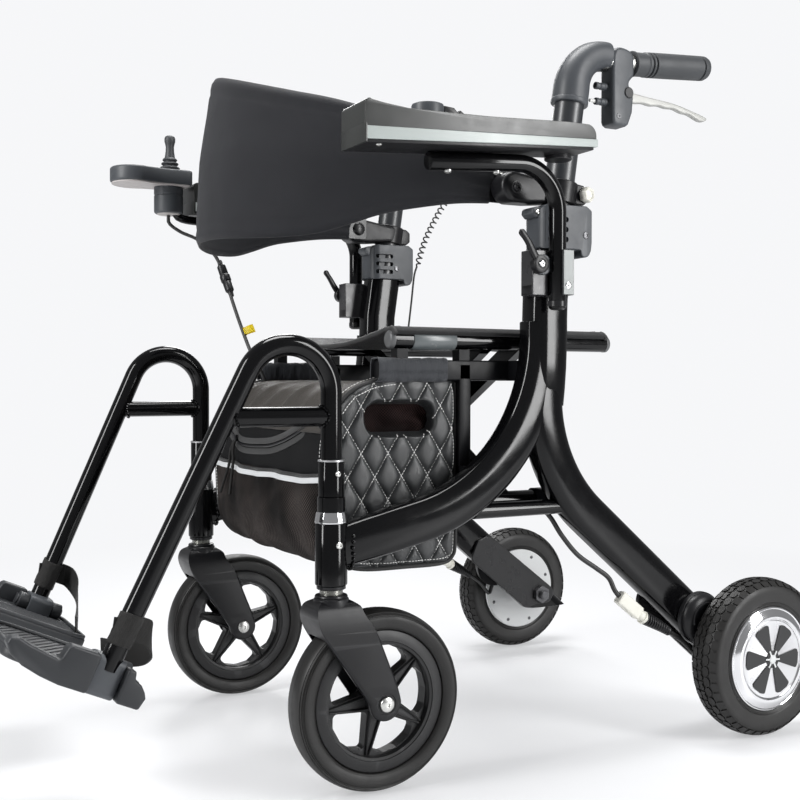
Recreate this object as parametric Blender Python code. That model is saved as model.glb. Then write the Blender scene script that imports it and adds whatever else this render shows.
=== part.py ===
"""Electric rollator: a folding walking frame with hub motors, seat, back band and footrests.

Units are metres. +Z is up, the footrests point to -Y and the push handles to +Y.
+X is the seated user's left side. Every y below is measured from the front wheel axle, and the
empty called part_frame moves the whole object so that its footprint is centred on the origin.
A pair of pieces is modelled once on the left side and mirrored to the right.
"""
import math

import bmesh
import bpy
from mathutils import Matrix, Vector

# Overall layout
FRONT_AXLE_Y = -0.1145
WHEEL_RADIUS = 0.100
WHEELBASE = 0.520
SIDE_X = 0.218
REAR_WHEEL_X = 0.277
GAP = 0.0003
ROUND_SIDES = 16

# Side frame
LEG_DEPTH = 0.050
LEG_THICK = 0.034
POST_DEPTH = 0.0515
POST_THICK = 0.040
FRONT_TUBE_Y = 0.222
REAR_TUBE_Y = 0.2225
POST_Y = 0.2275
HEAD_Y = -0.053
HEAD_RADIUS = 0.0175
HEAD_BORE = 0.0118
HEAD_BOTTOM = 0.230
HEAD_TOP = 0.315
COLLAR_HEIGHT = 0.0097
FRONT_LEG_JOIN_Z = 0.268
FRONT_LEG_SLOPE = math.radians(13)
FRONT_LEG_BEND = 0.215
REAR_LEG_CORNER_Z = 0.3436
REAR_LEG_SLOPE = math.radians(40)
REAR_LEG_BEND = 0.190
REAR_LEG_END_Y = 0.585
REAR_LEG_FOOT_Z = 0.076
POST_FOOT_Z = 0.470
POST_SKIRT = 0.050
CROTCH_Z = 0.368
WEB_THICK = 0.0315
LEAN_Z = 0.545
LEAN = math.radians(8.4)
POST_TOP_Z = 0.605
POST_BORE_DEPTH = 0.105
FRAME_BAR_RADIUS = 0.009
FRAME_BAR_Z = 0.299

# Cross brace under the seat
HINGE_X = 0.178
HINGE_Z = 0.305
HINGE_ROD = 0.006
HINGE_SLEEVE = 0.011
HINGE_CLEARANCE = 0.0003
LUG_FRONT_Y = 0.127
LUG_THICK = 0.006
LUG_REAR_Y = 0.239
LUG_REAR_THICK = 0.013
RAIL_Z = 0.497
RAIL_RADIUS = 0.0102
RAIL_FRONT_Y = 0.036
RAIL_REAR_Y = 0.353
ARM_HEIGHT = 0.022
ARM_THICK = 0.013
INNER_ARM_Y = 0.195
ARM_PITCH = 0.0255
PIVOT_PIN = 0.005

# Bag bar with the saddles that the seat rails rest on
BAG_BAR_WIDTH = 0.020
BAG_BAR_BOTTOM = 0.450
BAG_BAR_TOP = 0.474
BAG_BAR_FRONT_Y = 0.018
SUPPORT_DEPTH = 0.016
SADDLE_FRONT_Y = 0.044

# Casters and front wheels
FORK_HALF_WIDTH = 0.0285
FORK_CROWN_HALF = 0.0225
FORK_LEG = 0.006
FORK_WHEEL_GAP = 0.0035
FORK_TOP_Z = 0.214
FORK_EYE = 0.019
STEM_RADIUS = 0.0115
STEM_TOP_Z = 0.262
AXLE_RADIUS = 0.004
AXLE_HEAD = 0.0085
AXLE_HEAD_THICK = 0.003
FRONT_TYRE_BORE = 0.0785
FRONT_TYRE_HALF = 0.019
FRONT_RIM_HALF = 0.0145
FRONT_RIM_INNER = 0.061
FRONT_HUB_RADIUS = 0.015
SPOKES = 5
SPOKE_WIDTH = 0.015
SPOKE_THICK = 0.014
SPOKE_START = math.radians(41)

# Motor wheels
REAR_TYRE_BORE = 0.0663
REAR_TYRE_HALF = 0.0235
HUB_HALF = 0.0225
HUB_OUTER_HALF = 0.0255
HUB_FACE_RADIUS = 0.052
SHAFT_RADIUS = 0.008
SHAFT_COLLAR = 0.012
SHAFT_NUT = 0.013
SHAFT_NUT_THICK = 0.007
SHAFT_DEPTH = 0.036
BRACKET_THICK = 0.005
COVER_RADIUS = 0.034
COVER_DEPTH = 0.0175
COVER_Y = 0.457

# Handles and brakes
HANDLE_RADIUS = 0.018
HANDLE_BOTTOM_Z = 0.508
ELBOW_BOTTOM_Z = 0.782
ELBOW_SOCKET = 0.017
ELBOW_RADIUS = 0.0215
ELBOW_END_RADIUS = 0.0165
ELBOW_BEND = 0.0515
GRIP_Z = 0.841
GRIP_TILT = math.radians(5)
ELBOW_END_Z = 0.848
ELBOW_END_Y = 0.319
STUB_RADIUS = 0.0115
STUB_LENGTH = 0.152
GRIP_RADIUS = 0.0155
GRIP_LENGTH = 0.1250
HOUSING_DEPTH = 0.0345
HOUSING_HALF_WIDTH = 0.0125
HOUSING_BOTTOM_Z = 0.763
HOUSING_TOP_Z = 0.8590
LEVER_THICK = 0.008
LEVER_PIVOT_Z = 0.803
LEVER_TIP_Y = 0.481
LEVER_PIN = 0.003
CLAMP_TOP_Z = 0.657
CLAMP_FRONT_Y = 0.2095
CLAMP_FRONT_ROUND = 0.014
CLAMP_REAR_Y = 0.2790
CLAMP_INNER = 0.0225
CLAMP_OUTER = 0.0245

# Backrest
CUFF_RADIUS = 0.0225
CUFF_BOTTOM_Z = 0.6610
CUFF_HEIGHT = 0.0265
BACK_PIVOT_Y = 0.182
BACK_PIVOT_Z = 0.677
BACK_ARM_RADIUS = 0.0185
BACK_ARM_WIDTH = 0.029
BACK_PIN = 0.005
BAND_HALF_WIDTH = 0.190
BAND_REACH = 0.3005
BAND_THICK = 0.010
BAND_END_RISE = 0.022
BAND_TOP_RISE = 0.073
BAND_BOTTOM_DROP = 0.084
BAND_FLAT = 0.955
BAND_TAIL = 0.015
BAND_DROP_LEAN = math.radians(3.5)

# Armrests
ARM_TUBE_X = 0.262
ARM_TUBE_RADIUS = 0.010
ARM_TUBE_Y = 0.2135
ARM_TUBE_FRONT_Y = 0.041
ARM_TUBE_BOTTOM_Z = 0.533
ARM_TUBE_BEND = 0.052
PAD_FRONT_Y = -0.054
PAD_REAR_Y = 0.241
PAD_FRONT_BOTTOM = 0.690
PAD_REAR_BOTTOM = 0.711
PAD_TOP = 0.736
PAD_HUMP = 0.005
PAD_INNER_X = 0.2445
PAD_WIDTH = 0.056
CHANNEL_BOTTOM = 0.548
CHANNEL_TOP = 0.600
CHANNEL_FRONT_Y = 0.182
CHANNEL_REAR_Y = 0.2265
CHANNEL_LIP_X = 0.2575
CHANNEL_REAR_X = 0.2765
LOCK_X = 0.2578
LOCK_Y = 0.188
LOCK_Z = 0.583
LOCK_HUB_RADIUS = 0.0115
LOCK_HUB_LENGTH = 0.0100
LOCK_ARM = 0.037
LOCK_ARM_FORWARD = 0.027

# Footrests
HANGER_RADIUS = 0.0115
HANGER_SLEEVE = 0.014
HANGER_SLEEVE_TOP = 0.364
HANGER_PIN_BOTTOM = 0.268
HANGER_TOP_BEND = 0.050
HANGER_BEND_Z = 0.437
HANGER_SLOPE = math.radians(65.2)
HANGER_LEG = 0.3277
HANGER_TURN = math.pi / 2 - HANGER_SLOPE
HANGER_FOOT_X = 0.187
CROSSBAR_RADIUS = 0.0105
CROSSBAR_Z = 0.411
PLATE_HINGE_X = 0.170
PLATE_INNER_X = 0.050
PLATE_OUTER_X = 0.207
PLATE_FRONT = 0.107
PLATE_REAR = 0.0435
PLATE_TOP = -0.008
PLATE_THICK = 0.011
PLATE_WALL = 0.019
PLATE_CORNER = 0.034
CASTING_HALF = 0.0150
CASTING_RADIUS = 0.0125
KNUCKLE_LENGTH = 0.013
PLATE_PIN = 0.004
BLOCK_TOP = 0.013
BLOCK_BOTTOM = 0.027

# Joystick
JOY_X = -0.262
POD_BOTTOM_Z = 0.727
POD_TOP_Z = 0.750
POD_FRONT_RADIUS = 0.033
POD_FRONT_Y = -0.136
POD_REAR_Y = -0.0575
POD_HALF_WIDTH = 0.026
POD_STEM_RADIUS = 0.0205
POD_STEM_BOTTOM = 0.688
STICK_Y = -0.084
STICK_TOP = 0.801
STICK_BALL = 0.0052
BOOT_RADIUS = 0.014
RECESS_RADIUS = 0.0155
RECESS_CUP = 0.0152
GIMBAL_RADIUS = 0.0148
POD_ROD_RADIUS = 0.006
BUTTON_RADIUS = 0.006
BUTTON_HEIGHT = 0.004
BUTTON_PROUD = 0.0015
BUTTON_WELL = 0.005
BUTTON_Y = -0.140

# Seat, bag and what is in the bag
SLING_HALF_WIDTH = 0.186
SLING_THICK = 0.006
SLING_SAG = 0.018
SLING_FRONT_Y = 0.040
SLING_REAR_Y = 0.343
BAG_HALF_WIDTH = 0.178
BAG_FRONT_Y = -0.042
BAG_REAR_Y = 0.1265
BAG_BOTTOM_Z = 0.235
BAG_TOP_Z = 0.4475
BAG_WALL = 0.003
BAG_MOUTH_MARGIN = 0.016
SLOT_FRONT_Y = 0.008
SLOT_REAR_Y = 0.091
SLOT_BOTTOM_Z = 0.390
SLOT_TOP_Z = 0.424
BATTERY_SIZE = (0.120, 0.100, 0.075)
BATTERY_X = 0.095
CONTROLLER_SIZE = (0.085, 0.096, 0.045)
CONTROLLER_X = -0.022
CASE_Y = 0.057

# Cables
MOTOR_CABLE_RADIUS = 0.0035
JOY_CABLE_RADIUS = 0.0025
COIL_RADIUS = 0.0045
LEAD_RADIUS = 0.0015

FRONT_AXLE = Vector((SIDE_X, 0.0, WHEEL_RADIUS))
REAR_AXLE = Vector((REAR_WHEEL_X, WHEELBASE, WHEEL_RADIUS))
POST_DIRECTION = Vector((0.0, math.sin(LEAN), math.cos(LEAN)))
PLATE_ANGLE = math.radians(24.5)
HANGER_BEND_END = Vector((
    SIDE_X,
    HEAD_Y - HANGER_TOP_BEND - HANGER_TOP_BEND * math.cos(HANGER_TURN),
    HANGER_BEND_Z + HANGER_TOP_BEND * math.sin(HANGER_TURN),
))
PLATE_HINGE = Vector((
    PLATE_HINGE_X,
    HANGER_BEND_END.y - HANGER_LEG * math.cos(HANGER_SLOPE),
    HANGER_BEND_END.z - HANGER_LEG * math.sin(HANGER_SLOPE),
))

FINISHES = {
    "gloss_black": ((0.008, 0.008, 0.009), 0.12, 0.0),
    "satin_black": ((0.018, 0.018, 0.020), 0.40, 0.0),
    "charcoal": ((0.055, 0.060, 0.068), 0.50, 0.0),
    "rubber": ((0.020, 0.020, 0.021), 0.70, 0.0),
    "silver": ((0.62, 0.63, 0.65), 0.25, 1.0),
    "steel": ((0.55, 0.55, 0.56), 0.35, 1.0),
    "vinyl": ((0.030, 0.030, 0.032), 0.45, 0.0),
    "fabric": ((0.022, 0.020, 0.021), 0.90, 0.0),
    "case": ((0.12, 0.12, 0.13), 0.55, 0.0),
}


def clear_scene():
    for item in list(bpy.data.objects):
        bpy.data.objects.remove(item, do_unlink=True)


def post_y(z):
    """The y of the leaning handle axis at a height."""
    return POST_Y + (z - LEAN_Z) * math.tan(LEAN)


def on_post(z):
    return Vector((SIDE_X, post_y(z), z))


def pad_bottom(y):
    """Height of the armrest pad's sloping underside."""
    share = (y - PAD_FRONT_Y) / (PAD_REAR_Y - PAD_FRONT_Y)
    return PAD_FRONT_BOTTOM + share * (PAD_REAR_BOTTOM - PAD_FRONT_BOTTOM)


def arc(centre, radius, start, end, steps):
    """Points on a circle in a plane, angles in degrees."""
    points = []
    for step in range(steps + 1):
        angle = math.radians(start + (end - start) * step / steps)
        points.append((centre[0] + radius * math.cos(angle), centre[1] + radius * math.sin(angle)))
    return points


def fillet(corners, radius, steps):
    """A path through corners with each inner corner rounded to one radius."""
    corners = [Vector(corner) for corner in corners]
    path = [corners[0]]
    for before, corner, after in zip(corners, corners[1:], corners[2:]):
        towards = (before - corner).normalized()
        onward = (after - corner).normalized()
        half = towards.angle(onward) / 2
        tangent = radius / math.tan(half)
        centre = corner + (towards + onward).normalized() * (radius / math.sin(half))
        first = corner + towards * tangent - centre
        last = corner + onward * tangent - centre
        sweep_angle = first.angle(last)
        for step in range(steps + 1):
            share = step / steps
            blend = first * math.sin((1 - share) * sweep_angle) + last * math.sin(share * sweep_angle)
            path.append(centre + blend / math.sin(sweep_angle))
    path.append(corners[-1])
    return path


def close_up(mesh):
    bmesh.ops.recalc_face_normals(mesh, faces=mesh.faces)
    return mesh


def sweep(path, section, side=(1, 0, 0)):
    """A capped tube along a path. section(i) gives offsets (across, sideways) of ring i."""
    path = [Vector(point) for point in path]
    side = Vector(side)
    mesh = bmesh.new()
    rings = []
    for index, point in enumerate(path):
        ahead = path[min(index + 1, len(path) - 1)]
        behind = path[max(index - 1, 0)]
        if 0 < index < len(path) - 1:
            along = (ahead - point).normalized() + (point - behind).normalized()
        else:
            along = ahead - behind
        along.normalize()
        sideways = (side - along * side.dot(along)).normalized()
        across = along.cross(sideways)
        stretch = 1.0
        if 0 < index < len(path) - 1:
            stretch = 1 / max(0.5, (point - behind).normalized().dot(along))
        ring = []
        for out, aside in section(index):
            ring.append(mesh.verts.new(point + across * out * stretch + sideways * aside))
        rings.append(ring)
    for ring, following in zip(rings, rings[1:]):
        for index in range(len(ring)):
            turn = (index + 1) % len(ring)
            mesh.faces.new((ring[index], ring[turn], following[turn], following[index]))
    mesh.faces.new(rings[0])
    mesh.faces.new(rings[-1])
    return close_up(mesh)


def ellipse(depth, thick, sides=ROUND_SIDES, squareness=1.0):
    """Ring offsets of an oval, squarer as squareness falls below one."""
    ring = []
    for step in range(sides):
        angle = 2 * math.pi * (step + 0.5) / sides
        out = math.copysign(abs(math.cos(angle)) ** squareness, math.cos(angle))
        aside = math.copysign(abs(math.sin(angle)) ** squareness, math.sin(angle))
        ring.append((depth / 2 * out, thick / 2 * aside))
    return ring


def tube(path, radius, sides=ROUND_SIDES, side=(1, 0, 0)):
    return sweep(path, lambda index: ellipse(2 * radius, 2 * radius, sides), side)


def rod(start, end, radius, sides=ROUND_SIDES):
    direction = Vector(end) - Vector(start)
    side = (1, 0, 0) if abs(direction.x) < 0.5 * direction.length else (0, 0, 1)
    return tube([start, end], radius, sides, side)


def turned(profile, centre, direction, sides=24):
    """A solid of revolution. profile is a closed outline of (radius, distance along)."""
    direction = Vector(direction).normalized()
    across = Vector((0, 0, 1)) if abs(direction.z) < 0.9 else Vector((1, 0, 0))
    across = (across - direction * across.dot(direction)).normalized()
    aside = direction.cross(across)
    centre = Vector(centre)
    mesh = bmesh.new()
    columns = []
    for radius, distance in profile:
        base = centre + direction * distance
        if radius < 1e-6:
            columns.append([mesh.verts.new(base)] * sides)
            continue
        column = []
        for step in range(sides):
            angle = 2 * math.pi * step / sides
            column.append(mesh.verts.new(base + (across * math.cos(angle) + aside * math.sin(angle)) * radius))
        columns.append(column)
    count = len(columns)
    for index in range(count):
        here = columns[index]
        there = columns[(index + 1) % count]
        for step in range(sides):
            turn = (step + 1) % sides
            corners = []
            for vert in (here[step], here[turn], there[turn], there[step]):
                if vert not in corners:
                    corners.append(vert)
            if len(corners) > 2:
                mesh.faces.new(corners)
    return close_up(mesh)


def prism(outline, low, high, axis="X"):
    """An outline extruded along X from (y, z), along Y from (x, z) or along Z from (x, y)."""
    place = {
        "X": lambda a, b, depth: (depth, a, b),
        "Y": lambda a, b, depth: (a, depth, b),
        "Z": lambda a, b, depth: (a, b, depth),
    }[axis]
    mesh = bmesh.new()
    bottom = [mesh.verts.new(place(a, b, low)) for a, b in outline]
    top = [mesh.verts.new(place(a, b, high)) for a, b in outline]
    count = len(outline)
    for index in range(count):
        turn = (index + 1) % count
        mesh.faces.new((bottom[index], bottom[turn], top[turn], top[index]))
    mesh.faces.new(bottom)
    mesh.faces.new(top)
    return close_up(mesh)


def box(low, high):
    outline = [(low[1], low[2]), (high[1], low[2]), (high[1], high[2]), (low[1], high[2])]
    return prism(outline, low[0], high[0])


def soften(mesh, width, segments=1, sharper=30):
    """Bevel every edge sharper than an angle in degrees."""
    edges = [edge for edge in mesh.edges if edge.calc_face_angle(0.0) > math.radians(sharper)]
    bmesh.ops.bevel(mesh, geom=edges, offset=width, segments=segments, affect="EDGES", profile=0.5)
    return close_up(mesh)


def carve(mesh, operation, tools):
    """Union or difference of a mesh with tool meshes, one after another."""
    target = temporary("target", mesh)
    helpers = []
    for tool in tools:
        helper = temporary("tool", tool)
        modifier = target.modifiers.new(operation, "BOOLEAN")
        modifier.operation = operation
        modifier.solver = "EXACT"
        modifier.object = helper
        helpers.append(helper)
    evaluated = target.evaluated_get(bpy.context.evaluated_depsgraph_get())
    result = bmesh.new()
    result.from_mesh(evaluated.to_mesh())
    evaluated.to_mesh_clear()
    for item in [target] + helpers:
        bpy.data.objects.remove(item, do_unlink=True)
    return result


def temporary(name, mesh):
    data = bpy.data.meshes.new(name)
    mesh.to_mesh(data)
    mesh.free()
    item = bpy.data.objects.new(name, data)
    bpy.context.scene.collection.objects.link(item)
    return item


def union(mesh, *tools):
    return carve(mesh, "UNION", tools)


def cut(mesh, *tools):
    return carve(mesh, "DIFFERENCE", tools)


def tidy(mesh):
    """Merge the slivers that a Boolean leaves, and triangulate what is left."""
    bmesh.ops.remove_doubles(mesh, verts=mesh.verts, dist=0.00002)
    bmesh.ops.dissolve_degenerate(mesh, edges=mesh.edges, dist=0.00002)
    flat = [edge for edge in mesh.edges if edge.calc_face_angle(1.0) < math.radians(0.2)]
    bmesh.ops.dissolve_edges(mesh, edges=flat, use_verts=False, use_face_split=False)
    loose = [vert for vert in mesh.verts if len(vert.link_edges) == 2]
    straight = [vert for vert in loose if vert.calc_edge_angle(1.0) < math.radians(0.2)]
    bmesh.ops.dissolve_verts(mesh, verts=straight)
    bmesh.ops.triangulate(mesh, faces=mesh.faces)
    return mesh


def finish_material(name, finish):
    colour, roughness, metallic = FINISHES[finish]
    material = bpy.data.materials.new(name)
    material.use_nodes = True
    shader = material.node_tree.nodes["Principled BSDF"]
    shader.inputs["Base Color"].default_value = (*colour, 1.0)
    shader.inputs["Roughness"].default_value = roughness
    shader.inputs["Metallic"].default_value = metallic
    return material


class Builder:
    """Places finished meshes in the scene under the part_frame empty."""

    def __init__(self):
        self.frame = bpy.data.objects.new("part_frame", None)
        self.frame.location = (0.0, FRONT_AXLE_Y, 0.0)
        bpy.context.scene.collection.objects.link(self.frame)

    def single(self, name, mesh, finish, pivot=(0, 0, 0), smooth=40):
        """One piece whose origin lies at pivot, on its joint's axis."""
        tidy(mesh)
        bmesh.ops.translate(mesh, verts=mesh.verts, vec=-Vector(pivot))
        data = bpy.data.meshes.new(name)
        mesh.to_mesh(data)
        mesh.free()
        data.shade_smooth()
        data.set_sharp_from_angle(angle=math.radians(smooth))
        item = bpy.data.objects.new(name, data)
        item.location = pivot
        item.parent = self.frame
        data.materials.append(finish_material(name, finish))
        bpy.context.scene.collection.objects.link(item)
        return item

    def pair(self, name, mesh, finish, pivot=(0, 0, 0), smooth=40):
        """A left piece and its mirror image on the right."""
        twin = mesh.copy()
        bmesh.ops.scale(twin, verts=twin.verts, vec=(-1, 1, 1))
        bmesh.ops.reverse_faces(twin, faces=twin.faces)
        self.single(name + "_left", mesh, finish, pivot, smooth)
        self.single(name + "_right", twin, finish, (-pivot[0], pivot[1], pivot[2]), smooth)

    def cord(self, name, path, radius, finish, resolution=2):
        """A cable as a bevelled poly curve along a smooth line through its route."""
        curve = bpy.data.curves.new(name, "CURVE")
        curve.dimensions = "3D"
        curve.bevel_depth = radius
        curve.bevel_resolution = resolution
        curve.render_resolution_u = 0
        curve.use_fill_caps = True
        spline = curve.splines.new("POLY")
        spline.points.add(len(path) - 1)
        for point, place in zip(spline.points, path):
            point.co = (*place, 1.0)
        item = bpy.data.objects.new(name, curve)
        item.parent = self.frame
        curve.materials.append(finish_material(name, finish))
        bpy.context.scene.collection.objects.link(item)


def smooth_route(route, spacing):
    """Points at even spacing on a smooth curve through the route's own points."""
    route = [Vector(point) for point in route]
    ends = [route[0] * 2 - route[1]] + route + [route[-1] * 2 - route[-2]]
    fine = []
    for index in range(1, len(ends) - 2):
        a, b, c, d = ends[index - 1:index + 3]
        for step in range(20):
            t = step / 20
            cubic = (2 * a - 5 * b + 4 * c - d) * t * t + (3 * b - a - 3 * c + d) * t ** 3
            fine.append((2 * b + (c - a) * t + cubic) / 2)
    fine.append(route[-1])
    length = sum((q - p).length for p, q in zip(fine, fine[1:]))
    pieces = max(2, round(length / spacing))
    points = [fine[0]]
    walked = 0.0
    target = length / pieces
    for p, q in zip(fine, fine[1:]):
        stretch = (q - p).length
        while len(points) < pieces and walked + stretch >= target * len(points):
            share = (target * len(points) - walked) / stretch
            points.append(p.lerp(q, share))
        walked += stretch
    points.append(fine[-1])
    return points


def side_frame():
    front_corner_z = FRONT_LEG_JOIN_Z + math.tan(FRONT_LEG_SLOPE) * (FRONT_TUBE_Y - HEAD_Y)
    start_y = HEAD_Y + HEAD_RADIUS / 2
    start_z = FRONT_LEG_JOIN_Z + math.tan(FRONT_LEG_SLOPE) * (start_y - HEAD_Y)
    leg_top = POST_FOOT_Z + LEG_DEPTH
    front_path = fillet(
        [(SIDE_X, start_y, start_z), (SIDE_X, FRONT_TUBE_Y, front_corner_z), (SIDE_X, FRONT_TUBE_Y, leg_top)],
        FRONT_LEG_BEND, 9)
    run = REAR_LEG_END_Y - REAR_TUBE_Y
    rear_path = fillet(
        [(SIDE_X, REAR_TUBE_Y, leg_top), (SIDE_X, REAR_TUBE_Y, REAR_LEG_CORNER_Z),
         (SIDE_X, REAR_LEG_END_Y, REAR_LEG_CORNER_Z - math.tan(REAR_LEG_SLOPE) * run)],
        REAR_LEG_BEND, 7)
    leg = ellipse(LEG_DEPTH, LEG_THICK, 14, 0.62)
    narrow = ellipse(LEG_DEPTH * 0.92, LEG_THICK * 0.82, 14, 0.62)
    front = sweep(front_path, lambda index: narrow if index == 0 else leg)
    rear = sweep(rear_path, lambda index: leg)
    post_ring = ellipse(POST_DEPTH, POST_THICK, 18, 0.62)
    skirt_ring = ellipse(LEG_DEPTH * 0.90, LEG_THICK * 0.90, 18, 0.62)
    post_path = [(SIDE_X, POST_Y, POST_FOOT_Z - POST_SKIRT), (SIDE_X, POST_Y, POST_FOOT_Z + 0.020),
                 (SIDE_X, POST_Y, LEAN_Z), on_post(POST_TOP_Z + 0.012)]
    post = sweep(post_path, lambda index: post_ring if index else skirt_ring)
    head_profile = [(0, 0), (HEAD_RADIUS, 0), (HEAD_RADIUS, HEAD_TOP - HEAD_BOTTOM),
                    (HANGER_SLEEVE, HEAD_TOP + COLLAR_HEIGHT - HEAD_BOTTOM),
                    (0, HEAD_TOP + COLLAR_HEIGHT - HEAD_BOTTOM)]
    head = turned(head_profile, (SIDE_X, HEAD_Y, HEAD_BOTTOM), (0, 0, 1), 20)
    bar = rod((SIDE_X, LUG_FRONT_Y, FRAME_BAR_Z), (SIDE_X, LUG_REAR_Y + LUG_REAR_THICK, FRAME_BAR_Z),
              FRAME_BAR_RADIUS, 12)
    frame = union(front, rear, post, leg_web(), head, bar, *seat_support(), *hinge_lugs(), armrest_channel())
    foot = box((0, WHEELBASE - 0.2, -0.1), (SIDE_X + 0.1, REAR_LEG_END_Y + 0.1, REAR_LEG_FOOT_Z))
    top = box((0, POST_Y - 0.1, POST_TOP_Z), (SIDE_X + 0.1, POST_Y + 0.1, POST_TOP_Z + 0.1))
    head_bore = rod((SIDE_X, HEAD_Y, HEAD_BOTTOM - 0.01), (SIDE_X, HEAD_Y, HEAD_TOP + COLLAR_HEIGHT + 0.01),
                    HEAD_BORE)
    post_bore = rod(on_post(POST_TOP_Z - POST_BORE_DEPTH), on_post(POST_TOP_Z + 0.03),
                    HANDLE_RADIUS + GAP, 20)
    shaft_bore = rod((SIDE_X - LEG_THICK, WHEELBASE, WHEEL_RADIUS), (SIDE_X + LEG_THICK, WHEELBASE, WHEEL_RADIUS),
                     SHAFT_RADIUS + GAP)
    return cut(frame, foot, top, head_bore, post_bore, shaft_bore)


def leg_web():
    """The flat that fills the groove between the two legs below the post."""
    half = LEG_DEPTH * 0.30
    middle = (FRONT_TUBE_Y + REAR_TUBE_Y) / 2
    outline = [(middle - half, POST_FOOT_Z), (middle - half, POST_FOOT_Z - POST_SKIRT), (middle, CROTCH_Z),
               (middle + half, POST_FOOT_Z - POST_SKIRT), (middle + half, POST_FOOT_Z)]
    return prism(outline, SIDE_X - WEB_THICK / 2, SIDE_X + WEB_THICK / 2)


def seat_support():
    """The bag bar, its upright on the front leg, and the saddles for the seat rail."""
    inner = HINGE_X - BAG_BAR_WIDTH / 2
    outer = HINGE_X + BAG_BAR_WIDTH / 2
    reach = SIDE_X - LEG_THICK / 2 + 0.006
    post_front = POST_Y - POST_DEPTH / 2
    bar = box((inner, BAG_BAR_FRONT_Y, BAG_BAR_BOTTOM), (outer, post_front, BAG_BAR_TOP))
    tab = box((inner, post_front - 0.006, BAG_BAR_BOTTOM), (reach, post_front + 0.012, BAG_BAR_TOP))
    lug_top = HINGE_Z + HINGE_SLEEVE + 0.006
    upright = box((inner, LUG_FRONT_Y, lug_top), (outer, LUG_FRONT_Y + SUPPORT_DEPTH, BAG_BAR_TOP - 0.004))
    foot = box((inner + 0.002, LUG_FRONT_Y, lug_top - 0.006), (reach, LUG_FRONT_Y + LUG_THICK, lug_top + 0.028))
    saddle_top = RAIL_Z - RAIL_RADIUS - GAP
    saddles = []
    for y in (SADDLE_FRONT_Y, LUG_FRONT_Y):
        saddles.append(box((inner + 0.002, y + 0.001, BAG_BAR_TOP - 0.005),
                           (outer - 0.002, y + SUPPORT_DEPTH - 0.001, saddle_top)))
    return [bar, tab, upright, foot] + saddles


def hinge_lugs():
    """Two lugs and the rod between them that the cross brace turns on."""
    reach = SIDE_X - LEG_THICK / 2 + 0.006
    low = HINGE_Z - HINGE_SLEEVE - 0.002
    high = HINGE_Z + HINGE_SLEEVE + 0.002
    inner = HINGE_X - HINGE_SLEEVE
    front = box((inner, LUG_FRONT_Y, low), (reach, LUG_FRONT_Y + LUG_THICK, high))
    rear = box((inner, LUG_REAR_Y, low), (reach, LUG_REAR_Y + LUG_REAR_THICK, high))
    pin = rod((HINGE_X, LUG_FRONT_Y + LUG_THICK / 2, HINGE_Z), (HINGE_X, LUG_REAR_Y + LUG_THICK, HINGE_Z),
              HINGE_ROD, 12)
    return [front, rear, pin]


def armrest_channel():
    """The upright channel on the post's outer face that the armrest tube slides in."""
    root = SIDE_X + POST_THICK / 2 - 0.004
    groove = ARM_TUBE_RADIUS + GAP
    floor = ARM_TUBE_X - groove
    outline = [
        (root, CHANNEL_FRONT_Y), (CHANNEL_LIP_X, CHANNEL_FRONT_Y), (CHANNEL_LIP_X, ARM_TUBE_Y - groove),
        (floor, ARM_TUBE_Y - groove), (floor, ARM_TUBE_Y + groove), (ARM_TUBE_X + groove, ARM_TUBE_Y + groove),
        (ARM_TUBE_X + groove, ARM_TUBE_Y - 0.002), (CHANNEL_REAR_X, ARM_TUBE_Y - 0.002),
        (CHANNEL_REAR_X, CHANNEL_REAR_Y), (root, CHANNEL_REAR_Y),
    ]
    return prism(outline, CHANNEL_BOTTOM, CHANNEL_TOP, "Z")


def arm_bar(y, left_low):
    """One flat bar from a lower hinge up to the opposite seat rail."""
    side = 1 if left_low else -1
    low = Vector((side * HINGE_X, y, HINGE_Z))
    high = Vector((-side * HINGE_X, y, RAIL_Z))
    ring = [(-ARM_HEIGHT / 2, -ARM_THICK / 2), (ARM_HEIGHT / 2, -ARM_THICK / 2),
            (ARM_HEIGHT / 2, ARM_THICK / 2), (-ARM_HEIGHT / 2, ARM_THICK / 2)]
    return sweep([low, high], lambda index: ring, (0, 1, 0))


def hinge_sleeve(x):
    low = LUG_FRONT_Y + LUG_THICK + GAP
    return rod((x, low, HINGE_Z), (x, LUG_REAR_Y - GAP, HINGE_Z), HINGE_SLEEVE)


def hinge_bore(x):
    return rod((x, LUG_FRONT_Y, HINGE_Z), (x, LUG_REAR_Y + LUG_REAR_THICK, HINGE_Z),
               HINGE_ROD + HINGE_CLEARANCE, 12)


def seat_rail(x):
    return rod((x, RAIL_FRONT_Y, RAIL_Z), (x, RAIL_REAR_Y, RAIL_Z), RAIL_RADIUS)


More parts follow.
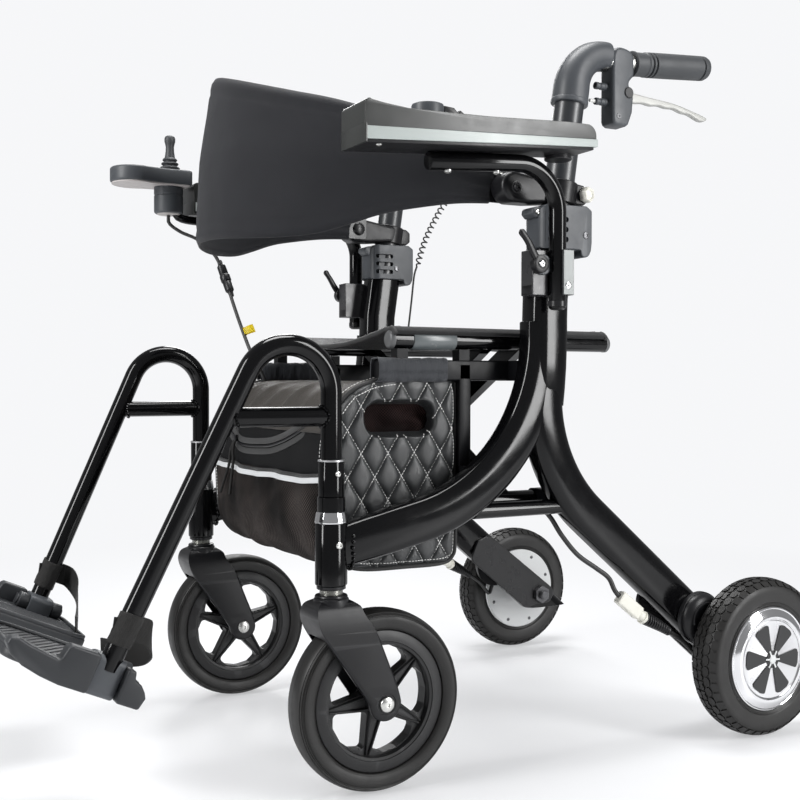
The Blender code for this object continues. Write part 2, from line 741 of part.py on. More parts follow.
def cross_arms(builder):
    """Inner arm on the left hinge, outer twin arms on the right hinge, each with its seat rail."""
    pivot = Vector((0, 0, (HINGE_Z + RAIL_Z) / 2))
    near_y = INNER_ARM_Y - ARM_PITCH
    far_y = INNER_ARM_Y + ARM_PITCH
    boss = rod(pivot + Vector((0, INNER_ARM_Y - ARM_THICK / 2, 0)),
               pivot + Vector((0, INNER_ARM_Y + ARM_THICK / 2, 0)), ARM_HEIGHT * 0.62)
    pin_bore = rod(pivot + Vector((0, near_y, 0)), pivot + Vector((0, far_y, 0)), PIVOT_PIN + GAP, 12)
    inner = union(hinge_sleeve(HINGE_X), arm_bar(INNER_ARM_Y, True), seat_rail(-HINGE_X), boss)
    inner = cut(inner, hinge_bore(HINGE_X), pin_bore)
    builder.single("cross_arm_inner", inner, "gloss_black", (HINGE_X, 0, HINGE_Z))
    pin = rod(pivot + Vector((0, near_y, 0)), pivot + Vector((0, far_y, 0)), PIVOT_PIN, 12)
    outer = union(hinge_sleeve(-HINGE_X), arm_bar(near_y, False), arm_bar(far_y, False),
                  seat_rail(HINGE_X), pin)
    outer = cut(outer, hinge_bore(-HINGE_X))
    builder.single("cross_arm_outer", outer, "gloss_black", pivot)


def caster_fork():
    eye = arc((0, WHEEL_RADIUS), FORK_EYE, 20, -150, 6)
    crown_half = 0.022
    outline = eye + [
        (-0.031, WHEEL_RADIUS + 0.015), (-0.049, WHEEL_RADIUS + 0.044), (HEAD_Y - 0.022, FORK_TOP_Z - 0.038),
        (HEAD_Y - crown_half - 0.004, FORK_TOP_Z - 0.014), (HEAD_Y - crown_half, FORK_TOP_Z),
        (HEAD_Y + crown_half, FORK_TOP_Z), (HEAD_Y + crown_half + 0.006, FORK_TOP_Z - 0.012),
        (-0.011, WHEEL_RADIUS + 0.080), (0.004, WHEEL_RADIUS + 0.044), (0.013, WHEEL_RADIUS + 0.022),
    ]
    body = soften(prism(outline, SIDE_X - FORK_HALF_WIDTH, SIDE_X + FORK_HALF_WIDTH), 0.006, 1, 50)
    front_view = [(SIDE_X + side * half, z) for side, half, z in (
        (-1, FORK_HALF_WIDTH, 0.05), (-1, FORK_HALF_WIDTH, FORK_TOP_Z - 0.052), (-1, FORK_CROWN_HALF, FORK_TOP_Z),
        (1, FORK_CROWN_HALF, FORK_TOP_Z), (1, FORK_HALF_WIDTH, FORK_TOP_Z - 0.052), (1, FORK_HALF_WIDTH, 0.05))]
    body = carve(body, "INTERSECT", [prism(front_view, -0.2, 0.2, "Y")])
    neck_top = HEAD_BOTTOM - GAP
    stem_profile = [(0, FORK_TOP_Z - 0.010), (0.0215, FORK_TOP_Z - 0.010), (0.0215, FORK_TOP_Z + 0.0055),
                    (HEAD_RADIUS - 0.003, FORK_TOP_Z + 0.0065), (HEAD_RADIUS - 0.003, neck_top),
                    (STEM_RADIUS, neck_top), (STEM_RADIUS, STEM_TOP_Z), (0, STEM_TOP_Z)]
    stem = turned(stem_profile, (SIDE_X, HEAD_Y, 0), (0, 0, 1), 20)
    inner_half = FORK_HALF_WIDTH - FORK_LEG
    clearance = turned([(0, -inner_half), (WHEEL_RADIUS + FORK_WHEEL_GAP, -inner_half),
                        (WHEEL_RADIUS + FORK_WHEEL_GAP, inner_half), (0, inner_half)],
                       FRONT_AXLE, (1, 0, 0), 40)
    bolt_hole = rod(FRONT_AXLE - Vector((0.05, 0, 0)), FRONT_AXLE + Vector((0.05, 0, 0)), AXLE_RADIUS + GAP, 12)
    return cut(union(body, stem), clearance, bolt_hole)


def front_axle():
    half = FORK_HALF_WIDTH + GAP
    end = half + AXLE_HEAD_THICK
    profile = [(0, -end), (AXLE_HEAD * 0.8, -end), (AXLE_HEAD, -half), (AXLE_RADIUS, -half),
               (AXLE_RADIUS, half), (AXLE_HEAD, half), (AXLE_HEAD * 0.8, end), (0, end)]
    return turned(profile, FRONT_AXLE, (1, 0, 0), 16)


def front_rim():
    hub_half = FORK_HALF_WIDTH - FORK_LEG - GAP
    outer = FRONT_TYRE_BORE - GAP
    ring = turned([(FRONT_RIM_INNER, -FRONT_RIM_HALF + 0.003), (FRONT_RIM_INNER + 0.006, -FRONT_RIM_HALF),
                   (outer, -FRONT_RIM_HALF), (outer, FRONT_RIM_HALF),
                   (FRONT_RIM_INNER + 0.006, FRONT_RIM_HALF), (FRONT_RIM_INNER, FRONT_RIM_HALF - 0.003)],
                  FRONT_AXLE, (1, 0, 0), 40)
    hub = rod(FRONT_AXLE - Vector((hub_half, 0, 0)), FRONT_AXLE + Vector((hub_half, 0, 0)), FRONT_HUB_RADIUS)
    spokes = []
    for number in range(SPOKES):
        angle = 2 * math.pi * number / SPOKES + SPOKE_START
        outward = Vector((0, math.cos(angle), math.sin(angle)))
        ring_points = [(-SPOKE_WIDTH / 2, -SPOKE_THICK / 4), (-SPOKE_WIDTH / 5, -SPOKE_THICK / 2),
                       (SPOKE_WIDTH / 5, -SPOKE_THICK / 2), (SPOKE_WIDTH / 2, -SPOKE_THICK / 4),
                       (SPOKE_WIDTH / 2, SPOKE_THICK / 4), (SPOKE_WIDTH / 5, SPOKE_THICK / 2),
                       (-SPOKE_WIDTH / 5, SPOKE_THICK / 2), (-SPOKE_WIDTH / 2, SPOKE_THICK / 4)]
        start = FRONT_AXLE + outward * (FRONT_HUB_RADIUS * 0.6)
        end = FRONT_AXLE + outward * (FRONT_RIM_INNER + 0.004)
        spokes.append(sweep([start, end], lambda index, points=ring_points: points, (1, 0, 0)))
    bore = rod(FRONT_AXLE - Vector((0.05, 0, 0)), FRONT_AXLE + Vector((0.05, 0, 0)), AXLE_RADIUS + GAP, 12)
    return cut(union(ring, hub, *spokes), bore)


def tyre(centre, bore, half, sides):
    """A tyre with a rounded crown, turned about its axle."""
    radius = WHEEL_RADIUS
    depth = radius - bore
    profile = [(bore, -half * 0.80), (bore + depth * 0.25, -half * 0.96), (bore + depth * 0.55, -half),
               (bore + depth * 0.82, -half * 0.84), (radius - depth * 0.04, -half * 0.48), (radius, 0),
               (radius - depth * 0.04, half * 0.48), (bore + depth * 0.82, half * 0.84),
               (bore + depth * 0.55, half), (bore + depth * 0.25, half * 0.96), (bore, half * 0.80)]
    return turned(profile, centre, (1, 0, 0), sides)


def hub_motor():
    seat = REAR_TYRE_BORE - GAP
    bore = SHAFT_RADIUS + GAP
    floor = -HUB_HALF + SHAFT_DEPTH
    profile = [(bore, -HUB_HALF), (seat - 0.006, -HUB_HALF), (seat - 0.002, -HUB_HALF + 0.003),
               (seat, -HUB_HALF + 0.004), (seat, HUB_HALF - 0.004), (seat - 0.001, HUB_HALF - 0.002),
               (HUB_FACE_RADIUS, HUB_OUTER_HALF), (0, HUB_OUTER_HALF), (0, floor), (bore, floor)]
    return turned(profile, REAR_AXLE, (1, 0, 0), 36)


def motor_shaft():
    """Fixed shaft: nut on the bracket, collar between frame and wheel, and the end in the hub."""
    plate = SIDE_X - LEG_THICK / 2 - GAP - BRACKET_THICK - REAR_WHEEL_X
    frame_face = SIDE_X + LEG_THICK / 2 + GAP - REAR_WHEEL_X
    hub_face = -HUB_HALF - GAP
    profile = [(0, plate - GAP - SHAFT_NUT_THICK), (SHAFT_NUT, plate - GAP - SHAFT_NUT_THICK),
               (SHAFT_NUT, plate - GAP), (SHAFT_RADIUS, plate - GAP), (SHAFT_RADIUS, frame_face),
               (SHAFT_COLLAR, frame_face), (SHAFT_COLLAR, hub_face), (SHAFT_RADIUS, hub_face),
               (SHAFT_RADIUS, -HUB_HALF + SHAFT_DEPTH - GAP), (0, -HUB_HALF + SHAFT_DEPTH - GAP)]
    return turned(profile, REAR_AXLE, (1, 0, 0), 16)


def motor_bracket():
    """Plate on the leg's inner face that clamps the motor shaft."""
    outer = SIDE_X - LEG_THICK / 2 - GAP
    y = WHEELBASE
    z = WHEEL_RADIUS
    outline = [(y - 0.135, z + 0.066), (y - 0.027, z - 0.022), (y - 0.008, z - 0.016), (y + 0.020, z - 0.016),
               (y + 0.030, z + 0.004), (y - 0.100, z + 0.104), (y - 0.122, z + 0.094)]
    plate = soften(prism(outline, outer - BRACKET_THICK, outer), 0.0012, 1, 60)
    hole = rod((0, WHEELBASE, WHEEL_RADIUS), (SIDE_X, WHEELBASE, WHEEL_RADIUS), SHAFT_RADIUS + GAP)
    return cut(plate, hole)


def leg_height(y):
    """Height of the rear leg's straight centre line at y."""
    return REAR_LEG_CORNER_Z - math.tan(REAR_LEG_SLOPE) * (y - REAR_TUBE_Y)


def motor_cover():
    """Domed cap on the leg's outer face over the motor's cable joint."""
    base = SIDE_X + LEG_THICK / 2 + GAP
    profile = [(0, 0), (COVER_RADIUS, 0), (COVER_RADIUS, COVER_DEPTH * 0.25),
               (COVER_RADIUS * 0.93, COVER_DEPTH * 0.65), (COVER_RADIUS * 0.75, COVER_DEPTH * 0.92),
               (COVER_RADIUS * 0.45, COVER_DEPTH), (0, COVER_DEPTH)]
    dome = turned(profile, (base, COVER_Y, leg_height(COVER_Y)), (1, 0, 0), 28)
    clear = turned([(0, -0.01), (SHAFT_COLLAR + 0.004, -0.01), (SHAFT_COLLAR + 0.004, 0.05), (0, 0.05)],
                   (base, WHEELBASE, WHEEL_RADIUS), (1, 0, 0), 16)
    return cut(dome, clear)


def handle_post():
    return tube([on_post(HANDLE_BOTTOM_Z), on_post(ELBOW_BOTTOM_Z + ELBOW_SOCKET - 0.001)], HANDLE_RADIUS, 20)


def handle_elbow():
    """Moulded bend from the post to the handlebar, with the steel stub that carries the grip."""
    path = fillet([on_post(ELBOW_BOTTOM_Z), on_post(ELBOW_END_Z), (SIDE_X, ELBOW_END_Y, ELBOW_END_Z)], ELBOW_BEND, 8)
    count = len(path) - 1

    def ring(index):
        radius = ELBOW_RADIUS + (ELBOW_END_RADIUS - ELBOW_RADIUS) * index / count
        return ellipse(2 * radius, 2 * radius, 18, 0.9)

    bend = sweep(path, ring)
    stub = rod(along_grip(-0.012), along_grip(STUB_LENGTH), STUB_RADIUS)
    socket = rod(on_post(ELBOW_BOTTOM_Z - 0.01), on_post(ELBOW_BOTTOM_Z + ELBOW_SOCKET), HANDLE_RADIUS + GAP, 20)
    return cut(union(bend, stub), socket)


def along_grip(distance):
    """A point on the grip's rising axis, measured from the elbow's end."""
    return Vector((SIDE_X, ELBOW_END_Y + distance * math.cos(GRIP_TILT), GRIP_Z + distance * math.sin(GRIP_TILT)))


def handle_grip():
    start = HOUSING_DEPTH + 0.0035
    end = start + GRIP_LENGTH
    bore = STUB_RADIUS + GAP
    floor = STUB_LENGTH + GAP
    profile = [(bore, start), (GRIP_RADIUS, start), (GRIP_RADIUS, end - 0.005), (GRIP_RADIUS - 0.004, end),
               (0, end), (0, floor), (bore, floor)]
    return turned(profile, along_grip(0), along_grip(1) - along_grip(0), 20)


def lever_pivot():
    return Vector((SIDE_X, ELBOW_END_Y + GAP + HOUSING_DEPTH * 0.62, LEVER_PIVOT_Z))


def brake_housing():
    front = ELBOW_END_Y + GAP
    rear = front + HOUSING_DEPTH
    body = box((SIDE_X - HOUSING_HALF_WIDTH, front, HOUSING_BOTTOM_Z),
               (SIDE_X + HOUSING_HALF_WIDTH, rear, HOUSING_TOP_Z))
    body = soften(body, 0.004, 1, 50)
    pivot = lever_pivot()
    slot_half = LEVER_THICK / 2 + GAP
    slot = box((SIDE_X - slot_half, front + 0.006, pivot.z - 0.020), (SIDE_X + slot_half, rear + 0.01, pivot.z + 0.030))
    bore = rod(along_grip(-0.01), along_grip(HOUSING_DEPTH + 0.02), STUB_RADIUS + GAP)
    barrels = []
    for drop in (0.008, -0.011):
        z = pivot.z + drop
        barrels.append(rod((SIDE_X, front - 0.018, z), (SIDE_X, front + 0.004, z), 0.0045, 10))
    pin = rod(pivot - Vector((HOUSING_HALF_WIDTH - 0.003, 0, 0)), pivot + Vector((HOUSING_HALF_WIDTH - 0.003, 0, 0)),
              LEVER_PIN, 10)
    hollow = cut(union(body, *barrels), slot, bore)
    return union(hollow, pin)


def brake_lever():
    pivot = lever_pivot()
    y = pivot.y
    z = pivot.z
    reach = LEVER_TIP_Y - y
    outline = [(y - 0.007, z - 0.006), (y + 0.012, z - 0.009), (y + reach * 0.30, z - 0.008),
               (y + reach * 0.62, z - 0.010), (y + reach * 0.86, z - 0.019), (y + reach * 0.97, z - 0.018),
               (y + reach, z - 0.013), (y + reach * 0.86, z - 0.006), (y + reach * 0.55, z + 0.001),
               (y + 0.016, z + 0.005), (y + 0.006, z + 0.008), (y - 0.005, z + 0.006)]
    blade = prism(outline, SIDE_X - LEVER_THICK / 2, SIDE_X + LEVER_THICK / 2)
    hole = rod(pivot - Vector((0.02, 0, 0)), pivot + Vector((0.02, 0, 0)), LEVER_PIN + GAP, 10)
    return cut(blade, hole)


def post_clamp():
    """Moulded collar on top of the frame post that grips the handle post."""
    low = POST_TOP_Z + GAP
    top = CLAMP_TOP_Z
    outline = [(CLAMP_FRONT_Y, low + 0.004), (CLAMP_FRONT_Y + 0.004, low), (CLAMP_REAR_Y - 0.020, low),
               (CLAMP_REAR_Y - 0.008, low + 0.004), (CLAMP_REAR_Y - 0.002, low + 0.012),
               (CLAMP_REAR_Y, low + 0.020), (CLAMP_REAR_Y, top - 0.010), (CLAMP_REAR_Y - 0.005, top - 0.003),
               (CLAMP_REAR_Y - 0.016, top), (CLAMP_FRONT_Y + 0.012, top), (CLAMP_FRONT_Y + 0.002, top - 0.006)]
    inner = SIDE_X - CLAMP_INNER
    outer = SIDE_X + CLAMP_OUTER
    body = soften(prism(outline, inner, outer), 0.003, 1, 60)
    for side_x, start in ((inner, 180), (outer, 270)):
        turn = 1 if side_x == inner else -1
        centre = (side_x + turn * CLAMP_FRONT_ROUND, CLAMP_FRONT_Y + CLAMP_FRONT_ROUND)
        beyond = (side_x - turn * 0.01, CLAMP_FRONT_Y - 0.01)
        corner = arc(centre, CLAMP_FRONT_ROUND, start, start + 90, 5)
        edge = [(centre[0], beyond[1]), beyond, (beyond[0], centre[1])]
        corner += edge if turn > 0 else edge[::-1]
        body = cut(body, prism(corner, low - 0.01, top + 0.01, "Z"))
    ear = box((SIDE_X - 0.010, CLAMP_FRONT_Y - 0.009, top - 0.016), (SIDE_X + 0.010, CLAMP_FRONT_Y + 0.006, top - 0.003))
    body = union(body, soften(ear, 0.003, 1, 60))
    bore = rod(on_post(low - 0.01), on_post(top + 0.01), HANDLE_RADIUS + GAP, 20)
    slots = []
    for number in range(3):
        z = low + 0.016 + number * 0.011
        y = post_y(z)
        slots.append(box((inner - 0.01, y - 0.014, z), (inner + 0.0025, y + 0.014, z + 0.004)))
        slots.append(box((outer - 0.0025, y - 0.014, z), (outer + 0.01, y + 0.014, z + 0.004)))
    return cut(body, bore, *slots)


def back_arm_inner_x():
    return BAND_HALF_WIDTH + BAND_THICK / 2 + GAP


def backrest_bracket():
    """Cuff on the handle post with a forward arm that carries the back band's pivot."""
    centre = (BACK_PIVOT_Y, BACK_PIVOT_Z)
    rear_y = post_y(BACK_PIVOT_Z)
    outline = arc(centre, BACK_ARM_RADIUS, 100, 260, 8)
    outline += [(rear_y, CUFF_BOTTOM_Z + 0.001), (rear_y + 0.006, CUFF_BOTTOM_Z + CUFF_HEIGHT - 0.003)]
    arm = soften(prism(outline, back_arm_inner_x(), back_arm_inner_x() + BACK_ARM_WIDTH), 0.004, 1, 50)
    cuff = tube([on_post(CUFF_BOTTOM_Z), on_post(CUFF_BOTTOM_Z + CUFF_HEIGHT)], CUFF_RADIUS, 20)
    bore = rod(on_post(CUFF_BOTTOM_Z - 0.02), on_post(CUFF_BOTTOM_Z + CUFF_HEIGHT + 0.02), HANDLE_RADIUS + GAP, 20)
    pin = rod((back_arm_inner_x() - BAND_THICK * 0.6, *centre), (back_arm_inner_x() + 0.008, *centre), BACK_PIN, 12)
    return union(cut(union(arm, cuff), bore), pin)


def band_stations():
    """(x, forward, inward direction, rise, drop) along the back band from left to right."""
    stations = [(BAND_HALF_WIDTH, -BAND_TAIL, 1.0, 0.0), (BAND_HALF_WIDTH, -BAND_TAIL * 0.3, 1.0, 0.0)]
    steps = 22
    for step in range(1, steps):
        angle = math.pi * step / steps
        stations.append((BAND_HALF_WIDTH * math.cos(angle), BAND_REACH * math.sin(angle),
                         math.cos(angle), math.sin(angle)))
    stations += [(-BAND_HALF_WIDTH, -BAND_TAIL * 0.3, -1.0, 0.0), (-BAND_HALF_WIDTH, -BAND_TAIL, -1.0, 0.0)]
    return stations


def back_band():
    """The wide back strap, a U that bows forward between the two pivots."""
    forward = Vector((0, -math.cos(LEAN), math.sin(LEAN)))
    upward = Vector((0, math.sin(LEAN), math.cos(LEAN)))
    downward = Vector((0, -math.sin(BAND_DROP_LEAN), -math.cos(BAND_DROP_LEAN)))
    pivot = Vector((0, BACK_PIVOT_Y, BACK_PIVOT_Z))
    mesh = bmesh.new()
    rings = []
    for x, reach, across, along in band_stations():
        base = pivot + Vector((x, 0, 0)) + forward * reach
        outward = Vector((across / BAND_HALF_WIDTH, 0, 0)) + forward * (along / BAND_REACH)
        outward.normalize()
        rise = BAND_END_RISE + BAND_TOP_RISE * min(1.0, along / BAND_FLAT) ** 2.0
        drop = BAND_END_RISE + BAND_BOTTOM_DROP * along ** 1.3
        half = outward * (BAND_THICK / 2)
        edge = 0.004
        ring = [base + upward * rise, base + half + upward * (rise - edge), base + half + downward * (drop - edge),
                base + downward * drop, base - half + downward * (drop - edge), base - half + upward * (rise - edge)]
        rings.append([mesh.verts.new(point) for point in ring])
    for ring, following in zip(rings, rings[1:]):
        for index in range(len(ring)):
            turn = (index + 1) % len(ring)
            mesh.faces.new((ring[index], ring[turn], following[turn], following[index]))
    mesh.faces.new(rings[0])
    mesh.faces.new(rings[-1])
    close_up(mesh)
    hole = rod((-0.3, BACK_PIVOT_Y, BACK_PIVOT_Z), (0.3, BACK_PIVOT_Y, BACK_PIVOT_Z), BACK_PIN + GAP, 12)
    return cut(mesh, hole)


def armrest_tube():
    drop = ARM_TUBE_RADIUS + GAP
    front = (ARM_TUBE_X, ARM_TUBE_FRONT_Y, pad_bottom(ARM_TUBE_FRONT_Y) - drop)
    corner = (ARM_TUBE_X, ARM_TUBE_Y, pad_bottom(ARM_TUBE_Y) - drop)
    foot = (ARM_TUBE_X, ARM_TUBE_Y, ARM_TUBE_BOTTOM_Z)
    return tube(fillet([front, corner, foot], ARM_TUBE_BEND, 7), ARM_TUBE_RADIUS, 14)


def armrest_pad():
    length = PAD_REAR_Y - PAD_FRONT_Y
    outline = [(PAD_FRONT_Y, PAD_FRONT_BOTTOM), (PAD_REAR_Y, PAD_REAR_BOTTOM), (PAD_REAR_Y, PAD_TOP - 0.002)]
    for share, lift in ((0.97, 0.0), (0.8, -0.002), (0.6, -0.002), (0.42, 0.001), (0.25, 0.004), (0.1, PAD_HUMP)):
        outline.append((PAD_FRONT_Y + share * length, PAD_TOP + lift))
    outline.append((PAD_FRONT_Y, PAD_TOP + PAD_HUMP - 0.004))
    return soften(prism(outline, PAD_INNER_X, PAD_INNER_X + PAD_WIDTH), 0.0035, 1, 50)


def lock_base():
    return Vector((LOCK_X, LOCK_Y, LOCK_Z))


def armrest_lever():
    """Cam lever on the outer face of the channel's front lip, with its arm up and forward."""
    base = lock_base()
    edge = LOCK_HUB_RADIUS - 0.0015
    hub = turned([(0, 0), (LOCK_HUB_RADIUS, 0), (LOCK_HUB_RADIUS, LOCK_HUB_LENGTH - 0.0015),
                  (edge, LOCK_HUB_LENGTH), (0, LOCK_HUB_LENGTH)], base, (1, 0, 0), 18)
    start = base + Vector((LOCK_HUB_LENGTH * 0.55, -0.001, 0.001))
    end = start + Vector((0, -LOCK_ARM_FORWARD, LOCK_ARM))
    arm = sweep([start, start.lerp(end, 0.55), end],
                lambda index: ellipse((0.0060, 0.0050, 0.0046)[index], (0.0042, 0.0040, 0.0042)[index], 10))
    return union(hub, arm)


def hanger_path():
    """Centre line of the bent footrest tube, from its sleeve over the top and down to the plate."""
    path = [Vector((SIDE_X, HEAD_Y, HANGER_SLEEVE_TOP - 0.01))]
    centre = (HEAD_Y - HANGER_TOP_BEND, HANGER_BEND_Z)
    for y, z in arc(centre, HANGER_TOP_BEND, 0, 180 - math.degrees(HANGER_TURN), 10):
        path.append(Vector((SIDE_X, y, z)))
    foot = Vector((HANGER_FOOT_X, PLATE_HINGE.y, PLATE_HINGE.z))
    path.append(path[-1].lerp(foot, 0.5))
    path.append(foot)
    return path


def plate_space(mesh):
    """Move a mesh from the plate's own axes (x, rearward, up) to its hinge on the hanger."""
    turn = Matrix.Rotation(-PLATE_ANGLE, 4, "X")
    move = Matrix.Translation((0, PLATE_HINGE.y, PLATE_HINGE.z))
    bmesh.ops.transform(mesh, matrix=move @ turn, verts=mesh.verts)
    return mesh


def footrest_hanger():
    path = hanger_path()
    bent = tube(path, HANGER_RADIUS, 14)
    pin_top = HEAD_TOP + COLLAR_HEIGHT + GAP
    sleeve = turned([(0, HANGER_PIN_BOTTOM), (STEM_RADIUS, HANGER_PIN_BOTTOM), (STEM_RADIUS, pin_top),
                     (HANGER_SLEEVE, pin_top), (HANGER_SLEEVE, HANGER_SLEEVE_TOP), (0, HANGER_SLEEVE_TOP)],
                    (SIDE_X, HEAD_Y, 0), (0, 0, 1), 16)
    down = (HANGER_BEND_END.z - CROSSBAR_Z) / math.tan(HANGER_SLOPE)
    lean = (SIDE_X - HANGER_FOOT_X) * (HANGER_BEND_END.z - CROSSBAR_Z) / (HANGER_BEND_END.z - PLATE_HINGE.z)
    crossbar = rod((SIDE_X - lean, HANGER_BEND_END.y - down, CROSSBAR_Z), (SIDE_X, HEAD_Y, CROSSBAR_Z),
                   CROSSBAR_RADIUS, 12)
    casting = plate_space(union(
        rod((PLATE_HINGE_X, -CASTING_HALF, 0), (PLATE_HINGE_X, CASTING_HALF, 0), CASTING_RADIUS, 14),
        box((PLATE_HINGE_X, -CASTING_HALF, -0.028), (HANGER_FOOT_X + 0.010, CASTING_HALF, 0.012))))
    pin = plate_space(rod((PLATE_HINGE_X, -CASTING_HALF - KNUCKLE_LENGTH + 0.001, 0),
                          (PLATE_HINGE_X, CASTING_HALF + KNUCKLE_LENGTH - 0.001, 0), PLATE_PIN, 10))
    return union(bent, sleeve, crossbar, casting, pin)


def footplate():
    """Tread plate with a deep outer wall and two knuckles on the hanger's hinge pin."""
    front = -PLATE_FRONT
    rear = PLATE_REAR
    notch = CASTING_HALF + GAP
    notch_x = PLATE_HINGE_X - CASTING_RADIUS - 0.004
    low = PLATE_TOP - PLATE_THICK
    edge = PLATE_OUTER_X - 0.004
    corner = PLATE_CORNER
    outline = [(edge, front + 0.012), (edge - 0.012, front + 0.003), (edge - 0.030, front),
               (PLATE_INNER_X + corner, front + 0.002), (PLATE_INNER_X + corner * 0.3, front + corner * 0.4),
               (PLATE_INNER_X, front + corner * 1.2), (PLATE_INNER_X, rear - corner),
               (PLATE_INNER_X + corner * 0.3, rear - corner * 0.3), (PLATE_INNER_X + corner, rear - 0.002),
               (edge, rear - 0.002), (edge, notch), (notch_x, notch), (notch_x, -notch), (edge, -notch)]
    plate = prism(outline, low, PLATE_TOP, "Z")
    front_wall = [(-notch, -BLOCK_BOTTOM), (-notch, BLOCK_TOP), (-notch - 0.031, BLOCK_TOP),
                  (-notch - 0.0345, BLOCK_TOP - 0.003), (-notch - 0.037, PLATE_TOP), (front + 0.022, 0.001),
                  (front + 0.010, 0.004), (front + 0.001, 0.002), (front, -0.005), (front + 0.007, -0.013),
                  (front + 0.022, -0.020), (front + 0.042, -0.0245), (front + 0.062, -BLOCK_BOTTOM)]
    rear_wall = [(notch, -BLOCK_BOTTOM), (notch, 0.0085), (notch + 0.0085, 0.0085), (notch + 0.011, 0.000),
                 (notch + 0.019, -0.003), (rear - 0.003, -0.009), (rear, -0.014), (rear - 0.003, -BLOCK_BOTTOM)]
    wall_x = PLATE_OUTER_X - PLATE_WALL
    front_block = soften(prism(front_wall, wall_x, PLATE_OUTER_X), 0.0025, 1, 50)
    rear_block = soften(prism(rear_wall, wall_x, PLATE_OUTER_X), 0.0025, 1, 50)
    knuckles = []
    for sign in (-1, 1):
        start = (PLATE_HINGE_X, sign * notch, 0)
        end = (PLATE_HINGE_X, sign * (notch + KNUCKLE_LENGTH), 0)
        knuckles.append(rod(start, end, 0.0105, 14))
    webs = []
    for first, last in ((-notch - KNUCKLE_LENGTH, -notch), (notch, notch + KNUCKLE_LENGTH)):
        webs.append(box((PLATE_HINGE_X - 0.006, first, low + 0.001), (wall_x + 0.003, last, 0.006)))
    rim = box((PLATE_INNER_X + corner, front + 0.0025, low + 0.002), (edge - 0.031, front + 0.010, 0.001))
    solid = union(plate, front_block, rear_block, rim, *webs, *knuckles)
    hole = rod((PLATE_HINGE_X, -notch - KNUCKLE_LENGTH - 0.01, 0), (PLATE_HINGE_X, notch + KNUCKLE_LENGTH + 0.01, 0),
               PLATE_PIN + GAP, 10)
    return plate_space(cut(solid, hole))


def joystick_pod():
    """Control pod on the right armrest, with the stem below it and its rod to the armrest tube."""
    lobe = arc((JOY_X, POD_FRONT_Y), POD_FRONT_RADIUS, 180, 360, 14)
    outline = lobe + [(JOY_X + POD_FRONT_RADIUS * 0.93, POD_FRONT_Y + 0.012),
                      (JOY_X + POD_HALF_WIDTH, POD_FRONT_Y + 0.030),
                      (JOY_X + POD_HALF_WIDTH, POD_REAR_Y - 0.006), (JOY_X + POD_HALF_WIDTH - 0.006, POD_REAR_Y),
                      (JOY_X - POD_HALF_WIDTH + 0.006, POD_REAR_Y), (JOY_X - POD_HALF_WIDTH, POD_REAR_Y - 0.006),
                      (JOY_X - POD_HALF_WIDTH, POD_FRONT_Y + 0.030),
                      (JOY_X - POD_FRONT_RADIUS * 0.93, POD_FRONT_Y + 0.012)]
    slab = soften(prism(outline, POD_BOTTOM_Z, POD_TOP_Z, "Z"), 0.003, 1, 60)
    stem = rod((JOY_X, STICK_Y - 0.002, POD_STEM_BOTTOM), (JOY_X, STICK_Y - 0.002, POD_TOP_Z - 0.006),
               POD_STEM_RADIUS, 20)
    rod_z = PAD_FRONT_BOTTOM - POD_ROD_RADIUS - 0.001
    rod_end = ARM_TUBE_FRONT_Y - 0.0012
    mount = tube([(JOY_X, STICK_Y + 0.006, rod_z + 0.019), (JOY_X, STICK_Y + 0.022, rod_z), (JOY_X, rod_end, rod_z)],
                 POD_ROD_RADIUS, 12)
    tube_z = pad_bottom(ARM_TUBE_FRONT_Y) - ARM_TUBE_RADIUS - GAP
    end_stop = box((JOY_X - 0.008, rod_end - 0.012, tube_z - 0.0085), (JOY_X + 0.008, rod_end, tube_z + 0.0075))
    cup = [(0, -RECESS_CUP)]
    for angle in range(-75, 1, 15):
        cup.append((RECESS_CUP * math.cos(math.radians(angle)), RECESS_CUP * math.sin(math.radians(angle))))
    cup += [(RECESS_RADIUS, 0.0), (RECESS_RADIUS, 0.01), (0, 0.01)]
    recess = turned(cup, stick_pivot(), (0, 0, 1), 24)
    well = rod((JOY_X, BUTTON_Y, POD_TOP_Z - BUTTON_WELL), (JOY_X, BUTTON_Y, POD_TOP_Z + 0.01),
               BUTTON_RADIUS + GAP, 16)
    return cut(union(slab, stem, mount, end_stop), recess, well)


def stick_pivot():
    return Vector((JOY_X, STICK_Y, POD_TOP_Z))


def joystick_gimbal():
    """Lower zone of a ball, centred on the stick's pivot inside the pod's recess."""
    low = GIMBAL_RADIUS * 0.91
    high = STICK_BALL + GAP
    profile = [(0, -low), (math.sqrt(GIMBAL_RADIUS ** 2 - low ** 2), -low)]
    for share in (0.25, 0.5, 0.75, 1.0):
        depth = low + (high - low) * share
        profile.append((math.sqrt(GIMBAL_RADIUS ** 2 - depth ** 2), -depth))
    profile.append((0, -high))
    return turned(profile, stick_pivot(), (0, 0, 1), 20)


def joystick_stick():
    """Stick with its rubber boot, on a small ball at the pivot."""
    tall = STICK_TOP - POD_TOP_Z
    profile = [(0, -STICK_BALL), (STICK_BALL * 0.6, -STICK_BALL * 0.8), (STICK_BALL, 0),
               (STICK_BALL, 0.001), (BOOT_RADIUS, 0.0035), (BOOT_RADIUS, 0.0055), (0.0105, 0.0085),
               (0.0125, 0.0105), (0.0095, 0.0145), (0.0105, 0.017), (0.0070, 0.023), (0.0058, 0.034),
               (0.0075, tall - 0.009), (0.0072, tall - 0.003), (0.0045, tall), (0, tall)]
    return turned(profile, stick_pivot(), (0, 0, 1), 20)


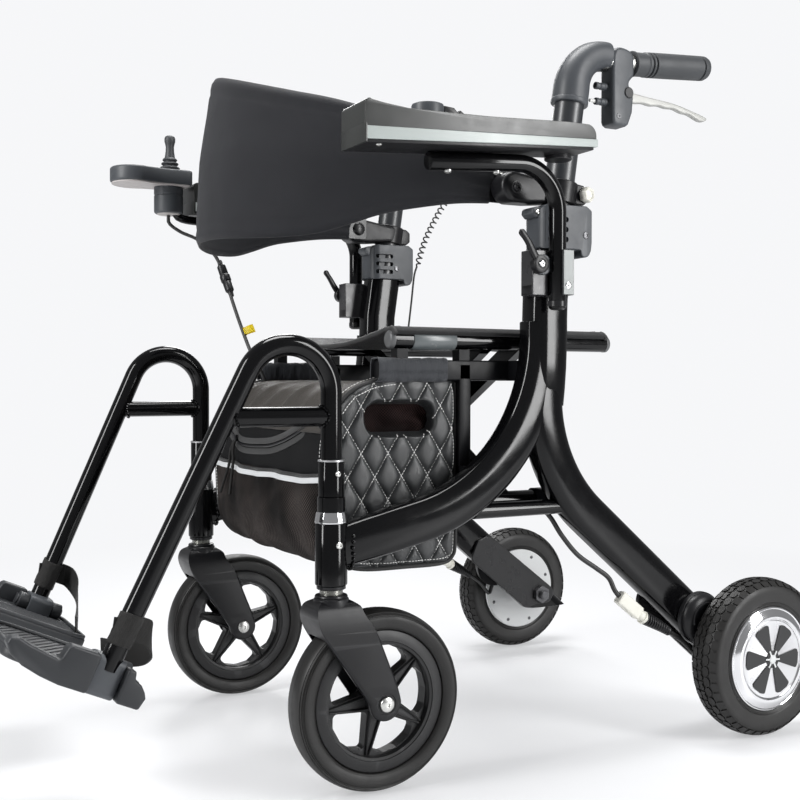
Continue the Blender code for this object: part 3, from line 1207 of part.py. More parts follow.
def power_button():
    low = POD_TOP_Z + BUTTON_PROUD - BUTTON_HEIGHT
    return turned([(0, 0), (BUTTON_RADIUS, 0), (BUTTON_RADIUS, BUTTON_HEIGHT - 0.0008),
                   (BUTTON_RADIUS - 0.0008, BUTTON_HEIGHT), (0, BUTTON_HEIGHT)],
                  (JOY_X, BUTTON_Y, low), (0, 0, 1), 16)


def seat_sling():
    """Fabric seat over the two rails, sagging between them."""
    base = RAIL_Z + RAIL_RADIUS + GAP
    crest = HINGE_X - RAIL_RADIUS - 0.0015
    spread = [-SLING_HALF_WIDTH, -crest, -0.72 * crest, -0.36 * crest, 0.0,
              0.36 * crest, 0.72 * crest, crest, SLING_HALF_WIDTH]
    columns = len(spread) - 1
    rows = 4
    mesh = bmesh.new()
    layers = []
    for lift in (0.0, SLING_THICK):
        grid = []
        for row in range(rows + 1):
            y = SLING_FRONT_Y + (SLING_REAR_Y - SLING_FRONT_Y) * row / rows
            line = []
            for column in range(columns + 1):
                x = spread[column]
                share = max(0.0, 1 - (x / crest) ** 2)
                line.append(mesh.verts.new((x, y, base + lift - SLING_SAG * share)))
            grid.append(line)
        layers.append(grid)
    bottom, top = layers
    for row in range(rows):
        for column in range(columns):
            for grid in (bottom, top):
                mesh.faces.new((grid[row][column], grid[row][column + 1],
                                grid[row + 1][column + 1], grid[row + 1][column]))
    for row in range(rows):
        for column in (0, columns):
            mesh.faces.new((bottom[row][column], bottom[row + 1][column], top[row + 1][column], top[row][column]))
    for column in range(columns):
        for row in (0, rows):
            mesh.faces.new((bottom[row][column], bottom[row][column + 1], top[row][column + 1], top[row][column]))
    return close_up(mesh)


def bag_outline(inset):
    """Side view of the bag, drawn in by inset."""
    front = BAG_FRONT_Y + inset
    rear = BAG_REAR_Y - inset
    low = BAG_BOTTOM_Z + inset
    high = BAG_TOP_Z - inset
    return [(front + 0.045, low), (rear - 0.014, low), (rear, low + 0.012), (rear, high), (front + 0.060, high),
            (front + 0.026, high - 0.016), (front + 0.006, high - 0.050), (front, high - 0.100),
            (front + 0.001, low + 0.052), (front + 0.014, low + 0.020)]


def bag():
    """Open-topped bag under the seat, with a hand slot in each side panel."""
    shell = prism(bag_outline(0.0), -BAG_HALF_WIDTH, BAG_HALF_WIDTH)
    inside = BAG_HALF_WIDTH - BAG_WALL
    hollow = prism(bag_outline(BAG_WALL), -inside, inside)
    mouth = box((-inside + BAG_MOUTH_MARGIN, BAG_FRONT_Y + 0.052, BAG_TOP_Z - 0.010),
                (inside - BAG_MOUTH_MARGIN, BAG_REAR_Y - BAG_MOUTH_MARGIN, BAG_TOP_Z + 0.010))
    slot = box((-BAG_HALF_WIDTH - 0.01, SLOT_FRONT_Y, SLOT_BOTTOM_Z),
               (BAG_HALF_WIDTH + 0.01, SLOT_REAR_Y, SLOT_TOP_Z))
    slot = soften(slot, 0.012, 2, 60)
    return cut(shell, hollow, mouth, slot)


def case_on_bag_floor(size, x):
    low_z = BAG_BOTTOM_Z + BAG_WALL + GAP
    low = (x - size[0] / 2, CASE_Y - size[1] / 2, low_z)
    high = (x + size[0] / 2, CASE_Y + size[1] / 2, low_z + size[2])
    return soften(box(low, high), 0.005, 1, 60)


def cables(builder):
    """Motor leads under the rear legs, the joystick lead and the coiled sensor lead."""
    lug_z = HINGE_Z - HINGE_SLEEVE - 0.0005
    cover_z = leg_height(COVER_Y)
    cover_x = SIDE_X + LEG_THICK / 2 + GAP + COVER_DEPTH * 0.5
    left_route = [
        (0.196, 0.2465, lug_z - MOTOR_CABLE_RADIUS - GAP), (0.197, 0.262, 0.266), (0.200, 0.290, 0.229),
        (0.204, 0.330, 0.192), (0.210, 0.372, 0.158), (0.222, 0.410, 0.124), (0.236, 0.440, 0.100),
        (cover_x, COVER_Y - 0.001, cover_z - COVER_RADIUS - 0.010),
        (cover_x, COVER_Y, cover_z - COVER_RADIUS - 0.0008),
    ]
    for side, name in ((1, "motor_cable_left"), (-1, "motor_cable_right")):
        route = [(side * x, y, z) for x, y, z in left_route]
        builder.cord(name, smooth_route(route, 0.0080), MOTOR_CABLE_RADIUS, "rubber")
    stem_y = STICK_Y - 0.002
    joystick_route = [
        (JOY_X, stem_y, POD_STEM_BOTTOM - 0.0006), (JOY_X, stem_y + 0.001, POD_STEM_BOTTOM - 0.0120),
        (-0.256, -0.070, 0.664), (-0.245, -0.046, 0.652), (-0.234, -0.026, 0.630), (-0.220, -0.016, 0.598),
        (-0.200, -0.012, 0.562), (-0.176, -0.006, 0.520), (-0.154, 0.000, 0.485), (-0.148, 0.012, 0.460),
        (-0.147, 0.022, BAG_TOP_Z - 0.012),
    ]
    builder.cord("joystick_cable", smooth_route(joystick_route, 0.0068), JOY_CABLE_RADIUS, "rubber")
    coil_x = -0.2035
    top = (coil_x, ELBOW_END_Y + GAP + HOUSING_DEPTH * 0.5, HOUSING_BOTTOM_Z - GAP)
    coil_route = [top, (coil_x, 0.350, 0.745), (coil_x, 0.330, 0.715), (coil_x, 0.306, 0.672), (coil_x, 0.290, 0.628)]
    builder.cord("brake_coil", smooth_route(coil_route, 0.0105), COIL_RADIUS, "rubber")
    coil_end = coil_route[-1]
    lead_route = [
        (coil_x, coil_end[1] - 0.0002, coil_end[2] - GAP), (coil_x, 0.2850, 0.612), (coil_x, 0.2800, 0.570),
        (coil_x, 0.2735, 0.522), (coil_x, 0.2660, 0.480), (-0.2060, 0.2570, 0.452), (-0.2120, 0.2522, 0.4400),
    ]
    builder.cord("brake_lead", smooth_route(lead_route, 0.0040), LEAD_RADIUS, "rubber")


def build():
    clear_scene()
    builder = Builder()
    caster = (SIDE_X, HEAD_Y, HEAD_BOTTOM)
    post_foot = on_post(HANDLE_BOTTOM_Z)
    builder.pair("side_frame", side_frame(), "gloss_black")
    cross_arms(builder)
    builder.pair("caster_fork", caster_fork(), "satin_black", caster)
    builder.pair("front_axle", front_axle(), "silver", FRONT_AXLE)
    builder.pair("front_rim", front_rim(), "satin_black", FRONT_AXLE)
    builder.pair("front_tyre", tyre(FRONT_AXLE, FRONT_TYRE_BORE, FRONT_TYRE_HALF, 36), "rubber", FRONT_AXLE)
    builder.pair("hub_motor", hub_motor(), "silver", REAR_AXLE)
    builder.pair("rear_tyre", tyre(REAR_AXLE, REAR_TYRE_BORE, REAR_TYRE_HALF, 36), "rubber", REAR_AXLE)
    builder.pair("motor_shaft", motor_shaft(), "steel", REAR_AXLE)
    builder.pair("motor_bracket", motor_bracket(), "satin_black", REAR_AXLE)
    builder.pair("motor_cover", motor_cover(), "satin_black", (SIDE_X, COVER_Y, leg_height(COVER_Y)))
    builder.pair("handle_post", handle_post(), "gloss_black", post_foot)
    builder.pair("handle_elbow", handle_elbow(), "charcoal", post_foot)
    builder.pair("handle_grip", handle_grip(), "rubber", post_foot)
    builder.pair("brake_housing", brake_housing(), "charcoal", post_foot)
    builder.pair("brake_lever", brake_lever(), "silver", lever_pivot())
    builder.pair("post_clamp", post_clamp(), "charcoal", on_post(POST_TOP_Z))
    builder.pair("backrest_bracket", backrest_bracket(), "charcoal", post_foot)
    builder.single("backrest_band", back_band(), "fabric", (0, BACK_PIVOT_Y, BACK_PIVOT_Z))
    builder.pair("armrest_tube", armrest_tube(), "gloss_black", (ARM_TUBE_X, ARM_TUBE_Y, ARM_TUBE_BOTTOM_Z))
    builder.pair("armrest_pad", armrest_pad(), "vinyl", (ARM_TUBE_X, ARM_TUBE_Y, ARM_TUBE_BOTTOM_Z))
    builder.pair("armrest_lever", armrest_lever(), "satin_black", lock_base())
    builder.pair("footrest_hanger", footrest_hanger(), "gloss_black", (SIDE_X, HEAD_Y, HEAD_TOP))
    builder.pair("footplate", footplate(), "charcoal", PLATE_HINGE)
    builder.single("joystick_pod", joystick_pod(), "charcoal", stick_pivot())
    builder.single("joystick_gimbal", joystick_gimbal(), "steel", stick_pivot())
    builder.single("joystick_stick", joystick_stick(), "rubber", stick_pivot())
    builder.single("power_button", power_button(), "case", (JOY_X, BUTTON_Y, POD_TOP_Z))
    builder.single("seat_sling", seat_sling(), "fabric")
    builder.single("bag", bag(), "vinyl")
    builder.single("battery_pack", case_on_bag_floor(BATTERY_SIZE, BATTERY_X), "case")
    builder.single("motor_controller", case_on_bag_floor(CONTROLLER_SIZE, CONTROLLER_X), "case")
    cables(builder)


build()
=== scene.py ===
"""The looks of a folding electric rollator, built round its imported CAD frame.

Lengths are metres. Pieces are drawn with y measured from the front wheel axle, on the user's left
side where they come in pairs, and then moved by SHIFT into the frame's own coordinates.
"""
from math import copysign, cos, degrees, dist, exp, hypot, pi, radians, sin, sqrt, tan

import bmesh
import bpy
import numpy as np
from mathutils import Matrix, Vector, noise


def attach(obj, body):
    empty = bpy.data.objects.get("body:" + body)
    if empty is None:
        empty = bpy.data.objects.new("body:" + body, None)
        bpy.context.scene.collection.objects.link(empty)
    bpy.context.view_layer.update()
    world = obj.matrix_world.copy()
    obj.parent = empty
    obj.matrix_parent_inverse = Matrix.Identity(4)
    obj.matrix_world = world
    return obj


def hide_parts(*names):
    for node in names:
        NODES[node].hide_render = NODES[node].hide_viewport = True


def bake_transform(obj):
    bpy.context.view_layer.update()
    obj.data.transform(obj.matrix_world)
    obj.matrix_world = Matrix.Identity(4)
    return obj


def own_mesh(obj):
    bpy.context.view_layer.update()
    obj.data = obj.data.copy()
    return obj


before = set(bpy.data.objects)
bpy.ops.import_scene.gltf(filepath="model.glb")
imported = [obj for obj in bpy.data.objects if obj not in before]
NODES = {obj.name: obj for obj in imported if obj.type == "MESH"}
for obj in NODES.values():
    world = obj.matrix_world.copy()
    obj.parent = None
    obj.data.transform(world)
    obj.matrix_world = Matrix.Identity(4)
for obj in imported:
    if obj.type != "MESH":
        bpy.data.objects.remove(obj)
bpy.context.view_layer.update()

SHIFT = Vector((0.0, -0.1145, 0.0))

# Places and sizes repeated from the CAD model
GAP = 0.0003
WHEEL_RADIUS = 0.1
SIDE_X = 0.218
FRONT_AXLE = Vector((SIDE_X, 0.0, WHEEL_RADIUS))
REAR_AXLE = Vector((0.277, 0.52, WHEEL_RADIUS))
HEAD_Y = -0.053
HEAD_BOTTOM = 0.23
LEAN = radians(8.4)
POST_Y = 0.2275
POST_DEPTH = 0.0515
LEAN_Z = 0.545
RAIL_X = 0.178
RAIL_Z = 0.497
RAIL_RADIUS = 0.0102
PLATE_HINGE = Vector((0.17, -0.28584, 0.16049))
PLATE_ANGLE = radians(24.5)

# The armrest's tube, and half the room that it needs
ARM_X = 0.262
ARM_Y = 0.2135
ARM_ROOM = 0.0103

# The cross brace's lower end, the motor cover, the grip and the brake housing
BRACE_Z = 0.305
COVER_Y = 0.457
GRIP_Y = 0.319
HOUSING_LONG = 0.0345

# The rear leg's start and slope
LEG_Y = 0.2225
LEG_Z = 0.3436
LEG_FALL = radians(40)
LEG_HALF = 0.017

# The armrest's pad, and the footrest hanger's slope in degrees and foot
PAD_FRONT = -0.054
PAD_LENGTH = 0.295
HANGER_SLOPE = 65.2
HANGER_FOOT_X = 0.187

# Directions
X = (1, 0, 0)
Y = (0, 1, 0)
Z = (0, 0, 1)


# Camera
CAMERA_PLACE = Vector((1.30727, -0.56164, 0.4464))
CAMERA_AZIMUTH = radians(61.446)
CAMERA_DROP = radians(0.84)
CAMERA_ROLL = radians(0.071)
CAMERA_LENS = 50.247


def place_camera():
    back = Vector((sin(CAMERA_AZIMUTH) * cos(CAMERA_DROP), -cos(CAMERA_AZIMUTH) * cos(CAMERA_DROP),
        sin(CAMERA_DROP)))
    right = Vector(Z).cross(back).normalized()
    up = back.cross(right)
    turned_right = right * cos(CAMERA_ROLL) + up * sin(CAMERA_ROLL)
    turned_up = up * cos(CAMERA_ROLL) - right * sin(CAMERA_ROLL)
    data = bpy.data.cameras.new("camera")
    data.lens = CAMERA_LENS
    data.sensor_width = 36.0
    camera = bpy.data.objects.new("camera", data)
    turn = Matrix((turned_right, turned_up, back)).transposed()
    camera.matrix_world = Matrix.Translation(CAMERA_PLACE + SHIFT) @ turn.to_4x4()
    bpy.context.scene.collection.objects.link(camera)
    bpy.context.scene.camera = camera


# Mesh tools
def post_y(z):
    return POST_Y + (z - LEAN_Z) * tan(LEAN)


def on_post(z):
    return Vector((SIDE_X, post_y(z), z))


POST_LINE = Vector((0, sin(LEAN), cos(LEAN)))


def arc(centre, radius, start, end, steps):
    points = []
    for step in range(steps + 1):
        angle = radians(start + (end - start) * step / steps)
        points.append((centre[0] + radius * cos(angle), centre[1] + radius * sin(angle)))
    return points


def mm(*numbers, at=(0, 0)):
    """Points from a row of numbers, in millimetres from a place that is in metres."""
    points = []
    for index in range(0, len(numbers), len(at)):
        shifts = numbers[index:index + len(at)]
        points.append(tuple(base + round(shift / 1000, 8) for base, shift in zip(at, shifts)))
    return points


def fillet(corners, radius, steps):
    """A path through corners with each inner corner rounded to one radius."""
    corners = [Vector(corner) for corner in corners]
    path = [corners[0]]
    for before, corner, after in zip(corners, corners[1:], corners[2:]):
        towards = (before - corner).normalized()
        onward = (after - corner).normalized()
        half = towards.angle(onward) / 2
        tangent = radius / tan(half)
        centre = corner + (towards + onward).normalized() * (radius / sin(half))
        first = corner + towards * tangent - centre
        last = corner + onward * tangent - centre
        angle = first.angle(last)
        for step in range(steps + 1):
            share = step / steps
            blend = first * sin((1 - share) * angle) + last * sin(share * angle)
            path.append(centre + blend / sin(angle))
    path.append(corners[-1])
    return path


def smooth_route(route, spacing):
    """Points at even spacing on a smooth curve through the route's own points."""
    route = [Vector(point) for point in route]
    ends = [route[0] * 2 - route[1]] + route + [route[-1] * 2 - route[-2]]
    fine = []
    for index in range(1, len(ends) - 2):
        a, b, c, d = ends[index - 1:index + 3]
        for step in range(20):
            t = step / 20
            cubic = (2 * a - 5 * b + 4 * c - d) * t * t + (3 * b - a - 3 * c + d) * t ** 3
            fine.append((2 * b + (c - a) * t + cubic) / 2)
    fine.append(route[-1])
    length = sum((q - p).length for p, q in zip(fine, fine[1:]))
    pieces = max(2, round(length / spacing))
    points = [fine[0]]
    walked = 0.0
    target = length / pieces
    for p, q in zip(fine, fine[1:]):
        stretch = (q - p).length
        while len(points) < pieces and walked + stretch >= target * len(points):
            share = (target * len(points) - walked) / stretch
            points.append(p.lerp(q, share))
        walked += stretch
    points.append(fine[-1])
    return points


def close_up(mesh):
    bmesh.ops.recalc_face_normals(mesh, faces=mesh.faces)
    return mesh


def sweep(path, section, side=X, capped=True):
    """A tube along a path. section(i) gives offsets (across, sideways) of ring i."""
    path = [Vector(point) for point in path]
    side = Vector(side)
    mesh = bmesh.new()
    rings = []
    for index, point in enumerate(path):
        ahead = path[min(index + 1, len(path) - 1)]
        behind = path[max(index - 1, 0)]
        inner = 0 < index < len(path) - 1
        along = (ahead - point).normalized() + (point - behind).normalized() if inner else ahead - behind
        along.normalize()
        sideways = (side - along * side.dot(along)).normalized()
        across = along.cross(sideways)
        stretch = 1 / max(0.5, (point - behind).normalized().dot(along)) if inner else 1.0
        ring = []
        for out, aside in section(index):
            ring.append(mesh.verts.new(point + across * out * stretch + sideways * aside))
        rings.append(ring)
    for ring, following in zip(rings, rings[1:]):
        for index in range(len(ring)):
            turn = (index + 1) % len(ring)
            mesh.faces.new((ring[index], ring[turn], following[turn], following[index]))
    if capped:
        mesh.faces.new(rings[0])
        mesh.faces.new(rings[-1])
    return close_up(mesh)


def ellipse(depth, thick, sides=32, squareness=1.0):
    ring = []
    for step in range(sides):
        angle = 2 * pi * (step + 0.5) / sides
        out = copysign(abs(cos(angle)) ** squareness, cos(angle))
        aside = copysign(abs(sin(angle)) ** squareness, sin(angle))
        ring.append((depth / 2 * out, thick / 2 * aside))
    return ring


def tube(path, radius, sides=28, side=X):
    ring = ellipse(2 * radius, 2 * radius, sides)
    return sweep(path, lambda index: ring, side)


def rod(start, end, radius, sides=28):
    direction = Vector(end) - Vector(start)
    side = X if abs(direction.x) < 0.5 * direction.length else Z
    return tube([start, end], radius, sides, side)


def turned(profile, centre, direction, sides=48):
    """A solid of revolution. profile is a closed outline of (radius, distance along)."""
    direction = Vector(direction).normalized()
    across = Vector(Z) if abs(direction.z) < 0.9 else Vector(X)
    across = (across - direction * across.dot(direction)).normalized()
    aside = direction.cross(across)
    centre = Vector(centre)
    mesh = bmesh.new()
    columns = []
    for radius, distance in profile:
        base = centre + direction * distance
        if radius < 1e-6:
            columns.append([mesh.verts.new(base)] * sides)
            continue
        column = []
        for step in range(sides):
            angle = 2 * pi * step / sides
            column.append(mesh.verts.new(base + (across * cos(angle) + aside * sin(angle)) * radius))
        columns.append(column)
    for index, here in enumerate(columns):
        there = columns[(index + 1) % len(columns)]
        for step in range(sides):
            turn = (step + 1) % sides
            corners = []
            for vert in (here[step], here[turn], there[turn], there[step]):
                if vert not in corners:
                    corners.append(vert)
            if len(corners) > 2:
                mesh.faces.new(corners)
    return close_up(mesh)


def prism(outline, low, high, axis="X"):
    """An outline extruded along X from (y, z), along Y from (x, z) or along Z from (x, y)."""
    place = {"X": lambda a, b, depth: (depth, a, b), "Y": lambda a, b, depth: (a, depth, b),
        "Z": lambda a, b, depth: (a, b, depth),}[axis]
    mesh = bmesh.new()
    bottom = [mesh.verts.new(place(a, b, low)) for a, b in outline]
    top = [mesh.verts.new(place(a, b, high)) for a, b in outline]
    for index in range(len(outline)):
        turn = (index + 1) % len(outline)
        mesh.faces.new((bottom[index], bottom[turn], top[turn], top[index]))
    mesh.faces.new(bottom)
    mesh.faces.new(top)
    return close_up(mesh)


def box(low, high):
    outline = [(low[1], low[2]), (high[1], low[2]), (high[1], high[2]), (low[1], high[2])]
    return prism(outline, low[0], high[0])


def soften(mesh, width, segments=3, sharper=30):
    edges = [edge for edge in mesh.edges if edge.calc_face_angle(0.0) > radians(sharper)]
    bmesh.ops.bevel(mesh, geom=edges, offset=width, segments=segments, affect="EDGES", profile=0.5,
        clamp_overlap=True)
    return close_up(mesh)


def joined(*meshes):
    """Several shells in one mesh."""
    whole = bmesh.new()
    for mesh in meshes:
        data = bpy.data.meshes.new("shell")
        mesh.to_mesh(data)
        mesh.free()
        whole.from_mesh(data)
        bpy.data.meshes.remove(data)
    return whole


def carve(mesh, operation, tools):
    """Union, difference or intersection with tool meshes, one after another."""
    target = loose_object("target", mesh)
    helpers = []
    for tool in tools:
        helper = loose_object("tool", tool)
        modifier = target.modifiers.new(operation, "BOOLEAN")
        modifier.operation = operation
        modifier.solver = "EXACT"
        modifier.object = helper
        helpers.append(helper)
    evaluated = target.evaluated_get(bpy.context.evaluated_depsgraph_get())
    result = bmesh.new()
    result.from_mesh(evaluated.to_mesh())
    evaluated.to_mesh_clear()
    for item in [target] + helpers:
        bpy.data.objects.remove(item, do_unlink=True)
    bmesh.ops.remove_doubles(result, verts=result.verts, dist=0.00002)
    return result


def hex_screw(place, direction, radius, height, sides=40):
    """A button head with the socket for a hexagon key."""
    head = turned([(0, -0.0006), (radius, -0.0006), (radius, height * 0.35),
        (radius * 0.86, height * 0.8), (radius * 0.62, height), (radius * 0.5, height),
        (radius * 0.47, height * 0.85), (0, height * 0.85)], place, direction, sides)
    key = turned([(0, height * 0.3), (radius * 0.46, height * 0.3), (radius * 0.46, height * 1.6),
        (0, height * 1.6)], place, direction, 6)
    return carve(head, "DIFFERENCE", [key])


def loose_object(name, mesh):
    data = bpy.data.meshes.new(name)
    mesh.to_mesh(data)
    mesh.free()
    item = bpy.data.objects.new(name, data)
    bpy.context.scene.collection.objects.link(item)
    return item


def moved(mesh, matrix):
    bmesh.ops.transform(mesh, matrix=matrix, verts=mesh.verts)
    return mesh


def mirrored(mesh):
    twin = mesh.copy()
    bmesh.ops.scale(twin, verts=twin.verts, vec=(-1, 1, 1))
    bmesh.ops.reverse_faces(twin, faces=twin.faces)
    return twin


def piece(name, mesh, material, body, node=None, slot=None, smooth=38, bevel=0.0):
    """One finished object riding on a body, which may stand for a CAD node."""
    bmesh.ops.translate(mesh, verts=mesh.verts, vec=SHIFT)
    data = bpy.data.meshes.new(name)
    mesh.to_mesh(data)
    mesh.free()
    data.shade_smooth()
    if smooth:
        data.set_sharp_from_angle(angle=radians(smooth))
    item = bpy.data.objects.new(name + "_skin" if name in NODES else name, data)
    bpy.context.scene.collection.objects.link(item)
    data.materials.append(LOOKS[material])
    if bevel:
        modifier = item.modifiers.new("edges", "BEVEL")
        modifier.width = bevel
        modifier.segments = 2
        modifier.limit_method = "ANGLE"
        modifier.angle_limit = radians(smooth or 38)
    if body:
        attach(item, body)
    if node:
        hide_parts(*([node] if isinstance(node, str) else node))
    return item


def pair(name, mesh, material, body, node=None, **options):
    """A left piece and its mirror image. {} in body and node stands for left or right."""
    twin = mirrored(mesh)
    made = []
    for side, one in (("left", mesh), ("right", twin)):
        stood_for = None
        if node:
            nodes = [node] if isinstance(node, str) else node
            stood_for = [each.format(side) for each in nodes]
        made.append(piece(f"{name}_{side}", one, material, body.format(side), stood_for, **options))
    return made


# Materials
class Graph:
    """Short hands for building a node tree."""

    def __init__(self, name):
        self.material = bpy.data.materials.new(name)
        self.material.use_nodes = True
        self.tree = self.material.node_tree
        self.shader = self.tree.nodes["Principled BSDF"]
        self.place = self.add("ShaderNodeTexCoord").outputs["Object"]

    def add(self, kind, **settings):
        node = self.tree.nodes.new(kind)
        for key, value in settings.items():
            setattr(node, key, value)
        return node

    def link(self, source, socket):
        self.tree.links.new(source, socket)

    def put(self, value, socket):
        if isinstance(value, (int, float)):
            socket.default_value = value
        elif isinstance(value, tuple):
            socket.default_value = value if len(value) == len(socket.default_value) else (*value, 1.0)
        else:
            self.link(value, socket)

    def noise(self, scale, detail=3.0, roughness=0.55, place=None, stretch=None):
        node = self.add("ShaderNodeTexNoise")
        node.inputs["Scale"].default_value = scale
        node.inputs["Detail"].default_value = detail
        node.inputs["Roughness"].default_value = roughness
        source = place or self.place
        if stretch:
            mapping = self.add("ShaderNodeMapping")
            mapping.inputs["Scale"].default_value = stretch
            self.link(source, mapping.inputs["Vector"])
            source = mapping.outputs["Vector"]
        self.link(source, node.inputs["Vector"])
        return node.outputs["Fac"]

    def maths(self, operation, a, b=None, c=None, clamp=False):
        node = self.add("ShaderNodeMath", operation=operation, use_clamp=clamp)
        for value, socket in zip((a, b, c), node.inputs):
            if value is not None:
                self.put(value, socket)
        return node.outputs["Value"]

    def range(self, value, low, high, to_low, to_high):
        node = self.add("ShaderNodeMapRange")
        self.link(value, node.inputs["Value"])
        for key, number in (("From Min", low), ("From Max", high), ("To Min", to_low),
                ("To Max", to_high)):
            node.inputs[key].default_value = number
        return node.outputs["Result"]

    def mix(self, share, a, b, blend="MIX"):
        node = self.add("ShaderNodeMix", data_type="RGBA", blend_type=blend)
        self.put(share, node.inputs["Factor"])
        self.put(a, node.inputs[6])
        self.put(b, node.inputs[7])
        return node.outputs[2]

    def bump(self, height, distance, strength=1.0, normal=None):
        node = self.add("ShaderNodeBump")
        node.inputs["Distance"].default_value = distance
        node.inputs["Strength"].default_value = strength
        self.link(height, node.inputs["Height"])
        if normal:
            self.link(normal, node.inputs["Normal"])
        return node.outputs["Normal"]

    def wear(self, low=0.52, high=0.6):
        """Near one on convex edges."""
        geometry = self.add("ShaderNodeNewGeometry")
        return self.range(geometry.outputs["Pointiness"], low, high, 0.0, 1.0)

    def finish(self, **values):
        for key, value in values.items():
            self.put(value, self.shader.inputs[key.replace("_", " ")])
        return self.material


def shade(colour, factor):
    return tuple(min(1.0, channel * factor) for channel in colour)


def solid(name, colour, roughness, metallic=0.0, coat=0.0, vary=0.18, patch=14.0, grain=900.0,
        depth=0.00002, strength=0.3, spread=0.06, edge=0.0, edge_colour=(0.25, 0.25, 0.26), dust=0.0,
        specular=0.5):
    """A moulded or painted surface: blotchy colour, uneven gloss, grain, worn edges and dust."""
    graph = Graph(name)
    blotch = graph.noise(patch, 4.0, 0.6)
    fine = graph.noise(grain, 2.0, 0.6)
    base = graph.mix(blotch, shade(colour, 1 - vary), shade(colour, 1 + vary))
    if dust:
        geometry = graph.add("ShaderNodeNewGeometry")
        split = graph.add("ShaderNodeSeparateXYZ")
        graph.link(geometry.outputs["Normal"], split.inputs[0])
        upward = graph.range(split.outputs["Z"], 0.3, 1.0, 0.0, dust)
        specks = graph.range(graph.noise(160.0, 5.0, 0.7), 0.45, 0.75, 0.2, 1.0)
        base = graph.mix(graph.maths("MULTIPLY", upward, specks), base, (0.3, 0.29, 0.28, 1.0))
    if edge:
        base = graph.mix(graph.maths("MULTIPLY", graph.wear(), edge), base, (*edge_colour, 1.0))
    gloss = graph.range(graph.noise(patch * 3.1, 5.0, 0.65), 0.3, 0.7, roughness - spread,
        roughness + spread)
    normal = graph.bump(fine, depth, strength)
    graph.finish(Base_Color=base, Roughness=gloss, Metallic=metallic, Normal=normal)
    graph.shader.inputs["Coat Weight"].default_value = coat
    graph.shader.inputs["Coat Roughness"].default_value = 0.04
    graph.shader.inputs["Specular IOR Level"].default_value = specular
    return graph.material


def hard_materials():
    return {
        "frame": solid("black_lacquer", (0.0022, 0.0022, 0.0026), 0.11, vary=0.3, grain=300.0,
            depth=0.00004, strength=0.1, spread=0.03, specular=0.27),
        "post": solid("handle_tube_coat", (0.018, 0.02, 0.023), 0.34, vary=0.25, grain=300.0,
            depth=0.00004, strength=0.1, spread=0.03, specular=0.7),
        "satin": solid("satin_black_coat", (0.009, 0.009, 0.01), 0.3, grain=1400.0, depth=0.00003,
            strength=0.35, specular=0.36),
        "nylon": solid("black_nylon_plastic", (0.004, 0.004, 0.005), 0.36, grain=1700.0, depth=0.00003,
            strength=0.3, edge=0.06, dust=0.01, specular=0.34),
        "charcoal": solid("charcoal_plastic", (0.051, 0.056, 0.063), 0.46, grain=1500.0, depth=0.00003,
            strength=0.35, edge=0.16, edge_colour=(0.22, 0.23, 0.25), dust=0.04),
        "case": solid("grey_case_plastic", (0.1, 0.1, 0.11), 0.5, grain=1500.0, depth=0.00003),
        "tyre": solid("tyre_rubber", (0.009, 0.0085, 0.008), 0.46, grain=700.0, depth=0.00006,
            strength=0.4, dust=0.02, spread=0.1, specular=0.42),
        "grip": solid("grip_rubber", (0.04, 0.043, 0.047), 0.52, grain=1300.0, depth=0.00005,
            strength=0.4),
        "cable": solid("cable_sheath", (0.016, 0.016, 0.016), 0.45, grain=900.0, depth=0.00003),
        "steel": solid("zinc_steel", (0.6, 0.6, 0.58), 0.28, metallic=1.0, grain=600.0, depth=0.00002,
            spread=0.1),
        "chrome": solid("bright_chrome", (0.7, 0.7, 0.71), 0.09, metallic=1.0, vary=0.04, spread=0.03),
        "alloy": solid("bright_alloy", (0.66, 0.66, 0.67), 0.3, metallic=1.0, vary=0.05, spread=0.06),
        "white": solid("off_white_plastic", (0.72, 0.71, 0.64), 0.42, vary=0.06, grain=1200.0),
        "clear": solid("milky_nylon", (0.66, 0.66, 0.64), 0.3, vary=0.08),
        "yellow": solid("yellow_tag", (0.8, 0.66, 0.02), 0.45, vary=0.06),
        "pad": solid("moulded_foam_skin", (0.027, 0.0285, 0.027), 0.33, grain=1100.0, depth=0.00003,
            strength=0.25, spread=0.05),
        "lever": solid("cast_lever", (0.4, 0.4, 0.38), 0.4, metallic=0.2, vary=0.05, grain=900.0,
            depth=0.00003),
        "cover": solid("pale_hub_cover", (0.6, 0.61, 0.61), 0.42, vary=0.05, metallic=0.15, grain=900.0),
        "sleeve": solid("grey_sleeve", (0.105, 0.118, 0.122), 0.26, grain=800.0, depth=0.00003,
            spread=0.04),
        "cap": solid("rail_cap_plastic", (0.09, 0.092, 0.094), 0.4, grain=900.0, depth=0.00003),
    }


def cloth_place(graph):
    """Across and along on the cloth, from the UV map in metres."""
    coords = graph.add("ShaderNodeUVMap", uv_map="metres").outputs["UV"]
    split = graph.add("ShaderNodeSeparateXYZ")
    graph.link(coords, split.inputs[0])
    return split.outputs["X"], split.outputs["Y"]


def weave(graph, pitch):
    """Plain weave height."""
    u, v = cloth_place(graph)
    across = graph.maths("SINE", graph.maths("MULTIPLY", u, 2 * pi / pitch))
    along = graph.maths("SINE", graph.maths("MULTIPLY", v, 2 * pi / pitch))
    height = graph.maths("MULTIPLY", across, along)
    return graph.maths("MULTIPLY_ADD", height, 0.5, 0.5)


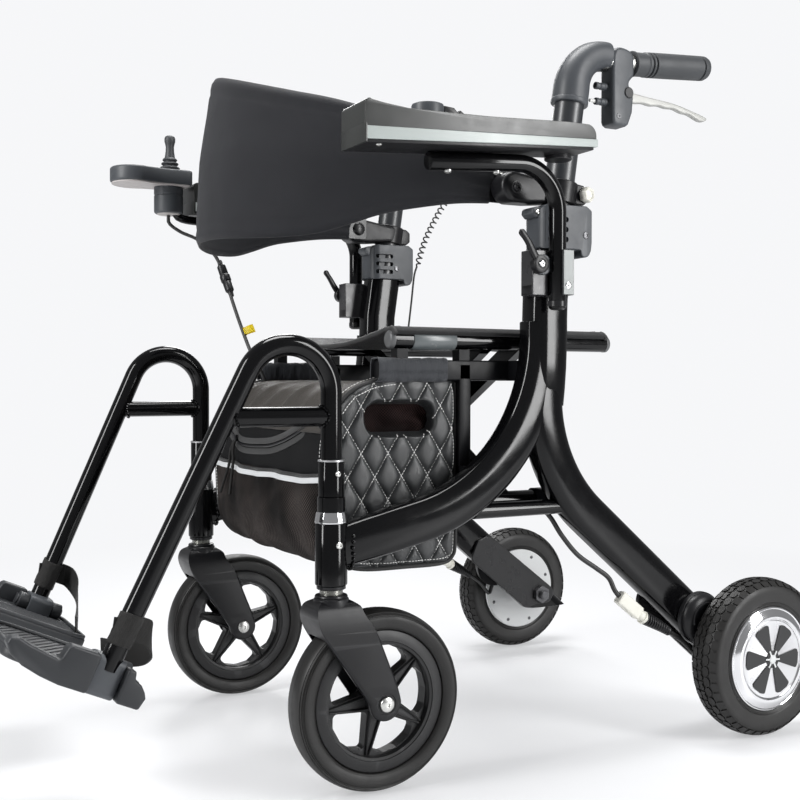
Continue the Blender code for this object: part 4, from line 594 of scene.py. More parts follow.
def fabric(name, dark, light, roughness, pitch=0.0011, depth=0.00025, sheen=0.15, patch=18.0, blotch=0.5,
        fuzz=0.4, sheen_colour=(1.0, 1.0, 1.0, 1.0), specular=0.22):
    """Woven cloth: thread pattern in colour and relief, slow colour drift and short fuzz."""
    graph = Graph(name)
    height = weave(graph, pitch)
    drift = graph.noise(patch, 4.0, 0.6)
    thread = graph.maths("MULTIPLY_ADD", height, 0.6, graph.maths("MULTIPLY", drift, blotch), clamp=True)
    base = graph.mix(thread, dark, light)
    lint = graph.noise(1800.0, 2.0, 0.7)
    rough = graph.range(lint, 0.3, 0.7, roughness - 0.08, roughness + 0.08)
    normal = graph.bump(height, depth, 0.8)
    normal = graph.bump(lint, depth * 0.5, fuzz, normal)
    graph.finish(Base_Color=base, Roughness=rough, Normal=normal)
    graph.shader.inputs["Sheen Weight"].default_value = sheen
    graph.shader.inputs["Sheen Roughness"].default_value = 0.5
    graph.shader.inputs["Sheen Tint"].default_value = sheen_colour
    graph.shader.inputs["Specular IOR Level"].default_value = specular
    return graph.material


def leather(name, colour, light, roughness):
    """Grained vinyl: small cells, pores, and a slow change of gloss."""
    cell = 520.0
    graph = Graph(name)
    cells = graph.add("ShaderNodeTexVoronoi", feature="DISTANCE_TO_EDGE")
    cells.inputs["Scale"].default_value = cell
    warp = graph.noise(cell * 0.5, 2.0)
    graph.link(graph.place, cells.inputs["Vector"])
    edge = graph.range(cells.outputs["Distance"], 0.0, 0.16, 0.0, 1.0)
    fine = graph.maths("MULTIPLY_ADD", warp, 0.5, edge)
    drift = graph.noise(22.0, 4.0, 0.6)
    base = graph.mix(graph.maths("MULTIPLY_ADD", edge, 0.35, graph.maths("MULTIPLY", drift, 0.65),
        clamp=True), colour, light)
    rough = graph.range(graph.noise(60.0, 4.0, 0.6), 0.3, 0.7, roughness - 0.07, roughness + 0.07)
    graph.finish(Base_Color=base, Roughness=rough, Normal=graph.bump(fine, 0.00018, 0.6))
    graph.shader.inputs["Specular IOR Level"].default_value = 0.62
    graph.shader.inputs["Sheen Weight"].default_value = 0.02
    return graph.material


def netting(name, hole, thread, pitch):
    """Knitted mesh: paler threads round staggered dark holes, their tone drifting in slow patches; on
    black netting the pale threads are painted highlight.
    """
    graph = Graph(name)
    u, v = cloth_place(graph)
    first = graph.maths("SINE", graph.maths("MULTIPLY", graph.maths("ADD", u, v), pi / pitch))
    second = graph.maths("SINE", graph.maths("MULTIPLY", graph.maths("SUBTRACT", u, v), pi / pitch))
    gap = graph.maths("ABSOLUTE", graph.maths("MULTIPLY", first, second))
    solid_share = graph.range(gap, 0.14, 0.34, 1.0, 0.0)
    speck = graph.range(graph.noise(900.0, 2.0), 0.35, 0.65, 0.55, 1.0)
    # slow patches of brighter thread; on the pocket's black netting these patches are painted highlight
    drift = graph.range(graph.noise(16.0, 3.0), 0.35, 0.68, 0.12, 1.1)
    tone = graph.maths("MULTIPLY", graph.maths("MULTIPLY", solid_share, speck), drift, clamp=True)
    base = graph.mix(tone, hole, thread)
    graph.finish(Base_Color=base, Roughness=0.7, Normal=graph.bump(solid_share, 0.0005, 0.8))
    graph.shader.inputs["Sheen Weight"].default_value = 0.01
    graph.shader.inputs["Specular IOR Level"].default_value = 0.06
    return graph.material


def soft_materials():
    return {
        "quilt": leather("quilted_vinyl", (0.01, 0.011, 0.012), (0.026, 0.028, 0.029), 0.37),
        "thread": fabric("white_thread", (0.8, 0.8, 0.78), (0.95, 0.95, 0.93), 0.6, 0.0006),
        "dark_thread": fabric("dark_thread", (0.03, 0.03, 0.032), (0.07, 0.07, 0.072), 0.6, 0.0006),
        "bag_black": fabric("bag_black_cloth", (0.004, 0.004, 0.0045), (0.012, 0.012, 0.0125), 0.62,
            0.0012, sheen=0.01, specular=0.07),
        "bag_grey": fabric("bag_pocket_cloth", (0.004, 0.004, 0.0045), (0.011, 0.011, 0.0115), 0.62,
            0.001, sheen=0.01, specular=0.07),
        "bag_brown": fabric("bag_flap_cloth", (0.016, 0.014, 0.012), (0.048, 0.042, 0.036), 0.42, 0.001,
            sheen=0.05, patch=9.0, blotch=0.7),
        # the pocket's netting is black: its pale thread colour and bright patches are painted highlight
        "pocket_netting_painted_highlights": netting("bag_pocket_netting_painted_highlights", (0.002, 0.0018, 0.0018), (0.12, 0.1, 0.092), 0.0042),
        "mesh_brown": netting("slot_netting", (0.003, 0.0018, 0.0018), (0.06, 0.032, 0.03), 0.0034),
        "tape": fabric("reflective_tape", (0.5, 0.51, 0.52), (0.72, 0.73, 0.74), 0.38, 0.0008, 0.0001),
        "binding": fabric("edge_binding", (0.012, 0.012, 0.012), (0.04, 0.04, 0.04), 0.58, 0.0009),
        "webbing": fabric("woven_webbing", (0.003, 0.003, 0.003), (0.03, 0.029, 0.028), 0.62, 0.0022,
            0.0005, patch=60.0, sheen=0.03),
        "wrap": fabric("bar_wrap_cloth", (0.018, 0.02, 0.023), (0.05, 0.053, 0.06), 0.56, 0.0012,
            0.0002, 0.15),
        "seat": fabric("seat_cloth", (0.006, 0.006, 0.007), (0.022, 0.022, 0.023), 0.6, 0.0013,
            0.0003, 0.08),
        "band": fabric("band_cloth", (0.006, 0.006, 0.008), (0.02, 0.021, 0.025), 0.66, 0.0013,
            0.0003, 0.1),
        "rim": solid("moulded_wheel", (0.01, 0.01, 0.0105), 0.44, grain=1500.0, depth=0.00003, dust=0.02,
            edge=0.1, specular=0.4),
        "petal": solid("black_petal", (0.01, 0.01, 0.011), 0.35, grain=900.0),
        "channel": solid("black_channel", (0.016, 0.016, 0.018), 0.3, grain=900.0, edge=0.1),
        "channel_face": solid("grey_channel_face", (0.23, 0.245, 0.24), 0.34, vary=0.08, grain=900.0),
        "pad_base": solid("pad_rail_plastic", (0.42, 0.46, 0.445), 0.34, vary=0.05, grain=900.0),
        "bracket": solid("seat_bracket_coat", (0.003, 0.0032, 0.004), 0.42, grain=1500.0, depth=0.00003,
            specular=0.2),
        "pale": solid("pale_plastic", (0.46, 0.43, 0.42), 0.44, vary=0.08, grain=1200.0),
        "plate": solid("footplate_plastic", (0.024, 0.026, 0.029), 0.46, grain=1500.0, depth=0.00004,
            dust=0.01, edge=0.07, specular=0.42),
        "dark_steel": solid("dark_screw", (0.1, 0.1, 0.105), 0.32, metallic=0.8, grain=600.0),
    }


CAD_LOOKS = {
    "side_frame": "frame",
    "post_clamp": "charcoal",
    "motor_bracket": "satin",
    "motor_cover": "nylon",
    "motor_shaft": "steel",
    "motor_cable": "cable",
    "caster_fork": "nylon",
    "front_axle": "steel",
    "front_rim": "nylon",
    "front_tyre": "tyre",
    "hub_motor": "alloy",
    "rear_tyre": "tyre",
    "handle_post": "frame",
    "handle_elbow": "charcoal",
    "handle_grip": "grip",
    "brake_housing": "charcoal",
    "brake_lever": "lever",
    "backrest_bracket": "charcoal",
    "armrest_tube": "frame",
    "armrest_pad": "pad",
    "armrest_lever": "nylon",
    "footrest_hanger": "frame",
    "footplate": "charcoal",
    "cross_arm_inner": "frame",
    "cross_arm_outer": "frame",
    "backrest_band": "pad",
    "seat_sling": "pad",
    "bag": "pad",
    "battery_pack": "case",
    "motor_controller": "case",
    "joystick_pod": "charcoal",
    "joystick_gimbal": "steel",
    "joystick_stick": "grip",
    "power_button": "case",
    "joystick_cable": "cable",
    "brake_coil": "cable",
    "brake_lead": "cable",
}


def dress_cad():
    """Every CAD node gets its material; those that a finer piece replaces are hidden later."""
    for name, item in NODES.items():
        kind = name.removesuffix("_left").removesuffix("_right")
        item.data.materials.clear()
        item.data.materials.append(LOOKS[CAD_LOOKS[kind]])


def soft_light(name, place, target, size, power, colour=(1.0, 1.0, 1.0)):
    data = bpy.data.lights.new(name, "AREA")
    data.shape = "RECTANGLE"
    data.size = size[0]
    data.size_y = size[1]
    data.energy = power
    data.color = colour
    lamp = bpy.data.objects.new(name, data)
    lamp.location = place
    lamp.rotation_mode = "QUATERNION"
    lamp.rotation_quaternion = (Vector(target) - Vector(place)).to_track_quat("-Z", "Y")
    bpy.context.scene.collection.objects.link(lamp)


def studio():
    scene = bpy.context.scene
    world = bpy.data.worlds.new("studio")
    scene.world = world
    world.use_nodes = True
    tree = world.node_tree
    background = tree.nodes["Background"]
    path = tree.nodes.new("ShaderNodeLightPath")
    white = tree.nodes.new("ShaderNodeBackground")
    white.inputs["Color"].default_value = BACKDROP
    background.inputs["Color"].default_value = (0.95, 0.97, 1.0, 1.0)
    background.inputs["Strength"].default_value = WORLD_STRENGTH
    mix = tree.nodes.new("ShaderNodeMixShader")
    glossy = tree.nodes.new("ShaderNodeMath")
    glossy.operation = "MULTIPLY"
    glossy.inputs[1].default_value = GLOSSY_BACKDROP
    tree.links.new(path.outputs["Is Glossy Ray"], glossy.inputs[0])
    seen = tree.nodes.new("ShaderNodeMath")
    seen.operation = "MAXIMUM"
    tree.links.new(path.outputs["Is Camera Ray"], seen.inputs[0])
    tree.links.new(path.outputs["Is Transmission Ray"], seen.inputs[1])
    shown = tree.nodes.new("ShaderNodeMath")
    shown.operation = "MAXIMUM"
    tree.links.new(seen.outputs[0], shown.inputs[0])
    tree.links.new(glossy.outputs[0], shown.inputs[1])
    tree.links.new(shown.outputs[0], mix.inputs[0])
    tree.links.new(background.outputs[0], mix.inputs[1])
    tree.links.new(white.outputs[0], mix.inputs[2])
    tree.links.new(mix.outputs[0], tree.nodes["World Output"].inputs["Surface"])
    scene.view_settings.view_transform = "Standard"
    floor()
    for name, place, target, size, power in LAMPS:
        soft_light(name, place, target, size, power)


def floor():
    """White paper that takes the shadow near by and glows into the backdrop further off."""
    mesh = bmesh.new()
    bmesh.ops.create_grid(mesh, x_segments=1, y_segments=1, size=14.0)
    data = bpy.data.meshes.new("floor")
    mesh.to_mesh(data)
    mesh.free()
    item = bpy.data.objects.new("floor", data)
    bpy.context.scene.collection.objects.link(item)
    graph = Graph("pale_floor")
    cloudy = graph.noise(1.2, 3.0)
    smear = graph.range(graph.noise(9.0, 5.0, 0.7, stretch=(1.0, 3.0, 1.0)), 0.35, 0.75, 0.985, 1.0)
    tone = graph.mix(cloudy, (0.84, 0.85, 0.87), (0.9, 0.9, 0.91))
    tone = graph.mix(graph.maths("SUBTRACT", 1.0, smear), tone, (0.5, 0.5, 0.5))
    graph.finish(Base_Color=tone, Roughness=0.45)
    glow = graph.add("ShaderNodeEmission")
    glow.inputs["Color"].default_value = BACKDROP
    length = graph.add("ShaderNodeVectorMath", operation="LENGTH")
    graph.link(graph.place, length.inputs[0])
    share = graph.range(length.outputs["Value"], 0.5, 1.9, FLOOR_GLOW_NEAR, 1.0)
    path = graph.add("ShaderNodeLightPath")
    seen = graph.maths("MAXIMUM", path.outputs["Is Camera Ray"], path.outputs["Is Transmission Ray"])
    glossy = graph.maths("MULTIPLY", path.outputs["Is Glossy Ray"], GLOSSY_BACKDROP)
    share = graph.maths("MULTIPLY", share, graph.maths("MAXIMUM", seen, glossy))
    mix = graph.add("ShaderNodeMixShader")
    graph.link(share, mix.inputs[0])
    graph.link(graph.shader.outputs[0], mix.inputs[1])
    graph.link(glow.outputs[0], mix.inputs[2])
    graph.link(mix.outputs[0], graph.tree.nodes["Material Output"].inputs["Surface"])
    data.materials.append(graph.material)


BACKDROP = (0.925, 0.93, 0.945, 1.0)
WORLD_STRENGTH = 0.16
GLOSSY_BACKDROP = 0.2
FLOOR_GLOW_NEAR = 0.45
LAMPS = (
    ("left_box", (0.15, -2.1, 1.4), (0.0, -0.1, 0.45), (0.42, 1.6), 44.0),
    ("right_box", (2.0, 1.2, 1.15), (0.0, 0.1, 0.45), (0.5, 1.8), 50.0),
    ("top_box", (-0.2, 0.1, 2.6), (0.0, 0.0, 0.4), (1.4, 0.8), 50.0),
    ("back_box", (-1.9, 0.6, 1.6), (0.0, 0.0, 0.5), (0.5, 1.6), 20.0),
)


# Wheels
def smooth_outline(points, steps=8, closed=False):
    """Points of a rounded 2-D line through the given ones."""
    count = len(points)
    found = []
    spans = count if closed else count - 1
    for index in range(spans):
        if closed:
            a, b, c, d = (points[(index + move) % count] for move in (-1, 0, 1, 2))
        else:
            a, b, c, d = (points[min(max(index + move, 0), count - 1)] for move in (-1, 0, 1, 2))
        for step in range(steps):
            t = step / steps
            spot = []
            for axis in (0, 1):
                p, q, r, s = a[axis], b[axis], c[axis], d[axis]
                cubic = (2 * p - 5 * q + 4 * r - s) * t * t + (3 * q - p - 3 * r + s) * t ** 3
                spot.append((2 * q + (r - p) * t + cubic) / 2)
            found.append(tuple(spot))
    if not closed:
        found.append(tuple(points[-1]))
    return found


def round_corners(points, radius, steps=6):
    """A closed 2-D outline with every corner rounded."""
    found = []
    count = len(points)
    for index in range(count):
        before = Vector(points[index - 1])
        corner = Vector(points[index])
        after = Vector(points[(index + 1) % count])
        towards = before - corner
        onward = after - corner
        half = towards.angle(onward) / 2
        reach = min(radius / tan(half), towards.length * 0.49, onward.length * 0.49)
        own = reach * tan(half)
        first = corner + towards.normalized() * reach
        last = corner + onward.normalized() * reach
        centre = corner + (towards.normalized() + onward.normalized()).normalized() * (own / sin(half))
        for step in range(steps + 1):
            share = step / steps
            spot = (first - centre).lerp(last - centre, share).normalized() * own + centre
            found.append((spot.x, spot.y))
    return found


def tyre_profile(bore, half, grooves=(), groove_width=0.0005, groove_depth=0.0008, inset=0.0):
    """Half-round tyre section as (radius, across) with fine grooves at chosen radii on both sides."""
    depth = WHEEL_RADIUS - bore
    base = [(bore, half * 0.8), (bore + depth * 0.1, half * 0.9), (bore + depth * 0.3, half * 0.975),
        (bore + depth * 0.55, half), (bore + depth * 0.74, half * 0.925), (bore + depth * 0.88,
        half * 0.74), (WHEEL_RADIUS - depth * 0.035, half * 0.44), (WHEEL_RADIUS, 0.0)]
    line = smooth_outline(base, 10)
    side = []
    for index, (radius, across) in enumerate(line):
        ahead = line[min(index + 1, len(line) - 1)]
        behind = line[max(index - 1, 0)]
        slope = Vector((ahead[0] - behind[0], ahead[1] - behind[1])).normalized()
        inward = Vector((-slope.y, slope.x)) * -1 if slope.x >= 0 else Vector((slope.y, -slope.x))
        sunk = inset
        for at in grooves:
            if abs(radius - at) < groove_width:
                sunk += groove_depth
        side.append((radius - abs(inward.x) * sunk, across - copysign(abs(inward.y) * sunk, across)))
    other = [(radius, -across) for radius, across in reversed(side[:-1])]
    return side + other


def tyre_line(bore, half):
    """Arc-length table of the tread surface: distance from the crown, radius, across, outward."""
    depth = WHEEL_RADIUS - bore
    base = [(WHEEL_RADIUS, 0.0), (WHEEL_RADIUS - depth * 0.035, half * 0.44),
        (bore + depth * 0.88, half * 0.74), (bore + depth * 0.74, half * 0.925),
        (bore + depth * 0.55, half), (bore + depth * 0.3, half * 0.975)]
    line = smooth_outline(base, 12)
    walked = 0.0
    table = []
    for index, spot in enumerate(line):
        if index:
            walked += dist(spot, line[index - 1])
        ahead = line[min(index + 1, len(line) - 1)]
        behind = line[max(index - 1, 0)]
        slope = Vector((ahead[0] - behind[0], ahead[1] - behind[1])).normalized()
        table.append((walked, spot[0], spot[1], slope.y, -slope.x))
    return np.array(table)


def on_tread(table, angle, across, lift, centre):
    """A point of the tread surface; across is the signed distance from the crown line."""
    row = [np.interp(abs(across), table[:, 0], table[:, column]) for column in range(1, 5)]
    sign = 1 if across >= 0 else -1
    radius = row[0] + row[2] * lift
    aside = sign * (row[1] + row[3] * lift)
    return centre + Vector((aside, radius * cos(angle), radius * sin(angle)))


def tread_blocks(table, shape, rows, count, centre, depth, shrink=0.0004):
    """Lugs: an outline of (turn, across) repeated count times round the tyre for each row."""
    mesh = bmesh.new()
    for offset, across, flip in rows:
        for number in range(count):
            foot = []
            crown = []
            middle = Vector((sum(p[0] for p in shape), sum(p[1] for p in shape))) / len(shape)
            for turn, aside in shape:
                spread = Vector((turn, aside)) - middle
                tight = spread * (1 - shrink / max(spread.length, 1e-6))
                for verts, spot, lift in ((foot, spread, -depth), (crown, tight, 0.0)):
                    turned_by = ((spot.x + middle.x) * flip + offset + number) * 2 * pi / count
                    place = on_tread(table, turned_by, across + (spot.y + middle.y) * flip, lift, centre)
                    verts.append(mesh.verts.new(place))
            for index in range(len(shape)):
                turn = (index + 1) % len(shape)
                mesh.faces.new((foot[index], foot[turn], crown[turn], crown[index]))
            mesh.faces.new(crown)
    return close_up(mesh)


FRONT_BORE = 0.0785
FRONT_HALF = 0.019
REAR_BORE = 0.0663
REAR_HALF = 0.0235
TREAD_DEPTH = 0.0022
TREAD_COUNT = 46


def front_rim(turn):
    """A five-spoked front wheel body, each spoke two ribs that draw together towards the rim."""
    outer = FRONT_BORE - GAP
    inner = 0.061
    half = 0.0145
    ring = turned([(inner, -half + 0.004), (inner + 0.001, -half + 0.0015),
        (inner + 0.004, -half + 0.001), (inner + 0.0045, -half), (outer - 0.0018, -half),
        (outer - 0.0008, -half + 0.0008), (outer, -half + 0.002), (outer, half - 0.002),
        (outer - 0.0008, half - 0.0008), (outer - 0.0018, half), (inner + 0.0045, half), (inner + 0.004,
        half - 0.001), (inner + 0.001, half - 0.0015), (inner, half - 0.004)], FRONT_AXLE, X, 128)
    web_half = 0.0068
    web = turned([(0.005, -web_half), (inner + 0.002, -web_half), (inner + 0.002, web_half),
        (0.005, web_half)], FRONT_AXLE, X, 128)
    windows = []
    ribs = []
    for number in range(5):
        spoke = 2 * pi * number / 5 + turn
        middle = spoke + pi / 5
        corners = []
        for offset, radius in ((0.0, 0.0175), (0.545, 0.055), (0.3, 0.0595), (0.0, 0.0605),
                (-0.3, 0.0595), (-0.545, 0.055)):
            corners.append((radius * cos(middle + offset), WHEEL_RADIUS + radius * sin(middle + offset)))
        outline = round_corners(corners, 0.0048, 5)
        windows.append(prism(outline, SIDE_X - 0.03, SIDE_X + 0.03))
        outward = Vector((0, cos(spoke), sin(spoke)))
        aside = Vector((0, -sin(spoke), cos(spoke)))
        for face in (-1, 1):
            for edge in (-1, 1):
                path = []
                for radius, spread in ((0.013, 0.007), (0.028, 0.0056), (0.044, 0.0038), (0.06, 0.0016)):
                    path.append(FRONT_AXLE + outward * radius + aside * edge * spread
                        + Vector((face * (web_half + 0.0004), 0, 0)))
                path = smooth_route(path, 0.004)
                ribs.append(sweep(path, lambda index: ellipse(0.0027, 0.0058, 14), X))
    web = carve(web, "DIFFERENCE", windows)
    hub_half = 0.0222
    hub = turned([(0.0043, -hub_half), (0.0125, -hub_half), (0.014, -hub_half + 0.0015),
        (0.0155, -0.0075), (0.0155, 0.0075), (0.014, hub_half - 0.0015), (0.0125, hub_half),
        (0.0043, hub_half)], FRONT_AXLE, X, 64)
    return joined(ring, web, hub, *ribs)


def front_wheels():
    grooves = (0.08, 0.093, 0.0948, 0.0966)
    carcass = turned(tyre_profile(FRONT_BORE, FRONT_HALF, grooves), FRONT_AXLE, X, 128)
    pair("front_tyre", carcass, "tyre", "front_wheel_{}", "front_tyre_{}", slot="tyre", smooth=50)
    for side, turn in (("left", 41), ("right", 18)):
        rim = front_rim(radians(turn))
        if side == "right":
            rim = mirrored(rim)
        piece(f"front_rim_{side}", rim, "rim", f"front_wheel_{side}", f"front_rim_{side}",
            slot="black_plastic", bevel=0.0005, smooth=40)
    end = 0.0285 + GAP
    head = [(0, -end - 0.0016), (0.0022, -end - 0.0016), (0.0026, -end - 0.003), (0.0052, -end - 0.0028),
        (0.0078, -end - 0.0017), (0.0085, -end - 0.0004), (0.0085, -end), (0.004, -end)]
    profile = head + [(radius, -across) for radius, across in reversed(head)]
    pair("front_axle", turned(profile, FRONT_AXLE, X, 48), "steel", "caster_{}", "front_axle_{}",
        slot="steel", smooth=30)


def forks():
    head = (SIDE_X, HEAD_Y, 0)
    top_z = 0.214
    eye = arc((0, WHEEL_RADIUS), 0.019, 14, -152, 16)
    trail = smooth_outline([(-0.0185, WHEEL_RADIUS), (-0.03, WHEEL_RADIUS + 0.017),
        (-0.049, WHEEL_RADIUS + 0.044), (-0.0655, WHEEL_RADIUS + 0.067), (-0.0755, WHEEL_RADIUS + 0.084),
        (-0.079, WHEEL_RADIUS + 0.098), (-0.0765, WHEEL_RADIUS + 0.109), (-0.07, top_z)], 5)
    lead = smooth_outline([(HEAD_Y + 0.017, top_z), (HEAD_Y + 0.0255, top_z - 0.006),
        (-0.0235, WHEEL_RADIUS + 0.098), (-0.011, WHEEL_RADIUS + 0.08), (0.004, WHEEL_RADIUS + 0.044),
        (0.013, WHEEL_RADIUS + 0.022), (0.0184, WHEEL_RADIUS + 0.0047)], 5)
    half = 0.0285
    body = soften(prism(eye[1:] + trail[1:] + lead[:-1], SIDE_X - half, SIDE_X + half), 0.0055, 4, 60)
    front_view = []
    for side in (-1, 1):
        line = smooth_outline([(0.0285, 0.05), (0.0285, 0.12), (0.0285, 0.15), (0.0281, 0.17),
            (0.0268, 0.187), (0.024, 0.2), (0.0195, 0.209), (0.012, top_z)], 6)
        line = [(SIDE_X + side * out, z) for out, z in line]
        front_view += line if side < 0 else list(reversed(line))
    body = carve(body, "INTERSECT", [prism(front_view, -0.2, 0.2, "Y")])
    inner = 0.0225
    reach = WHEEL_RADIUS + 0.0035
    clearance = turned([(0, -inner), (reach - 0.004, -inner), (reach - 0.001, -inner + 0.002),
        (reach, -inner + 0.006), (reach, inner - 0.006), (reach - 0.001, inner - 0.002),
        (reach - 0.004, inner), (0, inner)], FRONT_AXLE, X, 96)
    recess = turned(mm(0, 27.9, 11, 27.9, 11.8, 29, 11.8, 40, 0, 40), FRONT_AXLE, X, 48)
    body = carve(body, "DIFFERENCE", [clearance, recess])
    neck = HEAD_BOTTOM - GAP
    crown = turned(mm(0, -10, 19.5, -10, 20.5, -6, 19, 1.2, 17, 3, 0, 3, at=(0, top_z)), head, Z, 64)
    pair("caster_fork", joined(body, crown), "nylon", "caster_{}", "caster_fork_{}", slot="black_plastic",
        bevel=0.0009, smooth=32)
    core = 0.0118
    washer_low = neck - 0.0042
    thread = [(0, top_z + 0.0025), (core, top_z + 0.0025)]
    turns = 9
    for number in range(turns):
        low = top_z + 0.003 + number * (neck - 0.0045 - top_z - 0.003) / turns
        thread += [(core, low), (0.0126, low + 0.0006)]
    thread += [(core, washer_low), (0, washer_low)]
    washer = [(0, washer_low), (0.015, washer_low), (0.0158, washer_low + 0.0006),
        (0.0158, neck - 0.0006), (0.015, neck), (0, neck)]
    seal = mm(0, 2.8, 17.2, 2.8, 18, 3.6, 17.2, 5.2, 14, 6.2, 0, 6.2, at=(0, top_z))
    pair("caster_neck", turned(thread, head, Z, 56), "steel", "caster_{}", smooth=20)
    pair("caster_washer", joined(turned(washer, head, Z, 56), turned(seal, head, Z, 56)), "satin",
        "caster_{}", smooth=30)


def rear_wheels():
    carcass = turned(tyre_profile(REAR_BORE, REAR_HALF, (0.07, 0.0715), 0.0004, 0.0006,
        TREAD_DEPTH * 0.75), REAR_AXLE, X, 144)
    table = tyre_line(REAR_BORE, REAR_HALF)
    wide = 0.43
    shoulder = [(-wide, -0.003), (-wide * 0.8, 0.0042), (wide * 0.75, 0.0042), (wide, -0.003),
        (wide * 0.55, -0.0046), (-wide * 0.55, -0.0046)]
    middle = [(-0.44, -0.0014), (-0.2, -0.0042), (0.2, -0.004), (0.44, -0.0012), (0.42, 0.0022),
        (0.18, 0.0044), (-0.18, 0.0042), (-0.42, 0.002)]
    centre = [(-0.42, -0.003), (-0.12, -0.004), (0.12, -0.0016), (0.42, -0.0026), (0.42, 0.0026),
        (0.12, 0.004), (-0.12, 0.0016), (-0.42, 0.0034)]
    lugs = joined(
        tread_blocks(table, centre, [(0.0, 0.0, 1)], TREAD_COUNT, REAR_AXLE, TREAD_DEPTH),
        tread_blocks(table, middle, [(0.5, 0.0092, 1), (0.0, -0.0092, -1)], TREAD_COUNT, REAR_AXLE,
            TREAD_DEPTH),
        tread_blocks(table, shoulder, [(0.0, 0.0192, 1), (0.5, -0.0192, -1)], TREAD_COUNT, REAR_AXLE,
            TREAD_DEPTH),
    )
    pair("rear_tyre", joined(carcass, lugs), "tyre", "rear_wheel_{}", "rear_tyre_{}",
        slot="tyre", smooth=34)
    seat = REAR_BORE - GAP
    drum = turned([(0.0083, -0.0225), (0.02, -0.0225), (0.021, -0.0215), (0.05, -0.0215),
        (0.0515, -0.0225), (seat - 0.004, -0.0225), (seat - 0.0015, -0.02), (seat, -0.0185),
        (seat, 0.0185), (seat - 0.0008, 0.0204), (seat - 0.0022, 0.0212), (seat - 0.0034, 0.0206),
        (seat - 0.0046, 0.0212), (0.0555, 0.0244), (0.053, 0.025), (0.0512, 0.0247), (0.0505, 0.0238),
        (0.0496, 0.0234), (0.049, 0.02), (0.0083, 0.02)], REAR_AXLE, X, 144)
    pair("hub_ring", drum, "chrome", "rear_wheel_{}", "hub_motor_{}", slot="hub_silver", smooth=24)
    disc = turned(mm(0, 19.5, 49.2, 19.5, 49.2, 23, 48.4, 23.6, 13, 23.6, 12, 24, 0, 24),
        REAR_AXLE, X, 96)
    pair("hub_disc", disc, "alloy", "rear_wheel_{}", smooth=24)
    hub_faces()
    shaft_low = SIDE_X - LEG_HALF - GAP - 0.005 - REAR_AXLE.x
    frame_face = SIDE_X + LEG_HALF + GAP - REAR_AXLE.x
    shaft = [(0, shaft_low - 0.015), (0.006, shaft_low - 0.015), (0.0076, shaft_low - 0.0135),
        (0.008, shaft_low - 0.007), (0.008, frame_face), (0.012, frame_face),
        (0.012, frame_face + 0.0016), (0.0104, frame_face + 0.002), (0.0104, -0.0234), (0.012, -0.0231),
        (0.012, -0.0228), (0, -0.0228)]
    nut_high = shaft_low - GAP
    nut_low = shaft_low - GAP - 0.007
    nut = [(0, nut_low), (0.0145, nut_low), (0.0145, nut_high), (0, nut_high)]
    pair("motor_shaft", joined(turned(shaft, REAR_AXLE, X, 48), turned(nut, REAR_AXLE, X, 6)),
        "dark_steel", "{}_side", "motor_shaft_{}", slot="steel", bevel=0.0006, smooth=30)


def hub_faces():
    """Six black petals round a silver star outside, a pale screwed cover inside."""
    centre = (REAR_AXLE.y, REAR_AXLE.z)
    low = REAR_AXLE.x + 0.022
    petals = []
    rays = []
    for number in range(6):
        turn = radians(60 * number + 56)
        corners = []
        for angle, radius in ((-0.285, 0.044), (-0.14, 0.0453), (0.14, 0.0453), (0.285, 0.044),
                (0.32, 0.009), (-0.32, 0.009)):
            corners.append((centre[0] + radius * cos(turn + angle),
                centre[1] + radius * sin(turn + angle)))
        petals.append(prism(round_corners(corners, 0.0028, 6), low, REAR_AXLE.x + 0.0246))
        out = Vector((cos(turn), sin(turn)))
        side = Vector((-out.y, out.x)) * 0.0011
        middle = Vector(centre)
        spots = (middle + side, middle + out * 0.0118 + side, middle + out * 0.0118 - side, middle - side)
        rays.append(prism([tuple(spot) for spot in spots], low, REAR_AXLE.x + 0.0252))
    petals.append(turned(mm(0, 22, 11, 22, 11, 24.6, 0, 24.6), REAR_AXLE, X, 48))
    pair("hub_petals", joined(*petals), "petal", "rear_wheel_{}", smooth=30)
    rays.append(turned(mm(0, 22, 5.6, 22, 5.6, 25.2, 4.6, 26, 0, 26.2), REAR_AXLE, X, 40))
    pair("hub_star", joined(*rays), "cover", "rear_wheel_{}", smooth=30)
    cover = turned(mm(9.2, -20.5, 9.2, -23, 40, -23, 64, -22.6, 65.5, -21.4, 65.5, -20.5),
        REAR_AXLE, X, 128)
    pair("hub_cover", cover, "cover", "rear_wheel_{}", smooth=30)
    screws = []
    for number in range(8):
        turn = radians(45 * number + 20)
        spot = REAR_AXLE + Vector((-0.0226, 0.056 * cos(turn), 0.056 * sin(turn)))
        screws.append(hex_screw(spot, (-1, 0, 0), 0.0028, 0.0012, 20))
    pair("cover_screws", joined(*screws), "dark_steel", "rear_wheel_{}", smooth=28)


# Frame
LEG = (0.05, 0.034)
LEG_TOP = 0.52


def leg_height(y):
    return LEG_Z - tan(LEG_FALL) * (y - LEG_Y)


def sliced(mesh, place, normal):
    """The part of a mesh behind a plane, closed again."""
    whole = list(mesh.verts) + list(mesh.edges) + list(mesh.faces)
    bmesh.ops.bisect_plane(mesh, geom=whole, plane_co=place, plane_no=normal, clear_outer=True)
    bmesh.ops.holes_fill(mesh, edges=[edge for edge in mesh.edges if edge.is_boundary], sides=0)
    return close_up(mesh)


